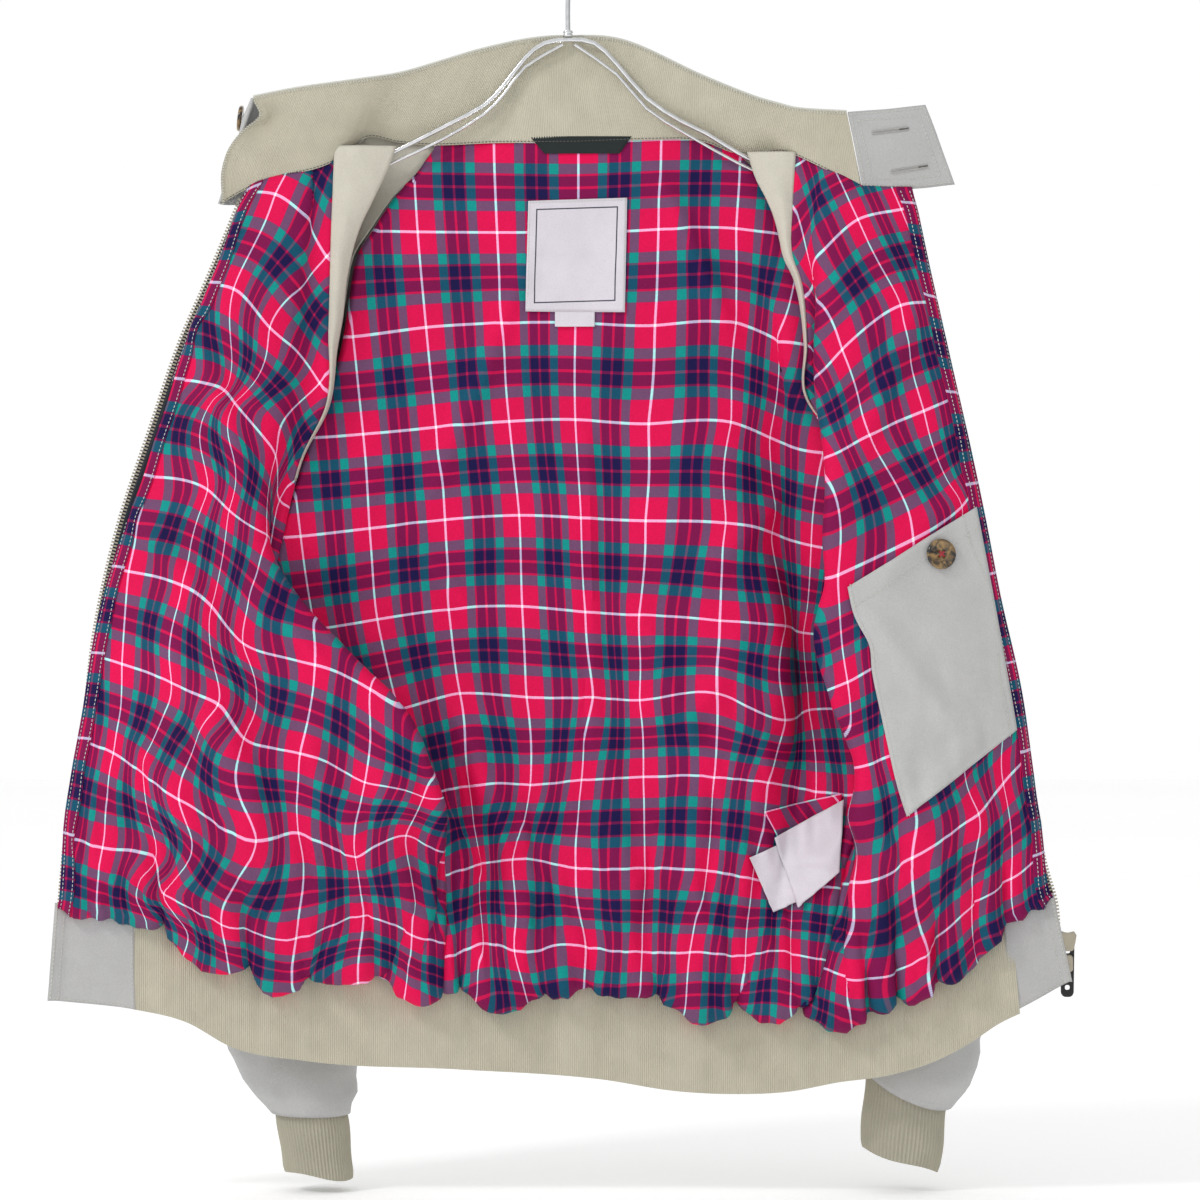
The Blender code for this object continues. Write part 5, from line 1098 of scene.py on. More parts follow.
def plain_cloth(name, colour, roughness, size, depth):
    """Plain woven cloth with fine threads and soft crumples."""
    tree, shader = new_finish(name, roughness, Sheen_Weight=0.04, Specular_IOR_Level=0.3)
    crumple = use_group(tree, "crumple", {"Size": size, "Grain": 1100.0})
    twill = use_group(tree, "twill", {"Lines": 2 * math.pi / (TWILL_PITCH * MM)})
    paint(tree, shader, colour, crumple["Tone"])
    soft = bump(tree, shader, crumple["Height"], depth, 0.6)
    bump(tree, shader, twill["Height"], TWILL_DEPTH, 0.6, soft)


def knit_finish(name, colour):
    tree, shader = new_finish(name, 0.85, Sheen_Weight=0.06, Specular_IOR_Level=0.2)
    ribs = use_group(tree, "rib_lines")
    crumple = use_group(tree, "crumple", {"Size": 60.0, "Grain": 1500.0})
    paint(tree, shader, colour, ribs["Tone"], crumple["Tone"])
    soft = bump(tree, shader, crumple["Height"], 0.8, 0.5)
    bump(tree, shader, ribs["Height"], 0.12, 0.5, soft)


def metal_finish(name, colour, roughness, metallic):
    """Metal with fine scratches and slightly uneven polish."""
    tree, shader = new_finish(name, roughness, metallic)
    worn = noise(tree, 220.0, 4.0)
    polish = mapped(tree, worn, *NOISE_RANGE, roughness * POLISH_RANGE[0], roughness * POLISH_RANGE[1])
    tree.links.new(polish, shader.inputs["Roughness"])
    paint(tree, shader, colour, mapped(tree, worn, *NOISE_RANGE, *METAL_TONE))
    bump(tree, shader, worn, 0.03, 0.4)


def thread_finish(name, colour):
    tree, shader = new_finish(name, 0.6, Sheen_Weight=0.2)
    fibre = noise(tree, 2500.0, 2.0)
    paint(tree, shader, colour, mapped(tree, fibre, *NOISE_RANGE, *THREAD_TONE))
    bump(tree, shader, fibre, 0.05, 0.4)


def tortoise_finish():
    """Mottled horn: dark brown clouds in amber."""
    tree, shader = new_finish("tortoise_horn", 0.22, Coat_Weight=0.4)
    cloud = noise(tree, 130.0, 3.0, 1.5)
    ramp = add(tree, "ShaderNodeValToRGB", {0: cloud})
    for element, (position, colour) in zip(ramp.color_ramp.elements, HORN_CLOUDS):
        element.position, element.color = position, (*colour, 1)
    tree.links.new(ramp.outputs[0], shader.inputs["Base Color"])
    bump(tree, shader, cloud, 0.05, 0.3)


def label_finish(name, border):
    """Woven satin label, with a thin dark frame set in from its edges when it has a border."""
    tree, shader = new_finish(name, 0.5, Sheen_Weight=0.15, Specular_IOR_Level=0.4)
    crumple = use_group(tree, "crumple", {"Size": 45.0, "Grain": 1600.0})
    colour = LABEL_WHITE
    if border:
        nearest = [maths(tree, "MINIMUM", part, maths(tree, "SUBTRACT", full * MM, part))
                   for part, full in zip(cloth_places(tree), NECK_LABEL_SIZE)]
        edge = maths(tree, "MINIMUM", *nearest)
        frame_line = maths(tree, "COMPARE", edge, FRAME_INSET * MM, FRAME_LINE * MM)
        colour = add(tree, "ShaderNodeMix", {0: frame_line, 6: (*LABEL_WHITE, 1), 7: (*FRAME_COLOUR, 1)},
                     data_type="RGBA").outputs[2]
    paint(tree, shader, colour, crumple["Tone"])
    bump(tree, shader, crumple["Height"], 0.8, 0.4)


# ---------------------------------------------------------------- lines and plates on the pieces
def beside_edge(grid, distance, last=False, span=(0.0, 1.0), away=LINING_OUT):
    """Line at a distance from a panel's first or last edge, just clear of its seen face."""
    face = moved_out(grid, -away - STITCH_LIFT)
    if last:
        face = face[::-1]
    along = run_length(face, 0)
    rows = range(int(span[0] * (grid.shape[1] - 1)), int(span[1] * (grid.shape[1] - 1)) + 1)
    return np.array([[np.interp(distance, along[:, j], face[:, j, k]) for k in range(3)] for j in rows])


def lay_on(face, places, away):
    """Put places of (across, drop) at a distance in front of a lining's seen face."""
    points = face.reshape(-1, 3)
    flat = places.reshape(-1, 2)
    depth = np.empty(len(flat))
    for k, place in enumerate(flat):
        far = ((points[:, :2] - place) ** 2).sum(axis=1)
        nearest = np.argpartition(far, LAY_NEAREST)[:LAY_NEAREST]
        weight = 1.0 / (far[nearest] + LAY_SOFT)
        depth[k] = (points[nearest, 2] * weight).sum() / weight.sum()
    depth = depth.reshape(places.shape[:-1])
    for _ in range(LAY_ROUNDS):
        depth[1:-1, 1:-1] = 0.5 * depth[1:-1, 1:-1] + 0.125 * (
            depth[:-2, 1:-1] + depth[2:, 1:-1] + depth[1:-1, :-2] + depth[1:-1, 2:])
    return np.concatenate([places, depth[..., None] - away], axis=-1)


def between(corners, columns, rows):
    """Places between four corners: top left, top right, lower right, lower left."""
    top_left, top_right, low_right, low_left = np.array(corners, float)
    u = np.linspace(0, 1, columns)[:, None, None]
    v = np.linspace(0, 1, rows)[None, :, None]
    return (top_left * (1 - u) + top_right * u) * (1 - v) + (low_left * (1 - u) + low_right * u) * v


def around_piece(grid, inset_by, lift):
    """Closed run of stitches inside the border of a laid piece."""
    u = inset_by / max(run_length(grid, 0)[-1].mean(), 1e-6)
    v = inset_by / max(run_length(grid, 1)[:, -1].mean(), 1e-6)
    corners = ((u, v), (1 - u, v), (1 - u, 1 - v), (u, 1 - v), (u, v))
    line = []
    columns, rows = grid.shape[0] - 1, grid.shape[1] - 1
    for start, end in zip(corners[:-1], corners[1:]):
        for share in np.linspace(0, 1, BORDER_POINTS, endpoint=False):
            x = (start[0] + (end[0] - start[0]) * share) * columns
            y = (start[1] + (end[1] - start[1]) * share) * rows
            i, j = min(int(x), columns - 1), min(int(y), rows - 1)
            s, t = x - i, y - j
            line.append((grid[i, j] * (1 - s) + grid[i + 1, j] * s) * (1 - t)
                        + (grid[i, j + 1] * (1 - s) + grid[i + 1, j + 1] * s) * t)
    line.append(line[0])
    return np.array(line) - (0, 0, lift)


def plate(outlines, thick, edge, middle):
    """Mesh of a flat plate with rounded edges and holes, facing the inside of the jacket.

    The outlines are closed runs of (across, drop) from its middle, the outer one first.
    """
    runs = [[(across * MM, -drop * MM, 0) for across, drop in outline] for outline in outlines]
    mesh = curve_mesh("plate", runs, edge, PLATE_ROUND, thick / 2 - edge)
    place = Matrix.Translation(Vector(to_world(np.array(middle, float)).tolist()))
    mesh.transform(place @ Matrix.Rotation(math.radians(90), 4, "X"))
    return mesh


def rounded(width, height, radius, shift=(0.0, 0.0), taper=0.0, steps=6):
    """Rectangle with round corners, narrower at its lower end by a taper."""
    made = []
    for x, y, start in ((1, 1, 0), (-1, 1, 90), (-1, -1, 180), (1, -1, 270)):
        for turn in np.radians(np.linspace(start, start + 90, steps)):
            across = x * (width / 2 - radius) + radius * math.cos(turn)
            drop = y * (height / 2 - radius) + radius * math.sin(turn)
            across *= 1 - taper * (drop / height + 0.5)
            made.append((across + shift[0], drop + shift[1]))
    return made


def lathe(profile, centre, axis, sides):
    """Points and faces of a round body: profile of (radius, height), from its back to its face."""
    axis = np.array(axis, float) / np.linalg.norm(axis)
    side = np.cross(axis, (0.0, 0.0, 1.0) if abs(axis[2]) < 0.9 else (1.0, 0.0, 0.0))
    side /= np.linalg.norm(side)
    up = np.cross(axis, side)
    points = [centre + axis * profile[0][1] * MM]
    for out, height in profile:
        for turn in np.arange(sides) * 2 * math.pi / sides:
            points.append(centre + ((side * math.cos(turn) + up * math.sin(turn)) * out + axis * height) * MM)
    points.append(centre + axis * profile[-1][1] * MM)
    faces = []
    top, end = 1 + (len(profile) - 1) * sides, len(points) - 1
    for k in range(sides):
        follow = (k + 1) % sides
        faces.append((0, 1 + follow, 1 + k))
        faces += [(base + k, base + follow, base + sides + follow, base + sides + k)
                  for base in range(1, top, sides)]
        faces.append((top + k, top + follow, end))
    return points, faces, (axis, side, up)


def solid_mesh(name, points, faces):
    mesh = bpy.data.meshes.new(name)
    mesh.from_pydata([tuple(p) for p in points], [], faces)
    return mesh


def joined(name, meshes):
    """One mesh of several."""
    holder = bmesh.new()
    for mesh in meshes:
        holder.from_mesh(mesh)
        bpy.data.meshes.remove(mesh)
    made = bpy.data.meshes.new(name)
    holder.to_mesh(made)
    holder.free()
    return made


# ---------------------------------------------------------------- surfaces
def panel_surface(name, inside):
    """Surface of a panel, for its lining or for its shell."""
    lines = PANELS[name]
    if name == "front_right":
        share = np.array([row[0] for row in lines[0]])
        room = ZIP_ROOM
        if inside:
            room = ROOM_LEFT + (ZIP_ROOM - ROOM_LEFT) * ease((ROOM_FADE[0] - share) / ROOM_FADE[1])
        lines = (tuple(moved([row], add_room)[0] for row, add_room in
                       zip(lines[0], np.broadcast_to(room, share.shape))),) + lines[1:]
    if name == "front_left" and not inside:
        lines = lines[:-1] + (moved(lines[-1], -ZIP_ROOM),)
    steps = LINING_STEPS if inside else SHELL_STEPS
    columns, rows = finer(BODY_COLUMNS[name], steps[0]), finer(BODY_ROWS, steps[1])
    grid = meet_collar(across_lines(lines, SPREADS[name], columns, rows), rows)
    grid[..., 2] += fold_depth(grid[..., 0], grid[..., 1], FOLDS)
    return puff(grid, rows, inside)


def panel_node(name, layer):
    """Name of the node that a panel's lining or shell stands for."""
    part, _, side = name.partition("_")
    return f"{part}_{layer}_{side}" if side else f"{part}_{layer}"


def build_linings():
    for seed, (name, (creases, crossings, first_line, fold)) in enumerate(LININGS.items()):
        grid = panel_surface(name, True)
        laid = check_places(crossings, laid_out(grid, fold, LINING_STEPS[1] * HEM_ROW), first_line)
        grid = creased(grid, creases, seed)
        SURFACES[name], SURFACES[name + "_laid"] = grid, laid
        cloth(f"checked_lining_{name}", grid, -LINING_OUT, LINING_WALL, "checked_lining",
              panel_node(name, "lining"), laid)


def build_facings():
    """Strips of the check cut along its dark bar, sewn down along the fronts' edges."""
    distances = np.linspace(FACING[0], FACING[1], FACING_COLUMNS)
    for name, last, side in (("front_right", False, "right"), ("front_left", True, "left")):
        grid, laid = SURFACES[name], SURFACES[name + "_laid"]
        strip = np.array([beside_edge(grid, away, last, FACING_SPAN, LINING_OUT + FACING_LIFT)
                          for away in distances])
        rows = range(int(FACING_SPAN[1] * (grid.shape[1] - 1)) + 1)
        weft = laid[-1 if last else 0, rows, 1] + FACING_SLIP
        places = np.stack([(FACING[2] + distances / CHECK_PITCH[0])[:, None] * np.ones((1, len(rows))),
                           np.broadcast_to(weft, (FACING_COLUMNS, len(rows)))], axis=-1)
        if last:
            strip, places = strip[::-1], places[::-1]
        cloth(f"edge_facing_{side}", strip, 0.0, FACING_WALL, "checked_lining",
              laid=places)


def build_shells():
    for seed, name in enumerate(PANELS):
        grid = panel_surface(name, False)
        across, drop = grid[..., 0], grid[..., 1]
        height = sizes().ripple / MM * (1 + ripple(across, drop, RIPPLE_SIZE, seed + 5))
        height += np.maximum(fold_depth(across, drop, SHELL_CREASES), 0)
        grid = grid + outward(grid) * (height * edge_fade(grid.shape[:2], EDGE_CELLS))[..., None]
        SURFACES["shell_" + name] = grid
        cloth(f"outer_cloth_{name}", grid, SHELL_IN, SHELL_WALL, "stone_cloth",
              panel_node(name, "shell"))


def build_sleeve(side, rings, front_seam, back_seam, turn):
    """One sleeve with its lining; the elbow and the seams wrinkle."""
    around, along = finer(SLEEVE_AROUND, SLEEVE_STEPS[0]), finer(SLEEVE_ALONG, SLEEVE_STEPS[1])
    grid = sleeve_grid(rings, front_seam, back_seam, turn, around, along)
    grid = meet_collar(grid, np.minimum(along * UNDERARM / SLEEVE_UNDERARM, 1.0))
    if turn < 0:
        grid = grid[::-1]
    lined = int(np.sum(along < SLEEVE_FREE))
    tube_from = int(np.sum(along < SLEEVE_TUBE))
    share = along[None, :] * np.ones((len(around), 1))
    turns = np.linspace(0, 2 * math.pi, len(around))[:, None]
    across = grid[..., 0] + SLEEVE_WIND * np.cos(turns)
    height = SLEEVE_RIPPLE * (1 + ripple(across, grid[..., 1], SLEEVE_WAVE, turn + 3))
    for place, depth, width in SLEEVE_CREASES:
        lean = CREASE_TILT * np.sin(turns + CREASE_TURN * place)
        round_sleeve = CREASE_SHARE[0] + CREASE_SHARE[1] * np.cos(turns - CREASE_SHARE[2])
        height += depth * np.exp(-((share - place - lean) / width) ** 2) * round_sleeve
    height *= ease((share - WRINKLE_START[0]) / WRINKLE_START[1])
    height *= ease((WRINKLE_END[0] - share) / WRINKLE_END[1])
    beside = np.minimum(np.arange(len(around)), len(around) - 1 - np.arange(len(around)))
    opened = ease((SLEEVE_TUBE - share) / SLEEVE_OPEN)
    height *= 1 - opened * (1 - ease(beside / SEAM_CELLS)[:, None])
    outer = grid + outward(grid) * height[..., None]
    outer[-1, tube_from:] = outer[0, tube_from:]
    SURFACES["sleeve_" + side] = outer
    cloth(f"sleeve_cloth_{side}", outer, SHELL_IN, SHELL_WALL, "stone_cloth",
          f"sleeve_shell_{side}", tube_from=tube_from)
    inner = grid[:, :lined]
    ripples = ARMHOLE_RIPPLE[0] * (1 + ripple(inner[..., 0], inner[..., 1], ARMHOLE_RIPPLE[1], turn + 7))
    ripples *= edge_fade(inner.shape[:2], SEAM_CELLS)
    inner = inner - outward(inner) * ripples[..., None]
    SURFACES["armhole_" + side] = inner
    cloth(f"armhole_cloth_{side}", inner, -LINING_OUT - SLEEVE_LINING_APART, LINING_WALL, "sleeve_cloth",
          f"sleeve_lining_{side}")


def build_armhole_folds():
    """Folds of the sleeves' plain lining that stand out of the armholes beside the front seams."""
    columns, rows = ARMHOLE_CELLS
    shares = np.linspace(0, 1, columns)[:, None]
    back, bulge, lean = ARMHOLE_DEPTH
    for side, seam, reach in ARMHOLE_FOLDS:
        drops = np.linspace(reach[0][0], reach[-1][0], rows)
        widths = smooth(reach, drops)[:, 0]
        dense = smooth(seam, np.linspace(0, UNDERARM, ARMHOLE_POINTS))
        across = np.interp(drops, dense[:, 1], dense[:, 0])
        depth = np.interp(drops, dense[:, 1], dense[:, 2])
        sign = 1 if side == "right" else -1
        grid = np.stack([across + sign * (shares * widths - ARMHOLE_TUCK),
                         np.broadcast_to(drops, (columns, rows)),
                         depth - back - bulge * np.sin(math.pi * shares) + lean * shares], axis=-1)
        waves = ripple(grid[..., 0] * 2, grid[..., 1], ARMHOLE_WAVE[1], sign)
        grid[..., 2] -= ARMHOLE_WAVE[0] * waves * np.sin(math.pi * shares)
        if sign < 0:
            grid = grid[::-1]
        cloth(f"armhole_fold_{side}", grid, 0.0, ARMHOLE_WALL, "sleeve_cloth")


def build_cuff_knit(cuff):
    """A ribbed tube that widens a little in its middle and turns in at its end."""
    side, x0, d0, x1, d1, wide, thick, tilt0, tilt1, y0, y1 = cuff
    count = CUFF_RIBS * RIB_POINTS
    angles = np.linspace(0, 2 * np.pi, count, endpoint=False)
    relief = CUFF_RIB_HEIGHT * (0.5 + 0.5 * np.cos(np.arange(count) * 2 * np.pi / RIB_POINTS))
    rings, places = [], []
    profile = [(s, 0.0) for s in np.linspace(0, 1, CUFF_ROWS)]
    profile += [(s, 1.0) for s in np.linspace(1, 0, CUFF_ROWS)]
    for share, layer in profile:
        swell = CUFF_SWELL[0] * math.sin(math.pi * share)
        swell += CUFF_SWELL[1] * math.sin(CUFF_SWELL[2] * share + wide)
        end = CUFF_TURNED[0] * ease((share - CUFF_TURNED[1]) / CUFF_TURNED[2])
        grow = relief * (1 - layer) + swell - end * (1 - 2 * layer) - CUFF_WALL * layer
        x = x0 + (x1 - x0) * share + (wide + grow) * np.cos(angles)
        y = y0 + (y1 - y0) * share + (thick + grow) * np.sin(angles)
        tilt = tilt0 + (tilt1 - tilt0) * share
        wave = CUFF_WAVE[0] * np.sin(CUFF_WAVE[1] * angles + wide) * share
        rings.append(np.column_stack([x, d0 + (d1 - d0) * share + tilt * wide * np.cos(angles) + wave, y]))
        places.append(share * (d1 - d0) / KNIT_COURSE)
    faces, uvs = [], []
    for layer in range(len(rings)):
        below = (layer + 1) % len(rings)
        for k in range(count):
            follow = (k + 1) % count
            faces.append((layer * count + k, below * count + k, below * count + follow,
                          layer * count + follow))
            rib, next_rib = k / RIB_POINTS, (k + 1) / RIB_POINTS
            uvs += [(rib, places[layer]), (rib, places[below]), (next_rib, places[below]),
                    (next_rib, places[layer])]
    mesh = bpy.data.meshes.new(f"cuff_knit_{side}")
    mesh.from_pydata(to_world(np.concatenate(rings)).tolist(), [], faces)
    mesh.uv_layers.new(name=CLOTH_UV).data.foreach_set("uv", np.array(uvs, np.float32).reshape(-1))
    made = kept(make_object(f"cuff_knit_{side}", mesh, "cuff_knit"), "jacket", f"cuff_{side}")


def knit(name, grid, pitch, height, start, wall, node):
    """A wall of rib knit: raised wales on its seen face and a plain face behind."""
    along, down = run_length(grid, 0), run_length(grid, 1)
    wales = (along[:, along.shape[1] // 2] / pitch)[:, None] * np.ones((1, grid.shape[1]))
    laid = np.stack([wales, down / KNIT_COURSE], axis=-1)
    normal = outward(grid)
    relief = height * (0.5 - 0.5 * np.cos(2 * math.pi * wales))
    front = grid + normal * (start + relief)[..., None]
    back = grid + normal * (start + wall)
    columns, rows = grid.shape[:2]
    index = np.arange(columns * rows).reshape(columns, rows)
    behind = index + columns * rows
    edge = np.concatenate([index[:, 0], index[-1, 1:], index[-2::-1, -1], index[0, -2:0:-1]])
    follow, count = np.roll(edge, -1), columns * rows
    faces = np.concatenate([
        np.stack([index[:-1, :-1], index[:-1, 1:], index[1:, 1:], index[1:, :-1]], axis=-1).reshape(-1, 4),
        np.stack([behind[:-1, :-1], behind[1:, :-1], behind[1:, 1:], behind[:-1, 1:]],
                 axis=-1).reshape(-1, 4),
        np.stack([edge, follow, follow + count, edge + count], axis=-1)])
    mesh = bpy.data.meshes.new(name)
    points = np.concatenate([to_world(front).reshape(-1, 3), to_world(back).reshape(-1, 3)])
    mesh.from_pydata(points.tolist(), [], faces.tolist())
    places = np.concatenate([laid.reshape(-1, 2)] * 2)[faces.reshape(-1)]
    mesh.uv_layers.new(name=CLOTH_UV).data.foreach_set("uv", places.reshape(-1).astype(np.float32))
    made = kept(make_object(name, mesh, "rib_knit"), "jacket", node)
    declare(grid)


def build_band():
    """Rib knit waistband, drawn in by its stretch, with the two cloth tabs at its ends."""
    across = np.linspace(*BAND_ENDS, int((BAND_ENDS[1] - BAND_ENDS[0]) / BAND_WALE * RIB_POINTS) + 1)
    shares = np.linspace(0, 1, BAND_KNIT_ROWS)
    grid = band_grid(across, shares)
    flare = np.interp(across, (BAND_FLARE[0], BAND_ENDS[1]), (0, BAND_FLARE[1]))
    grid[..., 0] += shares[None, :] * flare[:, None]
    wave = np.zeros_like(across)
    for place, _, _ in HEM_PUFFS:
        wave += np.exp(-((across - place - GATHER_PLACE[0]) / GATHER_PLACE[1]) ** 2)
    gather = BAND_GATHER * wave[:, None] * (1 - shares[None, :]) ** 1.5
    roll = BAND_ROLL * (2 * shares[None, :] - 1) ** 4
    grid[..., 2] += gather * BAND_DEEP[0] + roll * BAND_DEEP[1]
    grid[..., 2] += BAND_WAVE[0] * ripple(grid[..., 0], grid[..., 1], BAND_WAVE[1], 4)
    knit("band_knit", grid, BAND_WALE, sizes().rib / MM, -RIB_WALL / 2, RIB_WALL, "waistband")
    for side, top, bottom, bend in TAB_REACH:
        count, shares = TAB_CELLS[0], np.linspace(0, 1, TAB_CELLS[1])[None, :]
        upper, lower = np.linspace(*top, count), np.linspace(*bottom, count)
        tab = np.stack([upper[:, None] * (1 - shares) + lower[:, None] * shares,
                        smooth(BAND_SEAM, upper) * (1 - shares) + smooth(BAND_LOWER, lower) * shares,
                        smooth(BAND_DEPTH, upper) * np.ones_like(shares)], axis=-1)
        away = np.abs(upper - top[1 if side == "left" else 0])
        tab[..., 2] -= (bend * ease(1 - away / TAB_BEND))[:, None]
        seed = 2 if side == "left" else 6
        tab[..., 2] += TAB_RIPPLE[0] * ripple(tab[..., 0], tab[..., 1], TAB_RIPPLE[1], seed)
        cloth(f"band_tab_{side}", tab, -TAB_WALL / 2, TAB_WALL, "stone_cloth",
              f"waist_tab_{side}")
        face = moved_out(tab, -TAB_WALL / 2)
        ends = [beside_edge(tab, distance, side == "left", TAB_SPAN, TAB_WALL / 2) for distance in TAB_INSETS]
        stitches(f"band_tab_stitches_{side}", ends + [around_piece(face, TAB_BORDER, STITCH_LIFT)])


def collar_surface(rows, columns, shares, bow):
    grid = collar_grid(rows, columns, shares, bow)
    waves = ripple(grid[..., 0], grid[..., 1] * COLLAR_WAVES[0], COLLAR_WAVES[1], 2)
    grid[..., 2] -= COLLAR_RIPPLE * waves * np.sin(np.pi * shares)
    return grid


def wavy_end(grid):
    """The collar's right end waves where its buttoned tab pulls it."""
    offset = smooth(COLLAR_WAVE, grid[..., 1].ravel())[:, 0].reshape(grid.shape[:2])
    away = run_length(grid, 0)
    grid[..., 0] += offset * np.exp(-(away / WAVY_REACH) ** 2)
    return grid


def build_collar_cloth():
    shares = np.linspace(0, 1, COLLAR_ROWS)
    wide = wavy_end(collar_surface(COLLAR, COLLAR_KNIT_COLUMNS, shares, COLLAR_BOW))
    knit("collar_knit", wide, COLLAR_WALE, COLLAR_RIB_HEIGHT, -COLLAR_RIB_WALL - COLLAR_RIB_APART,
         COLLAR_RIB_WALL, "collar_rib")
    outer = wavy_end(collar_surface(COLLAR, COLLAR_COLUMNS, shares, COLLAR_BOW))
    cloth("collar_outer_cloth", outer, SHELL_IN - COLLAR_CLOSER, SHELL_WALL, "stone_cloth",
          "collar_shell")
    top = moved_out(outer, -PIPING_IN)[:, 0] - (0, PIPING_UP, 0)
    wire("collar_piping", top[::3], PIPING_RADIUS, "pale_thread")
    tab = collar_grid(COLLAR_TAB, COLLAR_TAB_COLUMNS, shares, COLLAR_BOW)
    tab[..., 2] += COLLAR_TAB_WAVE[0] * ripple(tab[..., 0], tab[..., 1], COLLAR_TAB_WAVE[1], 1)
    cloth("collar_tab_cloth_left", tab, COLLAR_RIB_APART - TAB_WALL, TAB_WALL, "stone_cloth",
          "collar_tab_left")
    face = moved_out(tab, COLLAR_RIB_APART - TAB_WALL)
    stitches("collar_tab_stitches", [around_piece(face, inset, STITCH_LIFT) for inset in TAB_INSETS])
    low = np.array((0, HOLE_SLIT))
    holes = [lay_on(face, between((start, end, end + low, start + low), HOLE_POINTS, 2), HOLE_LIFT)[:, 0]
             for start, end in np.array(BUTTONHOLES, float)]
    # dark stitches at each buttonhole's outer end: painted shade of its opening
    stitches("collar_buttonholes", [hole[-6:] for hole in holes], "dark_thread", 0.7, (1.3, 1.3, 0.7))
    borders = [hole + (0, side, 0) for hole in holes for side in (-HOLE_BORDER, HOLE_BORDER)]
    stitches("collar_buttonhole_borders", borders, "stone_thread", 0.75, (1.3, 0.7, 0.7), 90.0)
    seam = moved_out(wide, -COLLAR_RIB_WALL - COLLAR_RIB_APART)
    line = np.concatenate([seam[0, :0:-1] + (1.1, 0, -0.4), seam[::6, 0] + (0, 1.1, -0.4)])
    stitches("collar_edge_stitches", [line], pitch=1.9, size=(2.5, 0.6, 0.6), slant=62.0)
    stitches("collar_neck_stitches", [seam[::6, -1] + (0, -1.0, -0.5)], "dark_thread", 2.4)


def build_collar_tab_folded():
    """Right tab of the collar, folded back behind the collar's end."""
    end = collar_grid(COLLAR, COLLAR_COLUMNS, np.linspace(0, 1, COLLAR_ROWS), 0.0)[0]
    height, drop, half_width = TAB_STAND
    stand = height * np.exp(-((end[:, 1] - drop) / half_width) ** 2)
    table = [(k, *row) for k, row in enumerate(TAB_RIGHT)]
    columns = []
    for at in np.linspace(0, len(TAB_RIGHT) - 1, FOLDED_COLUMNS):
        across, depth = smooth(table, at)[0]
        column = end + (across, 0.0, depth)
        column[:, 0] -= stand * math.exp(-((at - FOLDED_STAND[0]) / FOLDED_STAND[1]) ** 2)
        columns.append(column)
    grid = np.array(columns[::-1])
    cloth("collar_tab_cloth_right", grid, -FOLDED_WALL / 2, FOLDED_WALL, "stone_cloth",
          "collar_tab_right")
    face = moved_out(grid, FOLDED_WALL / 2)
    stitches("collar_tab_stitches_right", [around_piece(face, FOLDED_BORDER, -STITCH_LIFT)])


# ---------------------------------------------------------------- zip
def chain_edge(side, line):
    edge = smooth(line, np.linspace(0.0, CHAIN_ENDS[side], CHAIN_POINTS))
    run = np.gradient(edge[:, :2], axis=0)
    run /= np.linalg.norm(run, axis=1, keepdims=True)
    inwards = 1 if side == "right" else -1
    return edge, np.column_stack([run[:, 1], -run[:, 0], np.zeros(CHAIN_POINTS)]) * inwards


def build_zip_chain():
    for side, line in (("right", CHAIN_RIGHT), ("left", CHAIN_LEFT)):
        edge, aside = chain_edge(side, line)
        start = CHAIN_START[side]
        columns = [edge + aside * away + (0, 0, TAPE_DEPTH)
                   for away in np.linspace(TAPE_EDGE, TAPE_WIDTH, TAPE_COLUMNS)]
        if side == "left":
            columns = columns[::-1]
        tape = np.array(columns)
        under = lay_on(SURFACES[f"shell_front_{side}"], tape[..., :2], TAPE_UNDER)[..., 2]
        tape[..., 2] = np.minimum(tape[..., 2], under)
        cloth(f"zip_tape_{side}", tape, 0.0, TAPE_WALL, "navy_tape",
              f"zip_chain_{side}")
        if side == "right":
            # dark strip beside the upper teeth: zip tape, widened into painted shade where the lining's edge
            # turns away
            above = TAPE_SHADE_END - edge[:, 1]
            wide = TAPE_SHADE_WIDTH[1] + (TAPE_SHADE_WIDTH[0] - TAPE_SHADE_WIDTH[1]) * ease(above / TAPE_SHADE_FADE[0])
            depth = TAPE_SHADE_DEPTH * ease(above / TAPE_SHADE_FADE[1])
            columns = [edge + aside * (CHAIN_CLEAR + TOOTH[1] - TAPE_SHADE_UNDER + wide * away)[:, None]
                       + np.outer(depth * ease(away * 4), (0, 0, 1))
                       for away in np.linspace(0, 1, TAPE_SHADE_COLUMNS)]
            cloth("zip_guard", np.array(columns)[:, above > 0], 0.0, TAPE_SHADE_WALL, "navy_tape")
        middle = edge + aside * (CHAIN_CLEAR + TOOTH[1] / 2) + (0, 0, start + CHAIN_WALL / 2)
        repeats(f"zip_teeth_{side}", "teeth", [middle], "zip_brass", sizes().tooth_pitch / MM, TOOTH)
        cord = edge + aside * (CHAIN_CLEAR + TOOTH[1]) + (0, 0, start + CHAIN_WALL / 2)
        wire(f"zip_cord_{side}", cord[::3], CORD_RADIUS, "navy_tape")


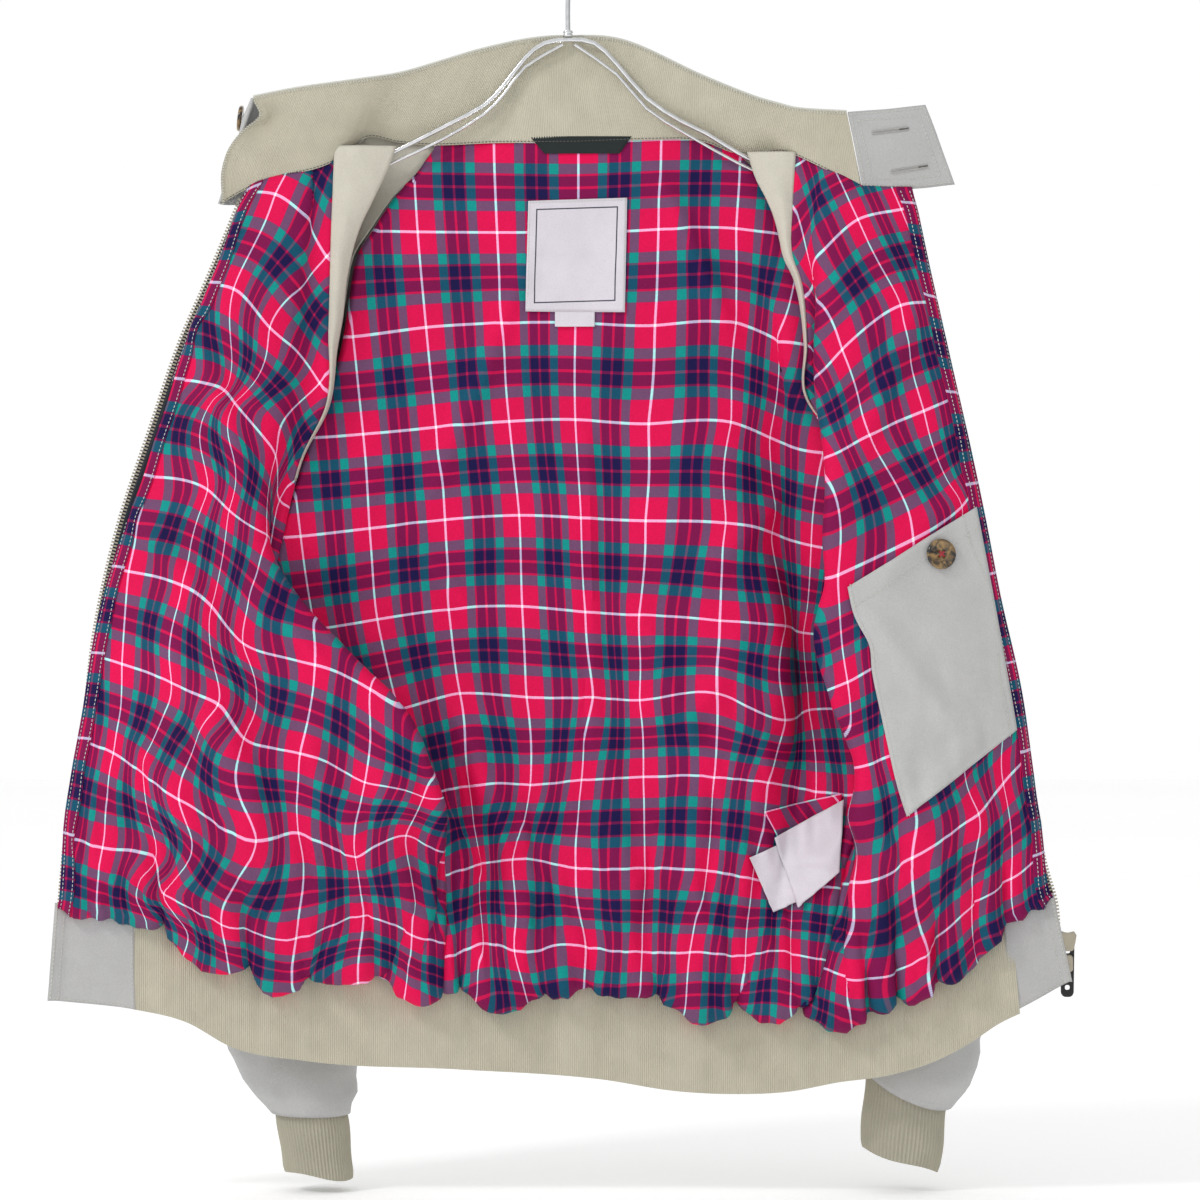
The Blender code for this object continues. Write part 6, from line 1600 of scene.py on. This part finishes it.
def build_slider():
    across, drop, depth = SLIDER
    pin = drop + PIN_DROP
    wide, tall, deep = SLIDER_SIZE
    outline = [(-wide / 2, -tall / 2 + 2), (-wide / 2 + 1.2, -tall / 2), (-0.8, -tall / 2 + 0.8),
               (0.8, -tall / 2 + 0.8), (wide / 2 - 1.2, -tall / 2), (wide / 2, -tall / 2 + 2),
               (wide / 2 - 0.9, 1.5), (wide / 2 - 1.8, tall / 2 - 0.8), (wide / 2 - 2.8, tall / 2),
               (-wide / 2 + 2.8, tall / 2), (-wide / 2 + 1.8, tall / 2 - 0.8), (-wide / 2 + 0.9, 1.5)]
    face = deep / 2 - SLIDER_PLATE / 2
    plates = [plate([outline], SLIDER_PLATE, SLIDER_EDGE, (across, drop, side * face)) for side in (-1, 1)]
    plates.append(plate([rounded(2.6, tall - 2.6, 1.0)], deep - 2.0, THIN_EDGE, (across, drop, depth)))
    arch = [(across, pin - 3.4, 2.8), (across, pin - 3.1, 5.9), (across, pin - 1.4, 7.4),
            (across, pin + 1.4, 7.4), (across, pin + 3.1, 5.9), (across, pin + 3.4, 2.8)]
    made = make_object("slider_body", joined("slider_body", plates), "zip_brass")
    kept(made, "jacket", "zip_slider")
    wire("slider_bridge", arch, BRIDGE_RADIUS, "zip_brass")
    box_mesh = joined("zip_end_box", [
        plate([rounded(BOX_SIZE[0], BOX_SIZE[1], 1.6)], BOX_SIZE[2] - 0.4, 0.8, BOX_PLACE),
        plate([rounded(BOX_SIZE[0] - 3, 1.4, 0.6, (0, 1.0))], BOX_SIZE[2], THIN_EDGE, BOX_PLACE)])
    kept(make_object("zip_end_box", box_mesh, "zip_brass"), "jacket", "zip_box")


def build_pull():
    across, drop, _ = SLIDER
    pin = drop + PIN_DROP
    wide, tall, thick = PULL_SIZE
    middle = pin - PULL_TOP + tall / 2
    lift = pin - middle
    eye_drop, eye = PULL_EYE
    open_drop, opening = PULL_OPENING
    outer = rounded(wide, tall, PULL_CORNER, taper=PULL_TAPER)
    holes = [rounded(opening[0], opening[1], OPENING_CORNER, (0, lift + open_drop)),
             rounded(eye[0], eye[1], EYE_CORNER, (0, lift + eye_drop))]
    body = plate([outer] + holes, thick, PULL_EDGE, (across, middle, PIN_DEPTH))
    inset, ridge_tall, corner, ridge_drop, rise = PULL_RIDGE
    ridge = plate([rounded(wide - inset, ridge_tall, corner, (0, lift + ridge_drop))], thick + rise, THIN_EDGE,
                  (across, middle, PIN_DEPTH))
    made = make_object("pull_tab", joined("pull_tab", [body, ridge]), "dark_metal")
    kept(made, "zip_pull", "zip_pull")


# ---------------------------------------------------------------- labels, pocket, buttons
def build_labels():
    for name, panel, away, finish, corners, node, curl in LABELS:
        grid = lay_on(flat_face(panel), between(corners, LABEL_CELLS, LABEL_CELLS), away)
        u, v = np.meshgrid(np.linspace(-1, 1, LABEL_CELLS), np.linspace(0, 1, LABEL_CELLS), indexing="ij")
        grid[..., 2] -= curl * (v ** 3) * (0.6 + 0.4 * np.cos(2.0 * u + len(name)))
        laid = None
        if finish == "checked_lining":
            laid = np.stack([run_length(grid, axis) / CHECK_PITCH[axis] for axis in (0, 1)], axis=-1)
        cloth(name, grid, 0.0, LABEL_WALL, finish, node, laid)
    label = lay_on(flat_face("back"), between(LABELS[0][4], LABEL_CELLS, LABEL_CELLS), LABELS[0][2])
    stitches("neck_label_stitches", [around_piece(label, LABEL_BORDER, STITCH_LIFT)], pitch=2.2,
             size=(1.6, 0.5, 0.4))


def flat_face(panel):
    """The part of a lining's seen face that faces the viewer."""
    return moved_out(SURFACES[panel], -LINING_OUT)[slice(*LININGS[panel][3])]


def build_pocket():
    down = np.linspace(0, 1, POCKET_CELLS[1])
    over = np.linspace(0, 1, POCKET_CELLS[0])[:, None, None]
    places = smooth(POCKET_LEFT, down) * (1 - over) + smooth(POCKET_RIGHT, down) * over
    shift = POCKET_WAVE[1] * np.exp(-((down - POCKET_WAVE[0]) / POCKET_WAVE[2]) ** 2)
    places[..., 0] += shift[None, :] * (1 - over[..., 0]) ** 3
    grid = lay_on(flat_face("front_left"), places, POCKET_LIFT)
    sag = np.sin(math.pi * over[..., 0]) * np.exp(-(down / POCKET_SAG[1]) ** 2)[None, :]
    waves = POCKET_RIPPLE[0] * (1 + ripple(grid[..., 0], grid[..., 1], POCKET_RIPPLE[1], 9))
    grid[..., 2] -= POCKET_SAG[0] * sag + waves
    SURFACES["pocket"] = grid
    cloth("pocket_cloth", grid, -POCKET_OUT, POCKET_CLOTH, "pocket_cotton",
          "inside_pocket")
    across_length, down_length = run_length(grid, 0), run_length(grid, 1)

    def line_at(distance, lengths, runs):
        line = [[np.interp(distance, length, run[:, k]) for k in range(3)]
                for length, run in zip(lengths, runs)]
        return np.array(line) - (0, 0, POCKET_STITCH_LIFT)

    hem, side = POCKET_ROWS
    rows = [line_at(hem, down_length, grid)[1:-1]]
    for distance in (side, float(across_length[-1].min()) - side):
        rows.append(line_at(distance, across_length.T, grid.transpose(1, 0, 2)))
    stitches("pocket_stitches", rows)


def holed_button(name, centre, axis, radius, node):
    """A dished button with four holes, sewn on with crossed thread."""
    wall = BUTTON_WALL
    profile = ((radius - 1.4, 0.0), (radius - 0.4, 0.35), (radius, 1.1), (radius, wall - 1.1),
               (radius - 0.3, wall - 0.35), (radius - 1.0, wall), (radius - 1.9, wall - 0.1),
               (radius - 2.7, wall - 0.7), (radius - 4.2, wall - 1.05), (0.6, wall - 1.15))
    centre = np.array(centre, float)
    points, faces, (face_axis, side, up) = lathe(profile, centre, axis, BUTTON_SIDES)
    disc = make_object(name, solid_mesh(name, points, faces), "tortoise_horn")
    cutters = []
    for x, y in ((1, 1), (-1, 1), (-1, -1), (1, -1)):
        place = centre + (side * x + up * y) * HOLE_PLACE * MM
        ends = ((HOLE_RADIUS, -1.0), (HOLE_RADIUS, wall + 1.0))
        cutters.append(solid_mesh("hole", *lathe(ends, place, axis, HOLE_SIDES)[:2]))
    cutter = linked("holes", joined("holes", cutters))
    change = disc.modifiers.new("holes", "BOOLEAN")
    change.operation, change.solver, change.object = "DIFFERENCE", "EXACT", cutter
    mesh = final_mesh(disc)
    disc.modifiers.clear()
    disc.data = mesh
    bpy.data.objects.remove(cutter)
    kept(disc, "jacket", node)
    threads = []
    for x, y in ((1, 1), (-1, 1)):
        low, high = wall - THREAD_FROM, wall - THREAD_TO + THREAD_CROSS * x
        for shift in (-THREAD_APART, THREAD_APART):
            ends = [centre + (side * x * k + up * y * k) * HOLE_PLACE * MM + (side * y - up * x) * shift * MM
                    for k in (-1, 1)]
            threads.append([ends[0] + face_axis * low * MM, ends[0] + face_axis * high * MM,
                            ends[1] + face_axis * high * MM, ends[1] + face_axis * low * MM])
    mesh = curve_mesh(name + "_thread", threads, THREAD_RADIUS, PLATE_ROUND)
    kept(make_object(name + "_thread", mesh, "red_thread"), "jacket")


def build_buttons():
    place = np.array(POCKET_BUTTON)
    beside = np.array([[place, place + (BUTTON_RADIUS, 0)], [place + (0, BUTTON_RADIUS), place]])
    spots = to_world(lay_on(SURFACES["pocket"], beside, BUTTON_OUT))
    axis = np.cross(spots[1, 0] - spots[0, 0], spots[0, 1] - spots[0, 0])
    axis = axis if axis[1] < 0 else -axis
    holed_button("horn_button_pocket", spots[0, 0], axis, BUTTON_RADIUS, "pocket_button")
    for number, (centre, facing) in enumerate(COLLAR_BUTTONS, 1):
        holed_button(f"horn_button_collar_{number}", to_world(np.array(centre)), facing,
                     COLLAR_BUTTON_RADIUS, f"collar_button_{number}")


# ---------------------------------------------------------------- hanger
def build_hanger_wires():
    wire("rod_upper", UPPER_ROD_RUN, UPPER_ROD, "bright_steel", "hanger_upper_rod")
    wire("rod_lower_right", LOWER_ROD_RIGHT, LOWER_ROD, "bright_steel", "hanger_lower_rod_right")
    wire("rod_lower_left", LOWER_ROD_LEFT, LOWER_ROD, "bright_steel", "hanger_lower_rod_left")
    middle = HOOK_WIRE - HOOK_RADIUS
    arc = [(HOOK_RADIUS * math.cos(turn), -NECK_DROP - middle - HOOK_RADIUS * math.sin(turn), 0)
           for turn in np.radians(HOOK_TURNS)]
    wire("hook_wire", STEM + tuple(arc), HOOK_WIRE, "bright_steel", "hanger_hook")
    radius, bottom, top = CLASP
    tall = top - bottom
    profile = ((radius - 0.9, 0.0), (radius - 0.2, 0.15), (radius, 0.6), (radius, tall * 0.4),
               (radius - 0.35, tall * 0.5), (radius - 0.35, tall * 0.6), (radius, tall * 0.7),
               (radius, tall - 0.6), (radius - 0.3, tall - 0.1), (radius - 1.2, tall))
    points, faces, _ = lathe(profile, np.array((0, 0, bottom * MM)), (0, 0, 1), CLASP_SIDES)
    kept(make_object("clasp_sleeve", solid_mesh("clasp_sleeve", points, faces), "bright_steel"), "jacket",
         "hanger_clasp")


# ---------------------------------------------------------------- stitch rows
def build_stitch_rows():
    """Rows of stitches along the fronts' edges, and on the outside beside the raglan seams."""
    for side, distances in STITCH_ROWS.items():
        grid = SURFACES["front_" + side]
        stitches(f"edge_stitches_{side}", [
            beside_edge(grid, distance, side == "left", EDGE_SPAN, LINING_OUT + EDGE_OUT)
            for distance in distances])
    outside, away = [], -SHELL_IN - SHELL_WALL - 2 * STITCH_LIFT
    for name in PANELS:
        for last, open_front in ((False, "front_left"), (True, "front_right")):
            if name != open_front:
                outside.append(beside_edge(SURFACES["shell_" + name], RAGLAN_INSET, last, RAGLAN_SPAN, away))
    stitches("outside_stitches", outside)


# ---------------------------------------------------------------- stage
def build_stage():
    """Pale floor, soft light from all round, and the camera straight in front."""
    bpy.ops.mesh.primitive_plane_add(size=FLOOR_SIZE, location=(0, 0, FLOOR_HEIGHT))
    floor = bpy.context.object
    floor.name = "studio_floor"
    floor.data.transform(floor.matrix_world)
    floor.matrix_world.identity()
    tree, shader = new_finish("studio_floor", 0.8, Specular_IOR_Level=0.1, Emission_Strength=FLOOR_GLOW)
    shader.inputs["Emission Color"].default_value = (1, 1, 1, 1)
    paint(tree, shader, FLOOR_COLOUR, mapped(tree, noise(tree, 1.5, 1.0), *NOISE_RANGE, *FLOOR_TONE))
    floor.data.materials.append(MATERIALS["studio_floor"])
    world = bpy.data.worlds.new("studio")
    bpy.context.scene.world = world
    world.use_nodes = True
    tree = world.node_tree
    direction = add(tree, "ShaderNodeTexCoord").outputs["Generated"]
    towards = add(tree, "ShaderNodeVectorMath", {0: direction, 1: LIGHT_FROM}, operation="DOT_PRODUCT")
    soft = mapped(tree, towards.outputs["Value"], -1.0, 1.0, *LIGHT_RANGE)
    depth = add(tree, "ShaderNodeSeparateXYZ", {0: direction}).outputs[1]
    level = add(tree, "ShaderNodeMix", {0: mapped(tree, depth, 0.0, 0.6, 0.0, 1.0), 2: soft, 3: BEHIND_LIGHT})
    sky = tree.nodes["Background"]
    sky.inputs[0].default_value = (1, 1, 1, 1)
    tree.links.new(level.outputs[0], sky.inputs[1])
    light = bpy.data.lights.new("key", "AREA")
    light.shape, light.size, light.size_y, light.energy = "RECTANGLE", LIGHT_SIZE, LIGHT_SIZE, LIGHT_POWER
    lamp = linked("key", light)
    lamp.location = LIGHT_PLACE
    lamp.rotation_euler = (Vector(AIM) - Vector(LIGHT_PLACE)).to_track_quat("-Z", "Y").to_euler()
    camera = bpy.data.cameras.new("front_camera")
    camera.sensor_width, camera.lens = SENSOR, SENSOR * CAMERA_AWAY / FRAME_WIDTH
    camera.clip_end = 50.0
    eye = linked("front_camera", camera)
    eye.location = (AIM[0], -CAMERA_AWAY, AIM[2])
    eye.rotation_euler = (math.radians(90), 0, 0)
    bpy.context.scene.camera = eye
    bpy.context.scene.view_settings.view_transform = "Standard"


def build_finishes(looks):
    build_crumple()
    build_twill()
    build_rib_lines()
    check_finish(looks)
    knit_finish("rib_knit", tuple(looks.khaki))
    # the cuffs' knit is the waistband's made darker: painted shade
    knit_finish("cuff_knit", tuple(CUFF_SHADE * value for value in looks.khaki))
    for name, tint, *surface in PLAIN_CLOTHS:
        plain_cloth(name, tuple(getattr(looks, tint)) if isinstance(tint, str) else tint, *surface)
    label_finish("framed_label", True)
    label_finish("plain_label", False)
    for row in METALS:
        metal_finish(*row)
    for row in THREADS:
        thread_finish(*row)
    tortoise_finish()
    repeat_tree("stitches", False)
    repeat_tree("teeth", True)


# ---------------------------------------------------------------- properties, operators, panel
def colour(name, default, description):
    return FloatVectorProperty(name=name, description=description, subtype="COLOR", size=3, min=0.0, max=1.0,
                               default=default)


def length(name, default, description):
    return FloatProperty(name=name, description=description, subtype="DISTANCE", unit="LENGTH", min=0.0,
                         max=0.01, precision=5, default=default)


class HarringtonLooks(PropertyGroup):
    stone: colour("Outer cloth", (0.49, 0.49, 0.485), "Colour of the outer cloth and of the tabs")
    khaki: colour("Rib knit", (0.56, 0.53, 0.42), "Colour of the collar, the cuffs and the waistband")
    beige: colour("Sleeve lining", (0.62, 0.59, 0.50), "Colour of the sleeves' plain lining")
    pocket: colour("Pocket", (0.545, 0.545, 0.54), "Colour of the inside pocket")
    red: colour("Red thread", (0.885, 0.0, 0.315), "Red of the check, as it is seen")
    green: colour("Green thread", (0.0, 0.58, 0.55), "Green of the check, as it is seen")
    navy: colour("Navy thread", (0.09, 0.05, 0.28), "Navy of the check, as it is seen")
    rose: colour("Fine line", (0.72, 0.06, 0.30), "Fine lines in the dark bars of the check")
    white: colour("White thread", (1.0, 0.98, 1.0), "White lines of the check")


class HarringtonSizes(PropertyGroup):
    ripple: length("Ripple height", 0.0013, "Height of the soft waves in the cloth")
    rib: length("Rib height", 0.0004, "Height of the wales of the waistband")
    stitch_pitch: length("Stitch pitch", 0.0028, "Distance from one stitch to the next")
    tooth_pitch: length("Tooth pitch", 0.0023, "Distance from one zip tooth to the next")


class HARRINGTON_OT_finishes(bpy.types.Operator):
    """Cloths, metals, threads and the trees that repeat stitches and teeth"""
    bl_idname = "harrington.finishes"
    bl_label = "Finishes"

    def execute(self, context):
        build_finishes(context.scene.harrington_looks)
        return {"FINISHED"}


class HARRINGTON_OT_lining(bpy.types.Operator):
    """Checked linings of the back and of both fronts"""
    bl_idname = "harrington.lining"
    bl_label = "Checked lining"

    def execute(self, context):
        build_linings()
        build_facings()
        return {"FINISHED"}


class HARRINGTON_OT_outer_cloth(bpy.types.Operator):
    """Outer cloth of the back and of both fronts"""
    bl_idname = "harrington.outer_cloth"
    bl_label = "Outer cloth"

    def execute(self, context):
        build_shells()
        return {"FINISHED"}


class HARRINGTON_OT_sleeves(bpy.types.Operator):
    """Sleeves with their plain lining, and their knitted cuffs"""
    bl_idname = "harrington.sleeves"
    bl_label = "Sleeves and cuffs"

    def execute(self, context):
        for sleeve in SLEEVES:
            build_sleeve(*sleeve)
        build_armhole_folds()
        for cuff in CUFFS:
            build_cuff_knit(cuff)
        return {"FINISHED"}


class HARRINGTON_OT_waistband(bpy.types.Operator):
    """Knitted waistband with its two cloth tabs"""
    bl_idname = "harrington.waistband"
    bl_label = "Waistband"

    def execute(self, context):
        build_band()
        return {"FINISHED"}


class HARRINGTON_OT_collar(bpy.types.Operator):
    """Collar with its two tabs"""
    bl_idname = "harrington.collar"
    bl_label = "Collar"

    def execute(self, context):
        build_collar_cloth()
        build_collar_tab_folded()
        return {"FINISHED"}


class HARRINGTON_OT_zip(bpy.types.Operator):
    """Zip tapes, teeth, slider, pull tab and end box"""
    bl_idname = "harrington.zip"
    bl_label = "Zip"

    def execute(self, context):
        build_zip_chain()
        build_slider()
        build_pull()
        return {"FINISHED"}


class HARRINGTON_OT_small_pieces(bpy.types.Operator):
    """Labels, inside pocket, buttons and rows of stitches"""
    bl_idname = "harrington.small_pieces"
    bl_label = "Labels, pocket, buttons, stitches"

    def execute(self, context):
        build_labels()
        build_pocket()
        build_buttons()
        build_stitch_rows()
        return {"FINISHED"}


class HARRINGTON_OT_hanger(bpy.types.Operator):
    """Steel hanger: rods, clasp and hook"""
    bl_idname = "harrington.hanger"
    bl_label = "Hanger"

    def execute(self, context):
        build_hanger_wires()
        return {"FINISHED"}


class HARRINGTON_OT_stage(bpy.types.Operator):
    """Floor, light and camera"""
    bl_idname = "harrington.stage"
    bl_label = "Stage"

    def execute(self, context):
        build_stage()
        return {"FINISHED"}


OPERATORS = (HARRINGTON_OT_finishes, HARRINGTON_OT_lining, HARRINGTON_OT_outer_cloth, HARRINGTON_OT_sleeves,
             HARRINGTON_OT_waistband, HARRINGTON_OT_collar, HARRINGTON_OT_zip, HARRINGTON_OT_small_pieces,
             HARRINGTON_OT_hanger, HARRINGTON_OT_stage)


class HARRINGTON_PT_pieces(bpy.types.Panel):
    """Colours of the jacket and its pieces"""
    bl_idname = "HARRINGTON_PT_pieces"
    bl_label = "Harrington jacket"
    bl_space_type = "VIEW_3D"
    bl_region_type = "UI"
    bl_category = "Jacket"

    def draw(self, context):
        for group, kind in (("harrington_looks", HarringtonLooks), ("harrington_sizes", HarringtonSizes)):
            for name in kind.__annotations__:
                self.layout.prop(getattr(context.scene, group), name)
        for piece in OPERATORS:
            self.layout.operator(piece.bl_idname)


def register():
    for made in (HarringtonLooks, HarringtonSizes, *OPERATORS, HARRINGTON_PT_pieces):
        bpy.utils.register_class(made)
    bpy.types.Scene.harrington_looks = PointerProperty(type=HarringtonLooks)
    bpy.types.Scene.harrington_sizes = PointerProperty(type=HarringtonSizes)


def unregister():
    del bpy.types.Scene.harrington_looks, bpy.types.Scene.harrington_sizes
    for made in (HARRINGTON_PT_pieces, *reversed(OPERATORS), HarringtonSizes, HarringtonLooks):
        bpy.utils.unregister_class(made)


def main():
    register()
    for piece in OPERATORS:
        group, name = piece.bl_idname.split(".")
        getattr(getattr(bpy.ops, group), name)()


if __name__ == "__main__":
    main()
